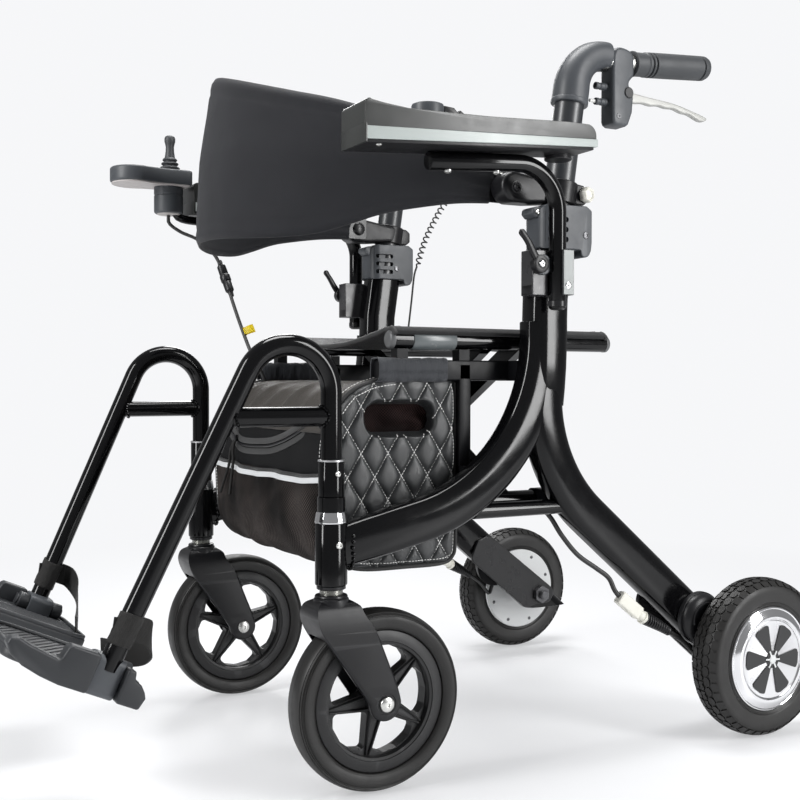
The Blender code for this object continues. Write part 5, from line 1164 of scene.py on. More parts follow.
def side_frames():
    slope = tan(radians(13))
    root = 0.268
    start_y = HEAD_Y + 0.00875
    end_y = 0.222
    front_path = fillet([(SIDE_X, start_y, root + slope * (start_y - HEAD_Y)),
        (SIDE_X, end_y, root + slope * (end_y - HEAD_Y)), (SIDE_X, end_y, LEG_TOP)], 0.215, 30)
    rear_path = fillet([(SIDE_X, LEG_Y, LEG_TOP), (SIDE_X, LEG_Y, LEG_Z),
        (SIDE_X, 0.585, leg_height(0.585))], 0.19, 26)
    leg = ellipse(*LEG, 40, 0.62)
    first = front_path[0]
    eased = [first, first.lerp(front_path[1], 0.25), first.lerp(front_path[1], 0.6)] + front_path[1:]
    shrink = (0.9, 0.95, 0.99)

    def section(index):
        share = shrink[index] if index < len(shrink) else 1
        return [(out * share, aside * (share ** 2)) for out, aside in leg]

    front = sweep(eased, section)
    rear = sweep(rear_path, lambda index: leg)
    rear = sliced(rear, (0, 0, 0.076), (0, 0, -1))
    sizes = ((0.045, 0.0306), (0.048, 0.034), (0.0502, 0.0378), (POST_DEPTH, 0.04))
    rings = [ellipse(depth, wide, 44, 0.62) for depth, wide in sizes]
    post = sweep([(SIDE_X, POST_Y, 0.42), (SIDE_X, POST_Y, 0.44), (SIDE_X, POST_Y, 0.466),
        (SIDE_X, POST_Y, 0.5), (SIDE_X, POST_Y, LEAN_Z - 0.02), (SIDE_X, POST_Y + 0.0007, LEAN_Z + 0.004),
        on_post(0.612)], lambda index: rings[min(index, 3)])
    post = sliced(post, (0, 0, 0.605), Z)
    web = mm(207.5, 470, 207.5, 420, 222.2, 368, 237.2, 420, 237.2, 470)
    web = prism(web, SIDE_X - 0.0157, SIDE_X + 0.0157)
    head = turned(mm(15, 0, 16.8, 0, 17.5, 0.8, 17.5, 66, 17, 66.8, 15.2, 67.2, 15.2, 94.6, 14, 94.7,
        12.2, 94.7), (SIDE_X, HEAD_Y, HEAD_BOTTOM), Z, 64)
    collar = turned(mm(15, 66.8, 17.8, 66.8, 18.1, 68, 16.3, 78.5, 15.8, 79, 15, 79),
        (SIDE_X, HEAD_Y, HEAD_BOTTOM), Z, 20)
    pair("head_collar", collar, "chrome", "{}_side", bevel=0.0003, smooth=15)
    screw = hex_screw((SIDE_X + 0.0172, HEAD_Y + 0.0015, 0.274), (1, 0.15, 0), 0.004, 0.002)
    pair("head_screw", screw, "steel", "{}_side", smooth=28)
    bar = rod((SIDE_X, 0.127, 0.299), (SIDE_X, 0.252, 0.299), 0.009)
    weld_rings = []
    for turn in range(0, 360, 15):
        angle = radians(turn)
        spot = Vector((SIDE_X + 0.0168 * cos(angle) * 0.95, HEAD_Y + 0.0185 + 0.003 * abs(sin(angle)),
            0.27 + 0.0245 * sin(angle)))
        weld_rings.append(turned(mm(0, -2.2, 2.4, -1.2, 2.4, 1.2, 0, 2.2), spot, (0, 1, 0.2), 10))
    pair("side_frame", joined(front, rear, post, web, head, bar, *weld_rings), "frame", "{}_side",
        "side_frame_{}", slot="frame_black", bevel=0.0011, smooth=36)
    pair("seat_bracket", joined(*seat_support()), "bracket", "{}_side", smooth=32)
    pair("armrest_channel", armrest_channel(), "channel", "{}_side", bevel=0.0009, smooth=32)
    face = soften(box((0.276, 0.2118, 0.5486), (0.2769, 0.2258, 0.5994)), 0.0003, 1)
    pair("channel_face", face, "channel_face", "{}_side", smooth=32)
    screw = hex_screw((0.2764, 0.2178, 0.5588), X, 0.0044, 0.0016)
    pair("channel_screw", screw, "chrome", "{}_side", smooth=28)
    lip = box((0.2352, 0.1815, 0.5485), (0.257, 0.199, 0.56))
    pair("channel_lip", soften(lip, 0.0015, 2), "satin", "{}_side", smooth=32)


def seat_support():
    inner = RAIL_X - 0.01
    outer = RAIL_X + 0.01
    reach = 0.207
    bar = soften(box((inner, 0.0235, 0.45), (outer, 0.202, 0.474)), 0.0022, 3)
    tab = box((inner, 0.1955, 0.45), (reach, 0.2135, 0.474))
    upright = soften(box((inner, 0.127, 0.322), (outer, 0.143, 0.47)), 0.0015, 2)
    foot = box((inner + 0.002, 0.127, 0.316), (reach, 0.133, 0.35))
    parts = [bar, tab, upright, foot]
    for y in (0.044, 0.127):
        parts.append(box((inner + 0.002, y + 0.001, 0.469),
            (outer - 0.002, y + 0.015, RAIL_Z - RAIL_RADIUS - GAP)))
    for low, high in ((0.127, 0.133), (0.239, 0.252)):
        outline = round_corners([(reach, 0.292), (0.1672, 0.292), (0.1672, 0.318),
            (reach, 0.318)], 0.008, 6)
        parts.append(prism(outline, low, high, "Y"))
    parts.append(rod((RAIL_X, 0.13, BRACE_Z), (RAIL_X, 0.245, BRACE_Z), 0.006))
    return parts


def armrest_channel():
    root = SIDE_X + 0.016
    before = ARM_Y - ARM_ROOM
    behind = ARM_Y + ARM_ROOM
    outline = [(root, 0.182), (0.2575, 0.182), (0.2575, before), (0.2517, before), (0.2517, behind),
        (0.2723, behind), (0.2723, 0.2115), (0.2765, 0.2115), (0.2765, 0.2265), (root, 0.2265)]
    return prism(outline, 0.548, 0.6, "Z")


def cross_arms():
    middle = Vector((0, 0, (BRACE_Z + RAIL_Z) / 2))

    def bar(y, side):
        low = Vector((side * RAIL_X, y, BRACE_Z))
        high = Vector((-side * RAIL_X, y, RAIL_Z))
        ring = mm(-11, -6.5, 11, -6.5, 11, 6.5, -11, 6.5)
        return sweep([low, high], lambda index: ring, Y)

    def sleeve(x):
        return turned(mm(6.3, 133.3, 10.2, 133.3, 11, 134.1, 11, 238, 10.2, 238.7, 6.3, 238.7),
            (x, 0, BRACE_Z), Y, 40)

    def rail(x):
        whole = [rod((x, 0.0385, RAIL_Z), (x, 0.3505, RAIL_Z), RAIL_RADIUS, 40)]
        for end, sign in ((0.0385, -1), (0.3505, 1)):
            whole.append(turned([(0, sign * 0.0025), (0.0076, sign * 0.0025), (0.0096, sign * 0.0012),
                (0.0105, 0), (0.0105, -sign * 0.004), (0, -sign * 0.004)], (x, end, RAIL_Z), Y, 40))
        return whole

    boss = rod(middle + Vector((0, 0.1885, 0)), middle + Vector((0, 0.2015, 0)), 0.0136)
    inner = joined(sleeve(RAIL_X), bar(0.195, 1), boss, *rail(-RAIL_X)[:1])
    piece("cross_arm_inner", inner, "frame", "cross_inner", "cross_arm_inner", slot="frame_black",
        bevel=0.0012)
    piece("rail_caps_right", joined(*rail(-RAIL_X)[1:]), "cap", "cross_inner")
    pin = turned(mm(0, 160, 6.5, 160, 8.5, 161.8, 8.5, 163, 5, 163, 5, 227, 8.5, 227, 8.5, 228.2, 6.5,
        230, 0, 230), middle, Y, 36)
    outer = joined(sleeve(-RAIL_X), bar(0.1695, -1), bar(0.2205, -1), *rail(RAIL_X)[:1])
    piece("cross_arm_outer", outer, "frame", "cross_outer", "cross_arm_outer", slot="frame_black",
        bevel=0.0012)
    piece("cross_pin", pin, "steel", "cross_outer")
    piece("rail_caps_left", joined(*rail(RAIL_X)[1:]), "cap", "cross_outer")
    band = turned(mm(10.3, 66, 11.2, 66.3, 11.5, 67.2, 11.5, 122.5, 11.2, 123.4, 10.3, 123.7),
        (RAIL_X, 0, RAIL_Z), Y, 48)
    piece("rail_sleeve", band, "sleeve", "cross_outer")


def motor_plates():
    outer = SIDE_X - LEG_HALF - GAP
    y, z = REAR_AXLE.yz
    outline = round_corners(mm(-135, 66, -27, -22, -8, -16, 20, -16, 30, 4, -100, 104, -122, 94,
        at=(y, z)), 0.012, 5)
    pair("motor_bracket", prism(outline, outer - 0.005, outer), "satin", "{}_side", "motor_bracket_{}",
        slot="satin_metal", bevel=0.001)
    base = SIDE_X + LEG_HALF + GAP
    high = leg_height(COVER_Y)
    dome = turned(mm(0, 0, 34, 0, 34, 4, 33.6, 6, 32.6, 6.2, 32.4, 8.4, 30.5, 12, 27.2, 15, 22.5, 16.8,
        16.5, 17.4, 8.5, 17.5, 8, 17.5, 7.6, 16.9, 7.6, 13.5, 0, 13.5), (base, COVER_Y, high), X, 96)
    clear = turned(mm(0, -10, 16.5, -10, 16.5, 50, 0, 50), (base, y, z), X, 48)
    ridge_path = []
    for turn in range(20, 200, 9):
        angle = radians(turn)
        radius = 0.0215
        ridge_path.append((base + 0.0168, COVER_Y + radius * cos(angle), high + radius * sin(angle)))
    ridge = sweep(ridge_path, lambda index: ellipse(0.003, 0.0026, 10), X)
    socket = turned(mm(0, 13, 6, 13, 6, 15.5, 3.4, 15.5, 3.4, 13.6, 0, 13.6), (base, COVER_Y, high), X, 6)
    pair("motor_cover", joined(carve(dome, "DIFFERENCE", [clear]), ridge), "nylon", "{}_side",
        "motor_cover_{}", slot="black_plastic", smooth=30)
    pair("cover_screw", socket, "dark_steel", "{}_side", bevel=0.0004)


# Handles
def along_grip(distance, rise=0.0):
    tilt = radians(5)
    return Vector((SIDE_X, GRIP_Y + distance * cos(tilt) - rise * sin(tilt),
        0.841 + distance * sin(tilt) + rise * cos(tilt)))


def handles():
    post = tube([on_post(0.508), on_post(0.798)], 0.018, 48)
    pair("handle_post", post, "post", "handle_{}", "handle_post_{}", slot="frame_black")
    path = fillet([on_post(0.782), on_post(0.848), (SIDE_X, GRIP_Y, 0.848)], 0.0515, 26)
    count = len(path) - 1

    def radius_at(index):
        return 0.0215 + (0.0165 - 0.0215) * index / count

    def ring(index):
        return ellipse(2 * radius_at(index), 2 * radius_at(index), 40, 0.9)

    bend = sweep(path, ring)
    bend = soften(bend, 0.0016, 3, 70)
    seam_path = []
    for index in range(1, count):
        ahead = (path[min(index + 1, count)] - path[index - 1]).normalized()
        out = Vector(X).cross(ahead)
        out = out if out.y < 0 else -out
        seam_path.append(path[index] + out * (radius_at(index) - 0.0004))
    seam = sweep(seam_path, lambda index: ellipse(0.0016, 0.0012, 8), X)
    low_ring = turned(mm(19, 0, 22.1, 0, 22.6, 0.8, 22.6, 4.2, 21.9, 5.2, 19, 5.2), on_post(0.7825),
        POST_LINE, 56)
    stub = rod(along_grip(-0.012), along_grip(0.152), 0.0115)
    pair("handle_elbow", joined(bend, seam, low_ring), "charcoal", "handle_{}", "handle_elbow_{}",
        slot="charcoal_plastic", smooth=34)
    pair("handle_stub", stub, "steel", "handle_{}")
    start = 0.038
    end = start + 0.125
    radius = 0.0155
    profile = [(0.0118, start), (radius - 0.0015, start), (radius + 0.0004, start + 0.001),
        (radius + 0.0004, start + 0.003), (radius - 0.0008, start + 0.0042)]
    profile += [(radius - 0.001, start + 0.02), (radius - 0.0002, start + 0.0215),
        (radius - 0.0002, start + 0.0245), (radius - 0.0022, start + 0.0255),
        (radius - 0.0022, start + 0.0268), (radius, start + 0.0278), (radius, start + 0.0302),
        (radius - 0.0022, start + 0.0312), (radius - 0.0022, start + 0.0325), (radius, start + 0.0335),
        (radius + 0.0001, start + 0.06), (radius, end - 0.015), (radius - 0.0018, end - 0.014),
        (radius - 0.0018, end - 0.0126), (radius, end - 0.0116), (radius - 0.0002, end - 0.006),
        (radius - 0.0018, end - 0.0024), (radius - 0.0048, end - 0.0004), (radius - 0.008, end), (0, end)]
    pair("handle_grip", turned(profile, along_grip(0), along_grip(1) - along_grip(0), 72), "grip",
        "handle_{}", "handle_grip_{}", slot="grip_rubber", smooth=28)
    housings()
    levers()


def housings():
    front = GRIP_Y + GAP
    rear = front + HOUSING_LONG
    half = 0.0125
    outline = smooth_outline([(front + 0.0005, 0.844), (front + 0.003, 0.854), (front + 0.01, 0.8588),
        (front + 0.02, 0.8588), (front + 0.029, 0.856), (rear - 0.0005, 0.849), (rear, 0.838),
        (rear - 0.0006, 0.827), (rear - 0.0068, 0.819), (rear - 0.0075, 0.813), (rear - 0.0025, 0.808),
        (rear - 0.001, 0.8), (rear - 0.002, 0.788)], 4)
    outline += [(rear - 0.0025, 0.781), (rear - 0.0085, 0.766), (rear - 0.012, 0.7632),
        (front + 0.006, 0.763), (front + 0.0018, 0.7655), (front, 0.77), (front, 0.83)]
    body = soften(prism(outline, SIDE_X - half, SIDE_X + half), 0.0042, 4, 60)
    pivot_y = front + HOUSING_LONG * 0.62
    slot = box((SIDE_X - 0.0044, front + 0.01, 0.786), (SIDE_X + 0.0044, rear + 0.01, 0.817))
    body = carve(body, "DIFFERENCE", [slot])
    barrels = []
    for z in (0.811, 0.792):
        profile = mm(2.2, 0, 3.6, 0, 4.4, 0.8, 4.4, 5.2, 3.6, 5.8, 3.6, 7.4, 4.4, 8, 4.4, 13, 5, 13.8, 5,
            21, 2.2, 21)
        barrels.append(turned(profile, (SIDE_X, front - 0.018, z), Y, 32))
    plug = turned(mm(0, 9, 6.8, 9, 6.8, 13.2, 6, 14, 0, 14), (SIDE_X, pivot_y + 0.0035, 0.8045), X, 40)
    pair("brake_housing", joined(body, *barrels), "charcoal", "handle_{}", "brake_housing_{}",
        slot="charcoal_plastic", bevel=0.0006, smooth=32)
    pair("lever_pin", plug, "nylon", "handle_{}", smooth=30)
    tip = turned(mm(0, 0, 1.6, 0, 2.1, 0.6, 2.1, 10, 0, 10), (SIDE_X, front - 0.0262, 0.792), Y, 24)
    pair("cable_tip", tip, "clear", "handle_{}")
    screw = turned(mm(0, 11.8, 1.6, 11.8, 1.6, 13.1, 3, 13.1, 3.4, 12.4, 3.4, 11, 0, 11),
        (SIDE_X, front + 0.0095, 0.7745), X, 28)
    pair("housing_screw", screw, "dark_steel", "handle_{}", smooth=28)


def levers():
    y = GRIP_Y + GAP + HOUSING_LONG * 0.62
    z = 0.803
    reach = 0.481 - y
    under = [(y - 0.0068, z - 0.004), (y - 0.003, z - 0.0075), (y + 0.012, z - 0.008)]
    waves = 4
    for step in range(25):
        share = step / 24
        at = 0.16 + share * 0.72
        drop = -0.0062 - 0.0085 * max(0.0, (at - 0.5) / 0.38) ** 1.6
        under.append((y + reach * at, z + drop - 0.0007 * cos(2 * pi * waves * share)))
    under += [(y + reach * 0.925, z - 0.0172), (y + reach * 0.975, z - 0.0168), (y + reach, z - 0.014),
        (y + reach * 0.985, z - 0.0118), (y + reach * 0.93, z - 0.0096), (y + reach * 0.86, z - 0.0074),
        (y + reach * 0.7, z - 0.0026), (y + reach * 0.55, z + 0.0004), (y + reach * 0.35, z + 0.0022),
        (y + 0.016, z + 0.005), (y + 0.006, z + 0.008), (y - 0.002, z + 0.0078), (y - 0.0068, z + 0.004)]
    blade = soften(prism(smooth_outline(under, 2, True), SIDE_X - 0.004, SIDE_X + 0.004), 0.0018, 3, 60)
    pair("brake_lever", blade, "lever", "brake_lever_{}", "brake_lever_{}",
        slot="lever_silver", smooth=45)


def clamps():
    low = 0.6053
    top = 0.657
    front = 0.2095
    rear = 0.279
    round_off = 0.014
    lobe = smooth_outline(mm(262.2, 604.5, 263.2, 600, 266.5, 597.2, 271, 597.2, 275.2, 600, 278, 606), 3)
    outline = round_corners([(front, low), (0.261, low)] + lobe + [(rear, low + 0.01), (rear,
        top - 0.004), (rear - 0.008, top + 0.001), (front + 0.006, top), (front, top - 0.006)], 0.004, 4)
    inner = SIDE_X - 0.0225
    outer = SIDE_X + 0.0245
    body = soften(prism(outline, inner, outer), 0.003, 4, 60)
    cuts = [rod(on_post(0.59), on_post(top + 0.01), 0.0182, 48),
        box((inner + 0.004, 0.2135, low + 0.008), (outer - 0.004, 0.223, top - 0.008))]
    for side_x, turn, start in ((inner, 1, 180), (outer, -1, 270)):
        centre = (side_x + turn * round_off, front + round_off)
        edge = [(centre[0], front - 0.01), (side_x - turn * 0.01, front - 0.01),
            (side_x - turn * 0.01, centre[1])]
        corner = arc(centre, round_off, start, start + 90, 14) + (edge if turn > 0 else edge[::-1])
        cuts.append(prism(corner, low - 0.02, top + 0.02, "Z"))
    for number in range(3):
        z = 0.6135 + number * 0.0117
        for face, reach in ((inner - 0.01, inner + 0.006), (outer - 0.006, outer + 0.01)):
            ends = round_corners(mm(216, 0, 244, 0, 244, 6.2, 216, 6.2, at=(0, z)), 0.0024, 4)
            cuts.append(prism(ends, min(face, reach), max(face, reach)))
    body = carve(body, "DIFFERENCE", cuts)
    pair("post_clamp", body, "charcoal", "{}_side", "post_clamp_{}", slot="charcoal_plastic",
        bevel=0.0005, smooth=32)
    ear = round_corners(mm(215.5, 640.5, 206, 642, 201, 647, 202, 653, 208, 655, 215.5, 654.5), 0.003, 4)
    pair("clamp_ear", soften(prism(ear, SIDE_X - 0.012, SIDE_X + 0.012), 0.0015, 2, 60), "charcoal",
        "{}_side", smooth=32)
    pair("clamp_bolt", hex_screw((SIDE_X + 0.012, 0.2085, 0.6485), X, 0.0034, 0.002), "steel",
        "{}_side", smooth=28)
    pair("clamp_screw", hex_screw((outer - 0.0003, 0.2697, 0.623), X, 0.0046, 0.0014), "dark_steel",
        "{}_side", smooth=28)
    pair("clamp_screw_inner", hex_screw((inner + 0.0003, 0.25, 0.6215), (-1, 0, 0), 0.0042, 0.0014),
        "dark_steel", "{}_side", smooth=28)


def star_knob(place, direction, radius, height, lobes=6):
    """A small plastic knob with a scalloped rim and a dished face."""
    mesh = bmesh.new()
    rings = []
    steps = lobes * 12
    profile = [(0.55, 0.0), (0.9, 0.0), (1.0, 0.12), (1.0, 0.78), (0.93, 0.95), (0.8, 1.0), (0.62, 0.9),
        (0.55, 0.8), (0.2, 0.8)]
    axis = Vector(direction).normalized()
    across = axis.orthogonal().normalized()
    aside = axis.cross(across)
    for share, rise in profile:
        ring = []
        for step in range(steps):
            angle = 2 * pi * step / steps
            scallop = 1.0 - (0.13 * (0.5 - 0.5 * cos(lobes * angle)) if share > 0.7 else 0.0)
            offset = (across * cos(angle) + aside * sin(angle)) * radius * share * scallop
            ring.append(mesh.verts.new(Vector(place) + offset + axis * (height * rise)))
        rings.append(ring)
    for ring, following in zip(rings, rings[1:]):
        for step in range(steps):
            turn = (step + 1) % steps
            mesh.faces.new((ring[step], ring[turn], following[turn], following[step]))
    mesh.faces.new(rings[0])
    mesh.faces.new(rings[-1])
    return close_up(mesh)


def brackets():
    inner = 0.195 + GAP
    centre = BAND_PIVOT
    rear_y = post_y(centre[1])
    face = inner + 0.029
    nut = (face, centre[0] + 0.001, centre[1] - 0.001)
    outline = arc(centre, 0.0185, 95, 262, 28)
    outline += [(0.205, 0.659), (rear_y - 0.01, 0.662), (rear_y, 0.662), (rear_y + 0.006, 0.686),
        (rear_y - 0.012, 0.6868), (0.208, 0.6915)]
    arm = soften(prism(outline, inner, face), 0.0048, 4, 60)
    cuff = turned(mm(18.3, 0, 21.5, 0, 22.5, 1, 22.5, 25.5, 21.5, 26.5, 18.3, 26.5), on_post(0.661),
        POST_LINE, 64)
    arm = carve(arm, "DIFFERENCE", [rod(on_post(0.64), on_post(0.72), 0.0184, 48)])
    lug = round_corners(mm(260, 660, 273.5, 660, 280, 665, 280, 679, 273.5, 684, 260, 686), 0.0035, 4)
    lug = soften(prism(lug, SIDE_X - 0.011, SIDE_X + 0.0155), 0.0022, 3, 60)
    pin = turned(mm(0, -10, 6, -10, 9, -8.5, 9.8, -7.2, 9.8, -6.6, 4.8, -6.6, 4.8, 6, 0, 6),
        (inner, *centre), X, 40)
    pair("backrest_bracket", joined(arm, cuff, lug), "nylon", "handle_{}", "backrest_bracket_{}",
        slot="charcoal_plastic", bevel=0.0004, smooth=32)
    pair("bracket_knob", star_knob((SIDE_X + 0.0155, 0.2728, 0.6722), (1, 0.25, 0), 0.0095, 0.0105),
        "white", "handle_{}", bevel=0.0004, smooth=40)
    pair("backrest_pin", pin, "satin", "handle_{}", smooth=32)
    cup = turned(mm(0, -0.5, 7, -0.5, 7.4, 0.3, 6.8, 1, 5.6, 1, 5.2, 0.1, 0, 0.1), nut, X, 48)
    screw = hex_screw(nut, X, 0.005, 0.003)
    pair("bracket_nut", joined(cup, screw), "nylon", "handle_{}", smooth=28)


# Armrests and joystick
PAD_INNER = 0.2445


def pad_bottom(y):
    return 0.69 + (0.711 - 0.69) * (y - PAD_FRONT) / PAD_LENGTH


def pad_top(share):
    line = ((0.0, -0.001), (0.07, -0.004), (0.17, -0.0064), (0.34, -0.0051), (0.51, -0.0035),
        (0.68, -0.0006), (0.86, 0.0026), (1.0, 0.0029))
    return 0.736 + float(np.interp(share, [a for a, b in line], [b for a, b in line]))


def armrests():
    x = ARM_X
    front = 0.041
    path = fillet([(x, front, pad_bottom(front) - ARM_ROOM), (x, ARM_Y, pad_bottom(ARM_Y) - ARM_ROOM),
        (x, ARM_Y, 0.533)], 0.052, 24)
    main = tube(path, 0.01, 44)
    main = soften(main, 0.0012, 2, 70)
    pair("armrest_tube", main, "frame", "armrest_{}", "armrest_tube_{}", slot="frame_black")
    stop = turned(mm(0, -1, 7, -1, 8.8, 0.4, 9.6, 2.4, 10.6, 3, 10.6, 9, 10.1, 9.8, 9.8, 9.8, 0, 9.8),
        (x, ARM_Y, 0.5325), Z, 44)
    pair("tube_stop", stop, "satin", "armrest_{}", smooth=30)
    under = []
    for y in (0.066, 0.129):
        under.append(hex_screw((x, y, pad_bottom(y) - ARM_ROOM - 0.0098), (0, 0, -1), 0.0042, 0.0026))
    pair("tube_screws", joined(*under), "steel", "armrest_{}", smooth=28)
    cushions()


def strip_top(y):
    return pad_bottom(y) + 0.0163 - 0.0042 * (y - PAD_FRONT) / PAD_LENGTH


def cushions():
    """The pad: a foam cushion with one rounded rear corner, the pale rail under it and a black sole."""
    front = PAD_FRONT
    rear = 0.239
    big = 0.0125
    small = 0.006
    low = PAD_INNER
    high = PAD_INNER + 0.056
    steps = 40
    outline = [(front, strip_top(front)), (rear, strip_top(rear))]
    outline += arc((rear - big, pad_top(1.0) - big), big, 0, 90, 12)
    for step in range(1, steps):
        share = 1 - step / steps
        y = front + share * PAD_LENGTH
        if front + small < y < rear - big:
            outline.append((y, pad_top(share)))
    outline += arc((front + small, pad_top(0.0) - small), small, 90, 180, 8)
    cushion = soften(prism(outline, low, high), 0.0046, 5, 50)
    for pad in pair("armrest_pad", cushion, "pad", "armrest_{}", "armrest_pad_{}", slot="pad_vinyl",
            smooth=50):
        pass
    sole_top = 0.0034
    end = PAD_FRONT + PAD_LENGTH
    rail = [(front + 0.0004, pad_bottom(front) + sole_top), (end, pad_bottom(end) + sole_top),
        (end, strip_top(end)), (front + 0.0004, strip_top(front) + 0.0004)]
    pair("pad_rail", soften(prism(rail, low + 0.0004, high + 0.0005), 0.0008, 3, 50), "pad_base",
        "armrest_{}", smooth=40)
    nose = [(front - 0.0004, pad_bottom(front)), (front + 0.0028, pad_bottom(front)),
        (front + 0.0028, strip_top(front) + 0.003), (front - 0.0004, strip_top(front) + 0.003)]
    pair("pad_nose", soften(prism(nose, low + 0.0002, high + 0.0006), 0.0007, 2, 50), "pad",
        "armrest_{}", smooth=40)
    sole = [(front, pad_bottom(front)), (0.236, pad_bottom(0.236)),
        (0.236, pad_bottom(0.236) + sole_top + 0.0006), (front, pad_bottom(front) + sole_top + 0.0006)]
    pair("pad_sole", soften(prism(sole, low + 0.0012, high - 0.0012), 0.0008, 2, 50), "nylon",
        "armrest_{}", smooth=40)
    boss = turned(mm(0, 0, 15, 0, 15.8, 1, 15.8, 6, 0, 6),
        (0.26, 0.215, pad_bottom(0.215) - 0.0054), Z, 48)
    pair("pad_boss", boss, "nylon", "armrest_{}", smooth=32)
    screw_y = -0.033
    pair("pad_screw", hex_screw((0.29, screw_y, pad_bottom(screw_y) + 0.0002), (0, 0, -1), 0.0032,
        0.0018), "steel", "armrest_{}", smooth=28)
    top = pad_top(0.32)
    knob = turned(mm(0, -2, 16.5, -2, 17.4, 1, 17.8, 13, 17.2, 15.2, 15, 16.2, 6, 16.4, 0, 16),
        (ARM_X, 0.0405, top), Z, 72)
    piece("pad_knob", knob, "charcoal", "armrest_left", smooth=32)
    block = round_corners(mm(56, -2, 82, -2, 83.5, 8, 76.5, 12.5, 74, 9, 69, 14, 56, 15,
        at=(0, top)), 0.0012, 3)
    piece("pad_latch", soften(prism(block, 0.254, 0.271), 0.0012, 2, 50), "nylon",
        "armrest_left", smooth=32)


def cam_levers():
    base = Vector((0.2578, 0.188, 0.583))
    hub = turned(mm(0, 0, 9.8, 0, 10.4, 0.8, 10.4, 8.4, 9.8, 9.6, 8.8, 10, 6, 10, 5.4, 9.2, 0, 9.2),
        base, X, 56)
    start = base + Vector((0.0055, -0.001, 0.001))
    end = start + Vector((0, -0.0265, 0.0365))
    path = smooth_route([start, start.lerp(end, 0.3) + Vector((0.001, -0.0006, 0)),
        start.lerp(end, 0.65) + Vector((0.0012, 0.0006, 0)), end], 0.0016)
    last = len(path) - 1

    def section(index):
        share = index / last
        depth = 0.01 - 0.0034 * share + 0.0014 * exp(-((share - 0.9) / 0.08) ** 2)
        cap = sqrt(max(0.05, 1 - max(0.0, (share - 0.93) / 0.07) ** 2))
        return ellipse(depth * cap, 0.0058 * cap, 28, 0.8)

    arm = sweep(path, section)
    pair("armrest_lever", joined(hub, arm), "nylon", "armrest_lock_{}", "armrest_lever_{}",
        slot="black_plastic", smooth=34)
    washer = turned(mm(0, 0, 11.2, 0, 11.6, 0.6, 11.6, 3, 10.8, 3.6, 0, 3.6),
        (base.x, base.y + 0.0068, base.z), X, 56)
    pair("lever_crescent", washer, "charcoal", "armrest_lock_{}", bevel=0.0004, smooth=34)
    screw = hex_screw((base.x + 0.0092, base.y, base.z), X, 0.0042, 0.0026)
    pair("lever_screw", screw, "chrome", "armrest_lock_{}", smooth=28)


JOY = Vector((-ARM_X, -0.084, 0.75))


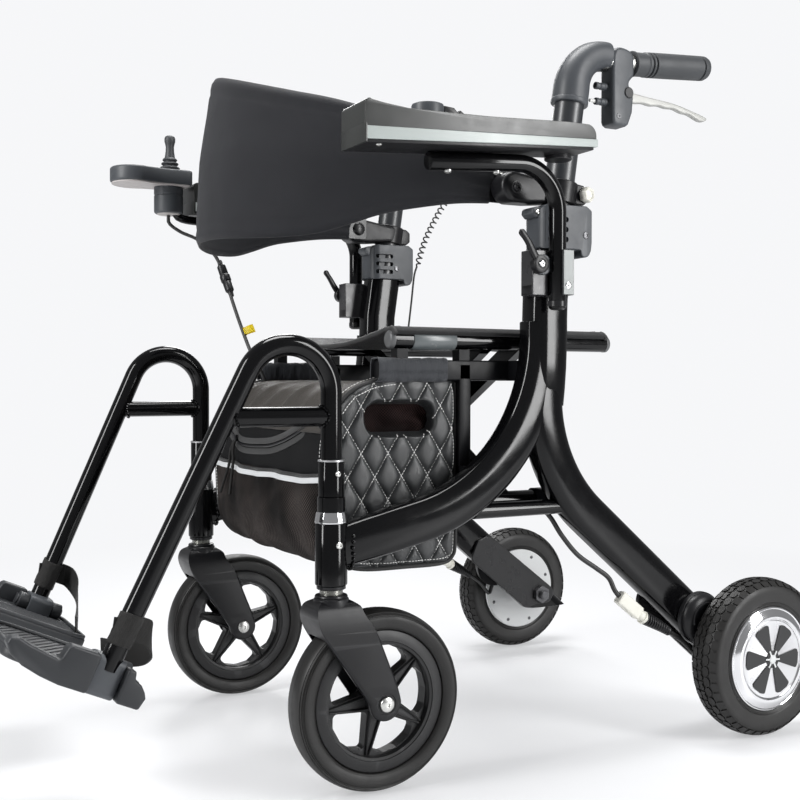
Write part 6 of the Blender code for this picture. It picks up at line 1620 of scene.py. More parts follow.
def joystick():
    x = JOY.x
    lobe_y = -0.136
    radius = 0.033
    half = 0.026
    rear = -0.0575
    lobe = arc((x, lobe_y), radius, 172, 368, 48)
    outline = lobe + [(x + radius * 0.9, lobe_y + 0.014), (x + half + 0.0012, lobe_y + 0.026),
        (x + half, lobe_y + 0.036)]
    outline += arc((x + half - 0.006, rear - 0.006), 0.006, 0, 90, 8)
    outline += arc((x - half + 0.006, rear - 0.006), 0.006, 90, 180, 8)
    outline += [(x - half, lobe_y + 0.036), (x - half - 0.0012, lobe_y + 0.026),
        (x - radius * 0.9, lobe_y + 0.014)]
    slab = soften(prism(outline, 0.7285, JOY.z, "Z"), 0.0034, 4, 60)
    cup = [(0, -0.0152)]
    for angle in range(-80, 1, 8):
        cup.append((0.0152 * cos(radians(angle)), 0.0152 * sin(radians(angle))))
    cup += mm(15.5, 0, 15.5, 10, 0, 10)
    button_y = -0.14
    slab = carve(slab, "DIFFERENCE", [turned(cup, JOY, Z, 64),
        turned(mm(0, -5, 6.3, -5, 6.3, 10, 0, 10), (x, button_y, JOY.z), Z, 40)])
    stem = turned(mm(0, 689, 18, 689, 20, 690.5, 20.5, 693, 20.5, 714, 19.8, 714.8, 19.8, 716, 20.5,
        716.8, 20.5, 732, 0, 732), (x, JOY.y - 0.002, 0), Z, 72)
    rod_z = 0.683
    mount = tube(smooth_route([(x, JOY.y + 0.006, rod_z + 0.019), (x, JOY.y + 0.022, rod_z),
        (x, 0.0398, rod_z)], 0.006), 0.006, 28)
    tube_z = pad_bottom(0.041) - ARM_ROOM
    stop = soften(box((x - 0.008, 0.0278, tube_z - 0.0085),
        (x + 0.008, 0.0398, tube_z + 0.0075)), 0.0015, 2)
    piece("joystick_pod", joined(slab, stem), "charcoal", "armrest_right", "joystick_pod",
        slot="charcoal_plastic", bevel=0.0005, smooth=34)
    piece("joystick_mount", joined(mount, stop), "frame", "armrest_right", smooth=34)
    plate = [(x + (px - x) * 0.955, lobe_y + 0.012 + (py - lobe_y - 0.012) * 0.955) for px, py in outline]
    base = soften(prism(plate, 0.7268, 0.7292, "Z"), 0.0008, 2, 60)
    foot = turned(mm(0, 687.8, 15, 687.8, 16.5, 689.2, 0, 689.2), (x, JOY.y - 0.002, 0), Z, 56)
    piece("joystick_base", joined(base, foot), "pale", "armrest_right", smooth=34)
    low = 0.0148 * 0.91
    profile = [(0, -low)]
    for share in np.linspace(0, 1, 9):
        depth = low + (0.0055 - low) * share
        profile.append((sqrt(0.0148 ** 2 - depth ** 2), -depth))
    profile.append((0, -0.0055))
    piece("joystick_gimbal", turned(profile, JOY, Z, 56), "steel", "gimbal", "joystick_gimbal",
        slot="steel")
    tall = 0.801 - JOY.z
    line = [(0, -0.0052), (0.0031, -0.0042), (0.0052, 0), (0.0052, 0.0012), (0.0132, 0.0026),
        (0.014, 0.0036), (0.014, 0.0052), (0.013, 0.0062), (0.01, 0.0074), (0.0098, 0.0084),
        (0.0116, 0.0094), (0.0123, 0.0106), (0.0116, 0.012), (0.0088, 0.0132), (0.0086, 0.0142),
        (0.01, 0.0152), (0.0105, 0.0164), (0.0098, 0.0178), (0.0074, 0.0196), (0.0068, 0.023),
        (0.006, 0.029), (0.0058, 0.035), (0.0066, tall - 0.012), (0.0076, tall - 0.0085),
        (0.0077, tall - 0.0045), (0.0068, tall - 0.0016), (0.0045, tall), (0, tall)]
    piece("joystick_stick", turned(line, JOY, Z, 64), "grip", "stick", "joystick_stick",
        slot="grip_rubber", smooth=40)
    low_z = JOY.z - 0.0025
    cap = turned(mm(0, 0, 6, 0, 6, 3, 5.5, 3.7, 4, 4, 3, 3.6, 0, 3.5), (x, button_y, low_z), Z, 48)
    piece("power_button", cap, "case", "button", "power_button", slot="case_plastic", smooth=30)
    ring = turned(mm(6.4, -0.6, 7.8, -0.6, 8, 0.4, 7.2, 0.9, 6.4, 0.5), (x, button_y, JOY.z), Z, 48)
    piece("button_ring", ring, "alloy", "armrest_right", smooth=30)


# Footrests
HANGER_TURN = radians(90 - HANGER_SLOPE)
HANGER_BEND = 0.05
BEND_Z = 0.437
BEND_END = Vector((SIDE_X, HEAD_Y - HANGER_BEND - HANGER_BEND * cos(HANGER_TURN),
    BEND_Z + HANGER_BEND * sin(HANGER_TURN)))


def plate_space(mesh):
    turn = Matrix.Rotation(-PLATE_ANGLE, 4, "X")
    return moved(mesh, Matrix.Translation((0, PLATE_HINGE.y, PLATE_HINGE.z)) @ turn)


def hangers():
    path = [Vector((SIDE_X, HEAD_Y, 0.352))]
    for y, z in arc((HEAD_Y - HANGER_BEND, BEND_Z), HANGER_BEND, 0, 180 - degrees(HANGER_TURN), 34):
        path.append(Vector((SIDE_X, y, z)))
    foot = Vector((HANGER_FOOT_X, *PLATE_HINGE.yz))
    start = path[-1]
    for share in (0.02, 0.06, 0.2, 0.5, 0.8, 1.0):
        path.append(start.lerp(foot, share))
    bent = tube(path, 0.0115, 44)
    pin_top = 0.315 + 0.0097 + GAP
    sleeve = turned([(0, pin_top), (0.0134, pin_top), (0.014, pin_top + 0.0006), (0.014, 0.3634),
        (0.0136, 0.364), (0, 0.364)], (SIDE_X, HEAD_Y, 0), Z, 56)
    bar_z = 0.411
    down = (BEND_END.z - bar_z) / tan(radians(HANGER_SLOPE))
    lean = (SIDE_X - HANGER_FOOT_X) * (BEND_END.z - bar_z) / (BEND_END.z - PLATE_HINGE.z)
    left = Vector((SIDE_X - lean, BEND_END.y - down, bar_z))
    right = Vector((SIDE_X, HEAD_Y, bar_z))
    bar = rod(left, right, 0.0105, 36)
    beads = []
    for centre, towards in ((left, (right - left).normalized()), (right, (left - right).normalized())):
        for turn in range(0, 360, 18):
            angle = radians(turn)
            aside = Vector((cos(angle), 0, sin(angle))) * 0.0108
            reach = sqrt(0.0115 ** 2 - (0.01 * cos(angle)) ** 2) + 0.0014
            beads.append(turned(mm(0, -1.7, 2, -0.8, 2, 0.8, 0, 1.7), centre + towards * reach + aside,
                towards, 10))
    pin = plate_space(rod((0.17, -0.027, 0), (0.17, 0.027, 0), 0.004))
    pair("footrest_hanger", joined(bent, sleeve, bar, *beads), "frame", "hanger_{}", "footrest_hanger_{}",
        slot="frame_black", smooth=36)
    casting_outline = round_corners(mm(158, -12.5, 170, -28.5, 197, -28.5, 197, 12.5, 170, 12.5, 158,
        10), 0.006, 5)
    casting = soften(prism(casting_outline, -0.015, 0.015, "Y"), 0.0016, 2, 60)
    pair("hanger_casting", plate_space(casting), "charcoal", "hanger_{}", smooth=34)
    pair("plate_pin", pin, "steel", "hanger_{}")
    thin = turned(mm(13.6, 362.5, 14.6, 362.8, 14.6, 364.6, 13.6, 365), (SIDE_X, HEAD_Y, 0), Z, 56)
    pair("sleeve_band", thin, "alloy", "hanger_{}", smooth=30)
    screw = hex_screw((SIDE_X + 0.0138, HEAD_Y + 0.0015, 0.35), (1, 0.15, 0), 0.0034, 0.002)
    pair("sleeve_screw", screw, "steel", "hanger_{}", smooth=28)


def plate_outline():
    front = -0.107
    rear = 0.0435
    inner = 0.05
    edge = 0.203
    corners = [(edge, front + 0.004), (edge - 0.04, front), (inner + 0.012, front), (inner, front + 0.03),
        (inner, rear - 0.02), (inner + 0.006, rear - 0.001), (edge, rear - 0.001)]
    outline = round_corners(corners, 0.03, 12)
    return outline


def footplates():
    notch = 0.0153
    low = -0.019
    top = -0.008
    base = soften(prism(plate_outline(), low, top, "Z"), 0.0026, 3, 60)
    gap = box((0.1535, -notch, -0.05), (0.23, notch, 0.05))
    base = carve(base, "DIFFERENCE", [gap])
    front = -0.107
    rear = 0.0435
    outer = 0.207
    wall_x = outer - 0.019
    front_wall = [(-notch, -0.027), (-notch, 0.013), (-notch - 0.031, 0.013), (-notch - 0.0345, 0.01),
        (-notch - 0.037, -0.004), (front + 0.022, 0.001), (front + 0.01, 0.004), (front + 0.001, 0.002),
        (front, -0.005), (front + 0.007, -0.013), (front + 0.022, -0.02), (front + 0.042, -0.0245),
        (front + 0.062, -0.027)]
    rear_wall = [(notch, -0.027), (notch, 0.0085), (notch + 0.0085, 0.0085), (notch + 0.011, 0.0),
        (notch + 0.019, -0.003), (rear - 0.003, -0.009), (rear, -0.014), (rear - 0.003, -0.027)]
    front_block = soften(prism(round_corners(front_wall, 0.0035, 4), wall_x, outer), 0.0024, 3, 60)
    rear_block = soften(prism(round_corners(rear_wall, 0.003, 4), wall_x, outer), 0.0024, 3, 60)
    parts = [base, front_block, rear_block]
    outline = plate_outline()
    middle = Vector((0.125, -0.032))
    rim_path = []
    for x, y in outline:
        spot = Vector((x, y))
        inward = (middle - spot).normalized()
        drawn = spot + inward * 0.0042
        rim_path.append((drawn.x, drawn.y))
    lip = []
    for x, y in rim_path:
        if x < 0.186:
            lip.append(Vector((x, y, top + 0.0012)))
    start = max(range(len(lip)), key=lambda index: (lip[index] - lip[index - 1]).length)
    lip = lip[start:] + lip[:start]
    parts.append(sweep(lip, lambda index: ellipse(0.0058, 0.0052, 16, 0.8), Z))
    for sign in (-1, 1):
        start_y = sign * notch
        end_y = sign * (notch + 0.013)
        parts.append(soften(rod((0.17, start_y, 0), (0.17, end_y, 0), 0.0105, 36), 0.001, 2, 70))
        parts.append(box((0.164, min(start_y, end_y), low + 0.001),
            (wall_x + 0.003, max(start_y, end_y), 0.0055)))
        boss = turned(mm(0, 0, 6.2, 0, 6, 1.8, 4, 2.6, 0, 2.8), (0.17, end_y, 0), (0, sign, 0), 32)
        parts.append(boss)
    for number in range(-9, 26):
        along = number * 0.0072
        first = Vector((0.058, front + 0.012 + along))
        last = first + Vector((0.118, -0.062))
        clipped = clip_line(first, last, 0.06, 0.184, front + 0.0125, rear - 0.0085)
        if not clipped:
            continue
        (x0, y0), (x1, y1) = clipped
        if x1 > 0.15 and max(y0, y1) > -notch - 0.004 and min(y0, y1) < notch + 0.004:
            reach = (0.15 - x0) / (x1 - x0)
            if reach <= 0.1:
                continue
            x1, y1 = 0.15, y0 + (y1 - y0) * reach
        parts.append(sweep([(x0, y0, top + 0.0002), (x1, y1, top + 0.0002)], lambda index: [
            (-0.0011, -0.0008), (0.0011, -0.0008), (0.0005, 0.0008), (-0.0005, 0.0008)], Z))
    pair("footplate", plate_space(joined(*parts)), "plate", "footplate_{}", "footplate_{}",
        slot="charcoal_plastic", bevel=0.0004, smooth=34)


def straps():
    """Woven heel straps, wound round the hangers' feet and looped back to the plates' inner edges."""
    foot = Vector((HANGER_FOOT_X, *PLATE_HINGE.yz))
    upward = (BEND_END - foot).normalized()
    first = foot + upward * 0.024
    length = 0.034
    across = Vector(X)
    across = (across - upward * across.dot(upward)).normalized()
    beside = upward.cross(across)
    rows = 24
    around = 72

    def place(row, column):
        share = row / (rows - 1)
        angle = 2 * pi * column / around
        radius = 0.0128 + 0.0012 * max(0.0, cos(angle + 0.6)) ** 4
        radius += 0.0006 * cloth_noise((share * 2, cos(angle), sin(angle)), 3.0, 2.0)
        slant = 0.003 * cos(angle)
        spot = first + upward * (share * length + slant)
        return spot + (across * cos(angle) + beside * sin(angle)) * radius, share * length, angle * 0.013

    mesh = close_up(grid_sheet(rows, around, place, wrap=True))
    tail = []
    for step in range(7):
        share = step / 6
        tail.append(first + upward * (length * 0.42) - beside * 0.013 * (1 - share * 0.2)
            + Vector((-0.004, 0.03, -0.003)) * share + across * 0.004 * sin(share * 3))
    loop = [foot + upward * 0.041 + Vector((0.0, 0.013, 0.0)), (0.186, -0.244, 0.191),
        (0.172, -0.238, 0.176), (0.15, -0.241, 0.163), (0.12, -0.248, 0.156), (0.09, -0.255, 0.153),
        (0.064, -0.262, 0.151)]
    loop = smooth_route(loop, 0.004)
    strap_width = 0.026
    for side, sign, wound in (("left", 1, mesh), ("right", -1, mirrored(mesh))):
        item = piece(f"strap_wrap_{side}", wound, "webbing", f"hanger_{side}", smooth=60)
        thicken(item, 0.0016)
        line = [Vector((sign * point.x, point.y, point.z)) for point in loop]
        ribbon = metre_strip(line, strap_width, 0.002)
        band = piece(f"strap_loop_{side}", ribbon, "webbing", None, smooth=60)
        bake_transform(band)
    tail_path = smooth_route(tail, 0.004)
    for end in pair("strap_tail", metre_strip(tail_path, 0.024, 0.002), "webbing", "hanger_{}",
            smooth=60):
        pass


def metre_strip(line, width, thick):
    """A flat strap along a line, standing on edge, with a UV map in metres on both faces."""
    rows = len(line)
    walked = [0.0]
    for p, q in zip(line, line[1:]):
        walked.append(walked[-1] + (q - p).length)
    profile = [(-0.5, -0.5), (-0.5, 0.5), (0.5, 0.5), (0.5, -0.5)]

    def place(row, column):
        ahead = line[min(row + 1, rows - 1)] - line[max(row - 1, 0)]
        along = ahead.normalized()
        up = (Vector(Z) - along * along.z).normalized()
        out = along.cross(up)
        a, b = profile[column]
        return line[row] + up * (b * width) + out * (a * thick), b * width, walked[row]

    mesh = grid_sheet(rows, 4, place, wrap=True)
    ends = [edge for edge in mesh.edges if edge.is_boundary]
    bmesh.ops.holes_fill(mesh, edges=ends, sides=0)
    return close_up(mesh)


def clip_line(first, last, low_x, high_x, low_y, high_y):
    """The part of a line inside a rectangle, or None."""
    enter = 0.0
    leave = 1.0
    for start, step, low, high in ((first.x, last.x - first.x, low_x, high_x),
            (first.y, last.y - first.y, low_y, high_y)):
        if abs(step) < 1e-9:
            if start < low or start > high:
                return None
            continue
        a, b = sorted(((low - start) / step, (high - start) / step))
        enter = max(enter, a)
        leave = min(leave, b)
    if leave - enter < 0.03:
        return None
    one = first.lerp(last, enter)
    two = first.lerp(last, leave)
    return (one.x, one.y), (two.x, two.y)


# Cords
def route_tube(route, spacing, radius, sides=16):
    path = smooth_route(route, spacing)
    return path, tube(path, radius, sides)


def cords():
    stem_y = JOY.y - 0.002
    route = [(JOY.x, stem_y, 0.6874), (JOY.x, stem_y + 0.001, 0.676), (-0.256, -0.07, 0.664),
        (-0.245, -0.046, 0.652), (-0.234, -0.026, 0.63), (-0.22, -0.016, 0.598), (-0.2, -0.012, 0.562),
        (-0.176, -0.006, 0.52), (-0.154, 0.0, 0.485), (-0.148, 0.012, 0.46), (-0.147, 0.022, 0.4355)]
    path, mesh = route_tube(route, 0.0045, 0.0025)
    cable = piece("joystick_cable", mesh, "cable", "armrest_right", "joystick_cable",
        slot="cable_rubber", smooth=60)
    joint = joint_on(path, 0.42)
    body = piece("cable_joint", joint, "nylon", "armrest_right", smooth=30)
    tag = piece("cable_tag", tag_on(path, 0.71), "yellow", "armrest_right", smooth=40)
    coil_x = -0.2035
    top = Vector((coil_x, GRIP_Y + GAP + HOUSING_LONG * 0.5, 0.7627))
    coil_route = [top, (coil_x, 0.35, 0.745), (coil_x, 0.33, 0.715), (coil_x, 0.306, 0.672),
        (coil_x, 0.29, 0.628)]
    helix = helix_round(smooth_route(coil_route, 0.001), 0.0038, 17.5, 26)
    mesh = tube(helix, 0.00115, 10)
    coil = piece("brake_coil", mesh, "cable", "handle_right", "brake_coil",
        slot="cable_rubber", smooth=60)
    lead_route = [(coil_x, 0.2898, 0.6277), (coil_x, 0.285, 0.612), (coil_x, 0.28, 0.57),
        (coil_x, 0.2735, 0.522), (coil_x, 0.266, 0.48), (-0.206, 0.257, 0.452), (-0.212, 0.2522, 0.44)]
    path, mesh = route_tube(lead_route, 0.004, 0.0015, 12)
    lead = piece("brake_lead", mesh, "cable", "right_side", "brake_lead", slot="cable_rubber", smooth=60)
    motor_leads()


def joint_on(path, share):
    """The in-line connector: two round bodies with a knurled collar between them."""
    index = int(share * (len(path) - 1))
    centre = path[index]
    along = (path[index + 2] - path[index - 2]).normalized()
    profile = mm(2, -30, 3.4, -29.5, 4, -23, 5.2, -21.5, 6.2, -20, 6.4, -8, 5.8, -6.8, 5.8, -5.8, 7, -5,
        7.4, -4.2, 7.4, 4.2, 7, 5, 5.8, 5.8, 5.8, 6.8, 6.4, 8, 6.2, 20, 5.2, 21.5, 4, 23, 3.4,
        29.5, 2, 30)
    return turned(profile, centre, along, 40)


def tag_on(path, share):
    """A plain folded label round the cable."""
    index = int(share * (len(path) - 1))
    centre = path[index]
    along = (path[index + 1] - path[index - 1]).normalized()
    across = Vector((0.55, 0.78, 0.0)).normalized()
    across = (across - along * across.dot(along)).normalized()
    out = along.cross(across)
    mesh = bmesh.new()
    rows = []
    for step in range(25):
        turn = step / 24
        if turn < 0.4:
            spot = across * (0.0165 - turn / 0.4 * 0.0135) + out * (0.002 + 0.0009 * sin(turn * 9))
        elif turn < 0.6:
            angle = (turn - 0.4) / 0.2 * pi
            spot = across * (-0.003 * sin(angle)) + out * (0.0029 * cos(angle)) + across * 0.003
        else:
            spot = across * (0.003 + (turn - 0.6) / 0.4 * 0.0135) + out * (-0.002 - 0.0009
                * sin(turn * 7))
        rows.append([mesh.verts.new(centre + spot + along * side * 0.0055) for side in (-1, 1)])
    for row, following in zip(rows, rows[1:]):
        mesh.faces.new((row[0], row[1], following[1], following[0]))
    bmesh.ops.solidify(mesh, geom=mesh.faces[:], thickness=0.0003)
    close_up(mesh)
    # solidify's faces come in an order that changes between runs, so they are sorted by place
    by_place = sorted(mesh.faces, key=lambda face: tuple(face.calc_center_median()))
    for place, face in enumerate(by_place):
        face.index = place
    mesh.faces.sort()
    return mesh


def helix_round(path, radius, turns, per_turn):
    count = int(turns * per_turn)
    spots = []
    side = Vector(X)
    for step in range(count + 1):
        share = step / count
        exact = share * (len(path) - 1)
        index = min(int(exact), len(path) - 2)
        base = path[index].lerp(path[index + 1], exact - index)
        along = (path[index + 1] - path[index]).normalized()
        aside = (side - along * side.dot(along)).normalized()
        across = along.cross(aside)
        angle = 2 * pi * turns * share
        ease = min(1.0, share * 30, (1 - share) * 30)
        spots.append(base + (aside * cos(angle) + across * sin(angle)) * radius * ease)
    return spots


def motor_leads():
    """The motors' leads hang under the rear legs, each with a connector and a ribbed boot."""
    lug_z = BRACE_Z - 0.011 - 0.0005
    cover_z = leg_height(COVER_Y)
    cover_x = SIDE_X + LEG_HALF + GAP + 0.0175 * 0.5
    route = [(0.196, 0.2465, lug_z - 0.0038), (0.2, 0.253, 0.28), (0.205, 0.264, 0.2605),
        (0.21, 0.284, 0.2365), (0.216, 0.308, 0.219), (0.221, 0.3235, 0.2065), (0.226, 0.33, 0.19),
        (0.229, 0.344, 0.1755), (0.232, 0.3645, 0.1588), (0.235, 0.401, 0.1385), (0.238, 0.429, 0.12),
        (cover_x, 0.45, cover_z - 0.047), (cover_x, COVER_Y, cover_z - 0.0348)]
    path, mesh = route_tube(route, 0.004, 0.003)
    pair("motor_cable", mesh, "cable", "{}_side", "motor_cable_{}", slot="cable_rubber", smooth=60)
    first = Vector((0.229, 0.3385, 0.18))
    last = Vector((0.2315, 0.3645, 0.1588))
    along = (last - first).normalized()
    block = sweep([first - along * 0.006, first - along * 0.005, last - along * 0.004,
        last - along * 0.003], lambda index: ellipse(0.017 if index in (1, 2) else 0.0155,
        0.0125 if index in (1, 2) else 0.011, 36, 0.35))
    neck = turned(mm(3.6, -4, 6.6, -4, 7, 0, 7, 4, 8.4, 4.5, 8.4, 8, 3.6, 8.5), last, along, 40)
    pair("cable_plug", joined(block, neck), "white", "{}_side", smooth=35)
    nearest = min(range(len(path)), key=lambda index: (path[index] - last).length) + 1
    boot = []
    for number in range(11):
        index = min(nearest + 1 + number, len(path) - 2)
        direction = (path[index + 1] - path[index - 1] + Vector((0.0, 0.0, 0.002))).normalized()
        wide = 0.0088 - 0.0003 * number
        boot.append(turned([(0.003, -0.0021), (0.0054, -0.0021), (wide, -0.001), (wide, 0.0004),
            (0.0054, 0.0016), (0.003, 0.0021)], path[index], direction, 36))
    pair("cable_boot", joined(*boot), "nylon", "{}_side", smooth=30)


# Soft goods
def cloth_noise(point, scale, seed=0.0):
    return noise.noise(Vector(point) * scale + Vector((seed, seed * 1.7, -seed)))


def grid_sheet(rows, columns, place, wrap=False):
    """An open grid with a UV map in metres. place(i, j) gives (point, u, v)."""
    mesh = bmesh.new()
    layer = mesh.loops.layers.uv.new("metres")
    verts = []
    coords = {}
    for row in range(rows):
        line = []
        for column in range(columns):
            point, u, v = place(row, column)
            vert = mesh.verts.new(point)
            coords[vert] = (u, v)
            line.append(vert)
        verts.append(line)
    for row in range(rows - 1):
        for column in range(columns if wrap else columns - 1):
            turn = (column + 1) % columns
            face = mesh.faces.new((verts[row][column], verts[row][turn], verts[row + 1][turn],
                verts[row + 1][column]))
            for loop in face.loops:
                loop[layer].uv = coords[loop.vert]
    return mesh


def stitches(path, outward, pitch=0.0034, length=0.0024, thick=0.0008, proud=0.0001):
    """Short rounded threads laid along a path."""
    mesh = bmesh.new()
    walked = 0.0
    target = pitch / 2
    ring_shape = [(cos(radians(a)), sin(radians(a))) for a in range(0, 360, 60)]
    for index in range(len(path) - 1):
        stretch = (path[index + 1] - path[index]).length
        while stretch > 0 and walked + stretch >= target:
            share = (target - walked) / stretch
            centre = path[index].lerp(path[index + 1], share)
            along = (path[index + 1] - path[index]).normalized()
            out = outward[index].lerp(outward[index + 1], share)
            out = (out - along * out.dot(along)).normalized()
            aside = along.cross(out)
            centre = centre + out * proud
            rings = []
            for reach, wide in ((-0.5, 0.25), (-0.34, 0.9), (0.34, 0.9), (0.5, 0.25)):
                base = centre + along * reach * length
                rings.append([mesh.verts.new(base + (aside * a + out * b) * thick / 2 * wide)
                    for a, b in ring_shape])
            for ring, following in zip(rings, rings[1:]):
                for step in range(6):
                    turn = (step + 1) % 6
                    mesh.faces.new((ring[step], ring[turn], following[turn], following[step]))
            mesh.faces.new(rings[0])
            mesh.faces.new(rings[-1])
            target += pitch
        walked += stretch
    return close_up(mesh)


BAG_LOW = 0.235
BAG_HIGH = 0.4475
BAG_SIDE = 0.178


def bag_profile():
    """Side view of the bag's skin from the rear top, down, forward and up to the flap's rear edge."""
    line = [(0.1262, BAG_HIGH), (0.1268, 0.42), (0.1275, 0.34), (0.127, 0.262), (0.1235, 0.243),
        (0.108, 0.2355), (0.06, 0.235), (0.008, 0.2362), (-0.02, 0.244), (-0.0345, 0.262),
        (-0.0405, 0.287), (-0.0425, 0.32), (-0.0425, 0.35), (-0.0395, 0.386), (-0.031, 0.412),
        (-0.016, 0.432), (0.002, 0.443), (0.026, 0.45), (0.045, 0.452)]
    return smooth_outline(line, 16)


def even_line(points, spacing):
    points = [Vector((a, b, 0)) for a, b in points]
    lengths = [0.0]
    for p, q in zip(points, points[1:]):
        lengths.append(lengths[-1] + (q - p).length)
    count = max(2, round(lengths[-1] / spacing))
    marks = np.linspace(0, lengths[-1], count + 1)
    ys = np.interp(marks, lengths, [p.x for p in points])
    zs = np.interp(marks, lengths, [p.y for p in points])
    return marks, ys, zs


def bag_ends(z):
    """Front and rear edge of the side panel at height z."""
    ys, zs = SKIN[1:]
    low = int(np.argmin(zs))
    rear = float(np.interp(z, zs[:low + 1][::-1], ys[:low + 1][::-1]))
    front = float(np.interp(z, zs[low:], ys[low:]))
    return front, rear


SKIN = even_line(bag_profile(), 0.003)


def quilt_height(y, z):
    a = (y - 0.001) / 0.0344 + (z - 0.4207) / 0.0536
    b = (y - 0.001) / 0.0344 - (z - 0.4207) / 0.0536
    spread = abs(sin(pi * a)) * abs(sin(pi * b))
    return sin(pi / 2 * spread ** 0.5)


def slot_distance(y, z):
    """Signed distance to the hand slot's rounded outline, negative inside."""
    away_y = abs(y - 0.05) - 0.0425 + 0.015
    away_z = abs(z - 0.4065) - 0.0168 + 0.015
    outside = hypot(max(away_y, 0.0), max(away_z, 0.0))
    return outside + min(max(away_y, away_z), 0.0) - 0.015


def side_panel_x(y, z):
    """How far the quilted side panel stands out at a point."""
    front, rear = bag_ends(min(z, 0.4515))
    edge = min(y - front, rear - y, z - BAG_LOW, 0.45 - z + 0.006)
    ease = min(1.0, max(0.0, edge) / 0.016)
    ease = sin(ease * pi / 2)
    crown = 0.0045 * ease
    near_slot = max(0.0, min(1.0, (slot_distance(y, z) + 0.001) / 0.009))
    near_slot = near_slot * near_slot * (3 - 2 * near_slot)
    puff = 0.0056 * quilt_height(y, z) * min(1.0, max(0.0, edge) / 0.006)
    puff = puff * near_slot + 0.003 * (1 - near_slot) * near_slot * 3
    lip = -0.0095 * (1 - near_slot) ** 2
    crease = 0.0006 * cloth_noise((0.3, y, z), 46.0) + 0.0009 * cloth_noise((1.3, y, z), 17.0)
    return BAG_SIDE - 0.0022 + crown + puff + lip + crease * ease


def bag_sides():
    rows = 190
    columns = 150
    top = 0.45

    def place(row, column):
        z = BAG_LOW + 0.0006 + (top - BAG_LOW - 0.0006) * row / (rows - 1)
        front, rear = bag_ends(z)
        share = column / (columns - 1)
        y = front + 0.0005 + (rear - front - 0.001) * share
        return Vector((side_panel_x(y, z), y, z)), y, z

    panel = grid_sheet(rows, columns, place)
    doomed = [face for face in panel.faces
        if slot_distance(face.calc_center_median().y, face.calc_center_median().z) < -0.0008]
    bmesh.ops.delete(panel, geom=doomed, context="FACES")
    twin = mirrored(panel)
    for side, mesh in (("left", panel), ("right", twin)):
        node = "bag" if side == "left" else None
        skin = bag_piece(f"bag_panel_{side}", mesh, "quilt", node, "bag_vinyl", 70, thick=0.0016)
    for side in ("left", "right"):
        seams = seam_lines()
        inner = slot_mesh()
        if side == "right":
            seams = mirrored(seams)
            inner = mirrored(inner)
        bag_piece(f"bag_thread_{side}", seams, "thread")
        back = bag_piece(f"slot_mesh_{side}", inner, "mesh_brown")


def seam_lines():
    """White threads on the diamonds of one side panel."""
    parts = []
    for slope in (-1, 1):
        for number in range(-9, 14):
            path = []
            outward = []
            for step in range(160):
                z = BAG_LOW + 0.004 + (0.448 - BAG_LOW - 0.004) * step / 159
                y = 0.001 + number * 0.0344 + slope * (z - 0.4207) * 0.0344 / 0.0536
                front, rear = bag_ends(z)
                if y < front + 0.004 or y > rear - 0.004 or slot_distance(y, z) < 0.002:
                    if len(path) > 3:
                        parts.append(stitches(path, outward, 0.0036, 0.0026, 0.0012))
                    path = []
                    outward = []
                    continue
                path.append(Vector((side_panel_x(y, z) + 0.0011, y, z)))
                outward.append(Vector(X))
            if len(path) > 3:
                parts.append(stitches(path, outward, 0.0036, 0.0026, 0.0012))
    return joined(*parts)


def slot_mesh():
    """The netting behind the hand slot, slightly slack."""
    rows = 26
    columns = 56

    def place(row, column):
        y = 0.003 + 0.094 * column / (columns - 1)
        z = 0.385 + 0.043 * row / (rows - 1)
        sag = 0.004 * sin(pi * column / (columns - 1)) * sin(pi * row / (rows - 1))
        wave = 0.0085 * cloth_noise((0.0, y, z * 1.6), 42.0, 3.0)
        return Vector((BAG_SIDE - 0.012 + wave - sag, y, z)), y, z

    return grid_sheet(rows, columns, place)


def thicken(item, amount):
    modifier = item.modifiers.new("thickness", "SOLIDIFY")
    modifier.thickness = amount
    modifier.offset = -1.0


def bag_piece(name, mesh, material, node=None, slot=None, smooth=60, thick=0.0):
    """A piece of the bag on the left side's body, thickened if asked, with a mesh of its own."""
    item = piece(name, mesh, material, "left_side", node, slot=slot, smooth=smooth)
    if thick:
        thicken(item, thick)
    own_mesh(item)
    return item


def skin_frame(index):
    """Point and outward direction of the skin line at a sample."""
    marks, ys, zs = SKIN
    ahead = min(index + 1, len(marks) - 1)
    behind = max(index - 1, 0)
    along = Vector((0, ys[ahead] - ys[behind], zs[ahead] - zs[behind])).normalized()
    out = Vector((0, along.z, -along.y))
    spot = Vector((0, ys[index], zs[index]))
    inside = Vector((0, 0.045, 0.34))
    return spot, -out if out.dot(spot - inside) < 0 else out


def skin_strip(name, first, last, material, lift, wrinkle, slot=None):
    """Part of the bag's skin between two samples, across the whole width."""
    marks = SKIN[0]
    rows = last - first + 1
    columns = 150
    half = BAG_SIDE - 0.0012

    def place(row, column):
        base, out = skin_frame(first + row)
        share = column / (columns - 1)
        x = -half + 2 * half * share
        rim = min(1.0, (half - abs(x)) / 0.02)
        rim = sin(rim * pi / 2)
        rise = lift(x, base, row / (rows - 1)) * rim + wrinkle(x, base, row / (rows - 1)) * rim
        point = Vector((x, base.y, base.z)) + out * rise
        return point, x, marks[first + row]

    mesh = grid_sheet(rows, columns, place)
    return bag_piece(name, mesh, material, slot=slot, smooth=70, thick=0.0014)


def skin_index(y, z):
    ys, zs = SKIN[1:]
    return int(np.argmin((ys - y) ** 2 + (zs - z) ** 2))


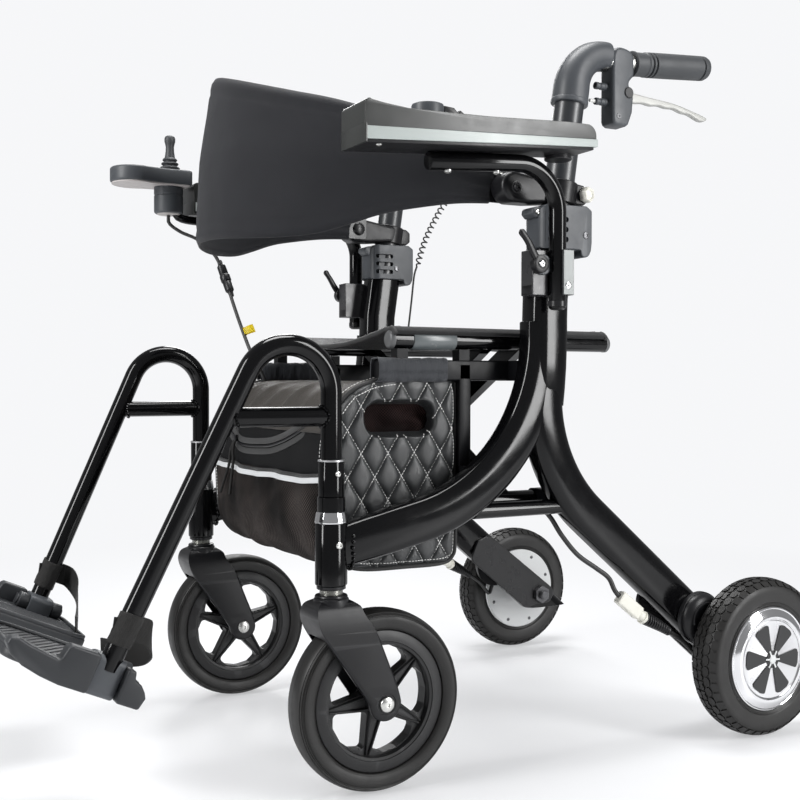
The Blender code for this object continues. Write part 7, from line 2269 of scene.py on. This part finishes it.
def bag_skin():
    marks = SKIN[0]
    bottom_front = skin_index(-0.03, 0.255)
    pocket_top = skin_index(-0.0425, 0.343)
    flap_low = skin_index(-0.04, 0.385)
    last = len(marks) - 1

    def rear_lift(x, base, share):
        return 0.003

    def rear_folds(x, base, share):
        return 0.0016 * cloth_noise((x, base.y, base.z), 22.0, 5.0)

    def flap_lift(x, base, share):
        hem = 0.0052 * (1 - min(1.0, share / 0.3)) ** 1.5
        return 0.0045 * sin(pi * min(1.0, share * 1.15)) + 0.0015 + hem

    def flap_folds(x, base, share):
        total = 0.0
        for centre, slope, depth, wide in ((-0.115, 0.1, 0.0034, 0.01), (-0.06, 0.16, 0.004, 0.009),
                (-0.01, 0.2, 0.0028, 0.012), (0.045, 0.15, 0.0036, 0.01), (0.1, 0.1, 0.0022, 0.013),
                (-0.15, 0.05, 0.0026, 0.008)):
            off = x - centre - slope * (share - 0.4) * 0.55
            total += depth * exp(-(off / wide) ** 2) * sin(pi * min(1, share * 1.1)) ** 0.8
        return total - 0.003 + 0.0012 * cloth_noise((x, base.y, base.z), 30.0, 8.0)

    def panel_lift(x, base, share):
        return 0.0015

    def panel_folds(x, base, share):
        return 0.001 * cloth_noise((x, base.y, base.z), 18.0, 2.0)

    rear = skin_strip("bag_rear", 0, bottom_front + 1, "bag_black", rear_lift, rear_folds,
        slot="bag_vinyl")
    front = skin_strip("bag_front", bottom_front, flap_low + 6, "bag_grey", panel_lift, panel_folds)
    flap = skin_strip("bag_flap", flap_low + 2, last, "bag_brown", flap_lift, flap_folds)

    def pocket_lift(x, base, share):
        return 0.0035 + 0.009 * sin(pi * min(1.0, 0.15 + share * 0.85)) * (1 - 0.5
            * abs(x / BAG_SIDE) ** 2)

    def pocket_folds(x, base, share):
        return (0.0018 * cloth_noise((x, base.y, base.z), 24.0,
            4.0) + 0.0022 * sin(x * 95 + share * 1.4) * (0.3 + 0.7 * share))

    pocket = skin_strip("bag_pocket", bottom_front - 6, pocket_top, "pocket_netting_painted_highlights", pocket_lift,
        pocket_folds)
    mouth = pocket_strip(pocket_lift, pocket_folds, bottom_front - 6, pocket_top)
    covers = front_zip(panel_lift)
    skin_piping()


def pocket_strip(lift, folds, first, last):
    """Pale reflective tape along the pocket's mouth, with a bound edge above it."""
    rows = last - first + 1
    half = BAG_SIDE - 0.0035
    columns = 150
    made = []
    for name, low, high, proud, material in (("pocket_tape", -0.0085, -0.002, 0.0026, "tape"),
            ("pocket_binding", -0.0022, 0.0022, 0.0032, "binding")):
        def place(row, column):
            base, out = skin_frame(last)
            x = -half + 2 * half * column / (columns - 1)
            rim = sin(min(1.0, (half + 0.002 - abs(x)) / 0.02) * pi / 2)
            height = low + (high - low) * row / 5
            share = 1.0 + height / ((rows - 1) * 0.003)
            crest = proud * sin(pi * (row / 5)) ** 0.5 if name == "pocket_binding" else proud
            rise = (lift(x, base, share) + folds(x, base, min(share, 1.0))) * rim + crest
            sway = 0.0015 - 0.0045 * cos(pi * x / 0.36) + 0.0012 * sin(x * 40)
            return Vector((x, base.y, base.z + height + sway)) + out * rise, x, height

        made.append(bag_piece(name, grid_sheet(6, columns, place), material, smooth=70, thick=0.0008))
    return made


def front_zip(lift):
    """The sagging zip of the front pocket, its cover strips and two pulls with cords."""
    route = []
    for x, z in ((-0.128, 0.386), (-0.104, 0.376), (-0.085, 0.368), (-0.0534, 0.366), (0.012, 0.369),
            (0.055, 0.376), (0.0933, 0.386), (0.12, 0.396)):
        y = float(np.interp(z, ZIP_Z, ZIP_Y))
        route.append((x, y - 0.0032, z))
    path = smooth_route(route, 0.003)
    teeth = sweep(path, lambda index: ellipse(0.002, 0.0036 if index % 2 else 0.003, 10), (0, 0.2, 1))
    zip_line = bag_piece("bag_zip", teeth, "nylon", smooth=50)
    covers = []
    for name, shift in (("zip_cover_high", 0.0065), ("zip_cover_low", -0.0065)):
        moved_path = [point + Vector((0, 0.0006, shift)) for point in path]
        strip = sweep(moved_path, lambda index: ellipse(0.0022, 0.0078, 16, 0.7), (0, 0.2, 1))
        covers.append(bag_piece(name, strip, "binding"))
    for number, (start, knot, end) in enumerate(ZIP_PULLS):
        line = smooth_route([start, Vector(start).lerp(Vector(knot), 0.5) + Vector((0, -0.002, 0)), knot,
            Vector(knot).lerp(Vector(end), 0.5), end], 0.002)
        cord = sweep(line, lambda index: ellipse(0.0042 if index % 3 else 0.0034, 0.0028, 12), X)
        pull = bag_piece(f"zip_pull_{number}", cord, "webbing")
    slider = soften(box((-0.0965, -0.05, 0.37), (-0.088, -0.0455, 0.379)), 0.0012, 2)
    bag_piece("zip_slider", slider, "satin", smooth=35)
    return covers + [zip_line]


ZIP_Z = [0.29, 0.32, 0.35, 0.386, 0.4]
ZIP_Y = [-0.0425, -0.0425, -0.0425, -0.0395, -0.0355]
ZIP_PULLS = (
    ((-0.092, -0.0475, 0.3745), (-0.0885, -0.052, 0.345), (-0.088, -0.057, 0.301)),
    ((-0.094, -0.0475, 0.3745), (-0.104, -0.052, 0.34), (-0.124, -0.057, 0.3005)),
)


def skin_piping():
    """Corded seams round both side panels, with a line of white stitches inside each."""
    count = len(SKIN[0])
    for side, sign in (("left", 1), ("right", -1)):
        path = []
        outward = []
        inner = []
        for index in range(count):
            base, out = skin_frame(index)
            path.append(Vector((sign * (BAG_SIDE - 0.0008), base.y, base.z)) + out * 0.0008)
            inward = base - out * 0.0065
            inner.append(Vector((sign * (side_panel_x(inward.y, max(inward.z, BAG_LOW)) + 0.0004),
                inward.y, inward.z)))
            outward.append(Vector((sign, 0, 0)))
        cord = sweep(path, lambda index: ellipse(0.0046, 0.0046, 14), (sign, 0, 0))
        bag_piece(f"bag_piping_{side}", cord, "binding")
        bag_piece(f"piping_thread_{side}", stitches(inner, outward, 0.004, 0.0028, 0.0009), "thread")
        face = []
        face_out = []
        for index in range(skin_index(-0.03, 0.255), count):
            base, out = skin_frame(index)
            face.append(Vector((sign * (BAG_SIDE - 0.0075), base.y, base.z)) + out * 0.0036)
            face_out.append(out)
        bag_piece(f"front_thread_{side}", stitches(face, face_out, 0.0042, 0.0028, 0.0009), "thread")


def seat():
    """The fabric seat: laid over the rails, sagging between them, with hems front and rear."""
    rows = 110
    columns = 150
    front = 0.04
    rear = 0.343
    thick = 0.0042
    bend = 0.011
    crest = RAIL_X - RAIL_RADIUS - 0.0015
    reach = RAIL_X + bend * radians(58)

    def surface(x, y):
        lean = abs(x)
        along = (y - front) / (rear - front)
        if lean <= RAIL_X:
            share = max(0.0, 1 - (lean / crest) ** 2)
            sag = 0.0155 * share * (1 + 0.1 * sin(pi * along))
            fold = 0.001 * cloth_noise((x, y, 0.2), 16.0,
                1.0) + 0.0005 * cloth_noise((x, y, 0.7), 48.0, 2.0)
            edge = min(along, 1 - along) * (rear - front)
            lip = 0.0012 * exp(-(edge / 0.006) ** 2)
            z = RAIL_Z + RAIL_RADIUS + GAP + 0.0008 + thick - sag + fold * min(1.0,
                (RAIL_X - lean) / 0.03) - lip
            return Vector((x, y, z))
        angle = (lean - RAIL_X) / bend
        radius = RAIL_RADIUS + GAP + 0.0008 + thick
        return Vector((copysign(RAIL_X + radius * sin(angle), x), y, RAIL_Z + radius * cos(angle)))

    def place(row, column):
        y = front + (rear - front) * row / (rows - 1)
        x = -reach + 2 * reach * column / (columns - 1)
        return surface(x, y), x, y

    mesh = grid_sheet(rows, columns, place)
    bmesh.ops.recalc_face_normals(mesh, faces=mesh.faces)
    if sum(face.normal.z for face in mesh.faces) < 0:
        bmesh.ops.reverse_faces(mesh, faces=mesh.faces)
    sling = piece("seat_sling", mesh, "seat", None, "seat_sling", slot="seat_fabric", smooth=70)
    thicken(sling, thick)
    seat_fold(sling)
    binding = []
    threads = []
    for y in (front, rear):
        inward = 1 if y == front else -1
        path = []
        line = []
        up = []
        for step in range(160):
            x = -reach + 2 * reach * step / 159
            path.append(surface(x, y + inward * 0.0004) - Vector((0, 0, thick * 0.5)))
            line.append(surface(x, y + inward * 0.011) + Vector((0, 0, 0.0002)))
            up.append(Vector(Z))
        binding.append(sweep(path, lambda index: ellipse(0.0056, 0.0046, 14), Y))
        threads.append(stitches(line, up, 0.0036, 0.0026, 0.0008))
    hem = piece("seat_binding", joined(*binding), "binding", None, smooth=60)
    seat_fold(hem)
    thread = piece("seat_thread", joined(*threads), "dark_thread", None, smooth=60)
    seat_fold(thread)


def seat_fold(item):
    """Bakes the piece's place into its mesh."""
    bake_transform(item)


def wraps():
    """Cloth wound round the front of the bag bar on both sides, with a few soft creases."""
    low = 0.448
    high = 0.4762
    rows = 120
    around = 64

    def place(row, column):
        share = row / (rows - 1)
        y = 0.02 + 0.0905 * share
        angle = 2 * pi * column / around
        out = copysign(abs(cos(angle)) ** 0.5, cos(angle))
        rise = copysign(abs(sin(angle)) ** 0.5, sin(angle))
        bunch = 0.0011 * cloth_noise((share * 5.0, 0.4 * cos(angle), 0.4 * sin(angle)), 2.2, 6.0)
        bunch += 0.0004 * cloth_noise((share * 14.0, cos(angle), sin(angle)), 2.8, 11.0)
        end = min(1.0, min(share, 1 - share) * 22)
        swell = (0.0126 + bunch) * (0.9 + 0.1 * end)
        tall = (high - low) / 2 + bunch
        return Vector((RAIL_X + swell * out, y, (low + high) / 2 + tall * rise)), y, angle * 0.013

    mesh = close_up(grid_sheet(rows, around, place, wrap=True))
    for side, one in (("left", mesh), ("right", mirrored(mesh))):
        item = piece(f"bar_wrap_{side}", one, "wrap", f"{side}_side", smooth=60)
        thicken(item, 0.0012)


BAND_HALF = 0.19
BAND_PIVOT = (0.182, 0.677)
BAND_REACH = 0.3005
BAND_DROP_LEAN = radians(3.5)
BAND_END = 0.047


BAND_RISES = ((-0.19, 0.03), (-0.181, 0.046), (-0.165, 0.06), (-0.141, 0.077), (-0.112, 0.093),
    (-0.077, 0.105), (-0.04, 0.107), (0.0, 0.1), (0.04, 0.09), (0.077, 0.0808), (0.112, 0.0732),
    (0.141, 0.068), (0.165, 0.059), (0.181, 0.048), (0.19, 0.03))
BAND_DROPS = ((0.0, 0.016), (0.2, 0.029), (0.4, 0.048), (0.5, 0.06), (0.6, 0.0755), (0.7, 0.0895),
    (0.8, 0.0975), (0.9, 0.102), (1.0, 0.103))


def read_off(stations, value):
    """Height on the rounded line through the stations."""
    line = smooth_outline(list(stations), 8)
    return float(np.interp(value, [a for a, b in line], [b for a, b in line]))


def band_edges(x, along):
    return read_off(BAND_RISES, x), read_off(BAND_DROPS, along)


def band_spot(u, v):
    """A point on the back band. u runs from the left end to the right, v from bottom to top."""
    exact = u * (len(BAND_TABLE) - 1)
    index = min(int(exact), len(BAND_TABLE) - 2)
    t = exact - index
    between = zip(BAND_TABLE[index], BAND_TABLE[index + 1])
    x, reach, across, along, rise, drop = (a + (b - a) * t for a, b in between)

    forward = Vector((0, -cos(LEAN), sin(LEAN)))
    downward = Vector((0, -sin(BAND_DROP_LEAN), -cos(BAND_DROP_LEAN)))
    base = Vector((x, *BAND_PIVOT)) + forward * reach
    outward = (Vector((across / BAND_HALF, 0, 0)) + forward * (along / BAND_REACH)).normalized()
    height = -drop + (rise + drop) * v
    spot = base + (POST_LINE * height if height > 0 else downward * -height)
    return spot, outward


def band_table():
    stations = [(BAND_HALF, -0.015, 1.0, 0.0)]
    for step in range(6):
        stations.append((BAND_HALF, -0.015 + 0.0025 * (step + 1), 1.0, 0.0))
    for step in range(1, 180):
        angle = pi * step / 180
        stations.append((BAND_HALF * cos(angle), BAND_REACH * sin(angle), cos(angle), sin(angle)))
    for step in range(6):
        stations.append((-BAND_HALF, -0.0025 * step, -1.0, 0.0))
    stations.append((-BAND_HALF, -0.015, -1.0, 0.0))
    return [(*station, *band_edges(station[0], station[3])) for station in stations]


BAND_TABLE = band_table()


def back_band():
    """Padded strap: two faces that swell between the bound edges, with sewn lines near each edge."""
    length = 300
    across = 34
    half = 0.0046
    loops = 2 * across

    def swell(v):
        edge = min(v, 1 - v)
        body = (1 - (1 - min(1.0, edge / 0.1)) ** 2) ** 0.5
        seam = exp(-((edge - 0.085) / 0.014) ** 2)
        return half * (0.42 + 0.58 * body) - 0.0012 * seam

    def crumpled(spot):
        return 0.0011 * cloth_noise(spot, 15.0, 4.0) + 0.0004 * cloth_noise(spot, 45.0, 9.0)

    def place(row, column):
        share = row / (length - 1)
        if column < across:
            v = column / (across - 1)
            sign = 1
        else:
            v = 1 - (column - across) / (across - 1)
            sign = -1
        v_eased = 0.004 + 0.992 * v
        ragged = 0.0015 * sin(v * 7.0)
        fray = copysign(max(0.0, abs(0.5 - share) - 0.47) * 33, 0.5 - share)
        u = BAND_END + (1 - 2 * BAND_END) * share + ragged * fray
        spot, outward = band_spot(u, v_eased)
        crumple = crumpled(spot)
        ends = min(share, 1 - share)
        pinch = 0.0006 * sin(v * 24) * exp(-(ends / 0.05) ** 2)
        round_off = 0.0 if 0 < column % across < across - 1 else 0.55
        lift = sign * swell(v) * (1 - round_off) + crumple * min(1.0, ends * 30) + pinch
        return spot + outward * lift, u * 0.82, v * 0.2

    mesh = grid_sheet(length, loops, place, wrap=True)
    ends = [edge for edge in mesh.edges if edge.is_boundary]
    bmesh.ops.holes_fill(mesh, edges=ends, sides=0)
    close_up(mesh)
    band = piece("backrest_band", mesh, "band", "backrest", "backrest_band",
        slot="band_fabric", smooth=70)
    band_fold(band)
    lines = []
    for v in (0.085, 0.915):
        for sign in (1, -1):
            path = []
            outward_list = []
            for step in range(500):
                u = BAND_END + 0.006 + (0.988 - 2 * BAND_END) * step / 499
                spot, outward = band_spot(u, v)
                share = (u - BAND_END) / (1 - 2 * BAND_END)
                ends = min(share, 1 - share)
                lift = sign * (swell(v) - 0.0001) + crumpled(spot) * min(1.0, ends * 30)
                path.append(spot + outward * lift)
                outward_list.append(outward * sign)
            lines.append(stitches(path, outward_list, 0.0038, 0.0027, 0.0008))
    thread = piece("band_thread", joined(*lines), "dark_thread", "backrest", smooth=60)
    band_fold(thread)
    y, z = BAND_PIVOT
    outline = round_corners(mm(-23, -15, 13, -15, 13, 12, 5, 30, -23, 30, at=(y, z)), 0.005, 5)
    for side, x in (("left", BAND_HALF), ("right", -BAND_HALF)):
        strap = prism(outline, x - 0.0015, x + 0.0015)
        screw = hex_screw((x + 0.0014, y - 0.001, z + 0.0215), X, 0.0036, 0.0022)
        tab = piece(f"band_tab_{side}", strap, "satin", "backrest", bevel=0.0004, smooth=30)
        head = piece(f"band_tab_screw_{side}", screw, "steel", "backrest", smooth=30)
        band_fold(tab)
        band_fold(head)


def band_fold(item):
    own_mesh(item)


place_camera()
LOOKS = {**hard_materials(), **soft_materials()}
dress_cad()
cords()
studio()
front_wheels()
forks()
rear_wheels()
side_frames()
cross_arms()
motor_plates()
handles()
clamps()
brackets()
armrests()
cam_levers()
joystick()
hangers()
footplates()
straps()
bag_sides()
bag_skin()
seat()
wraps()
back_band()
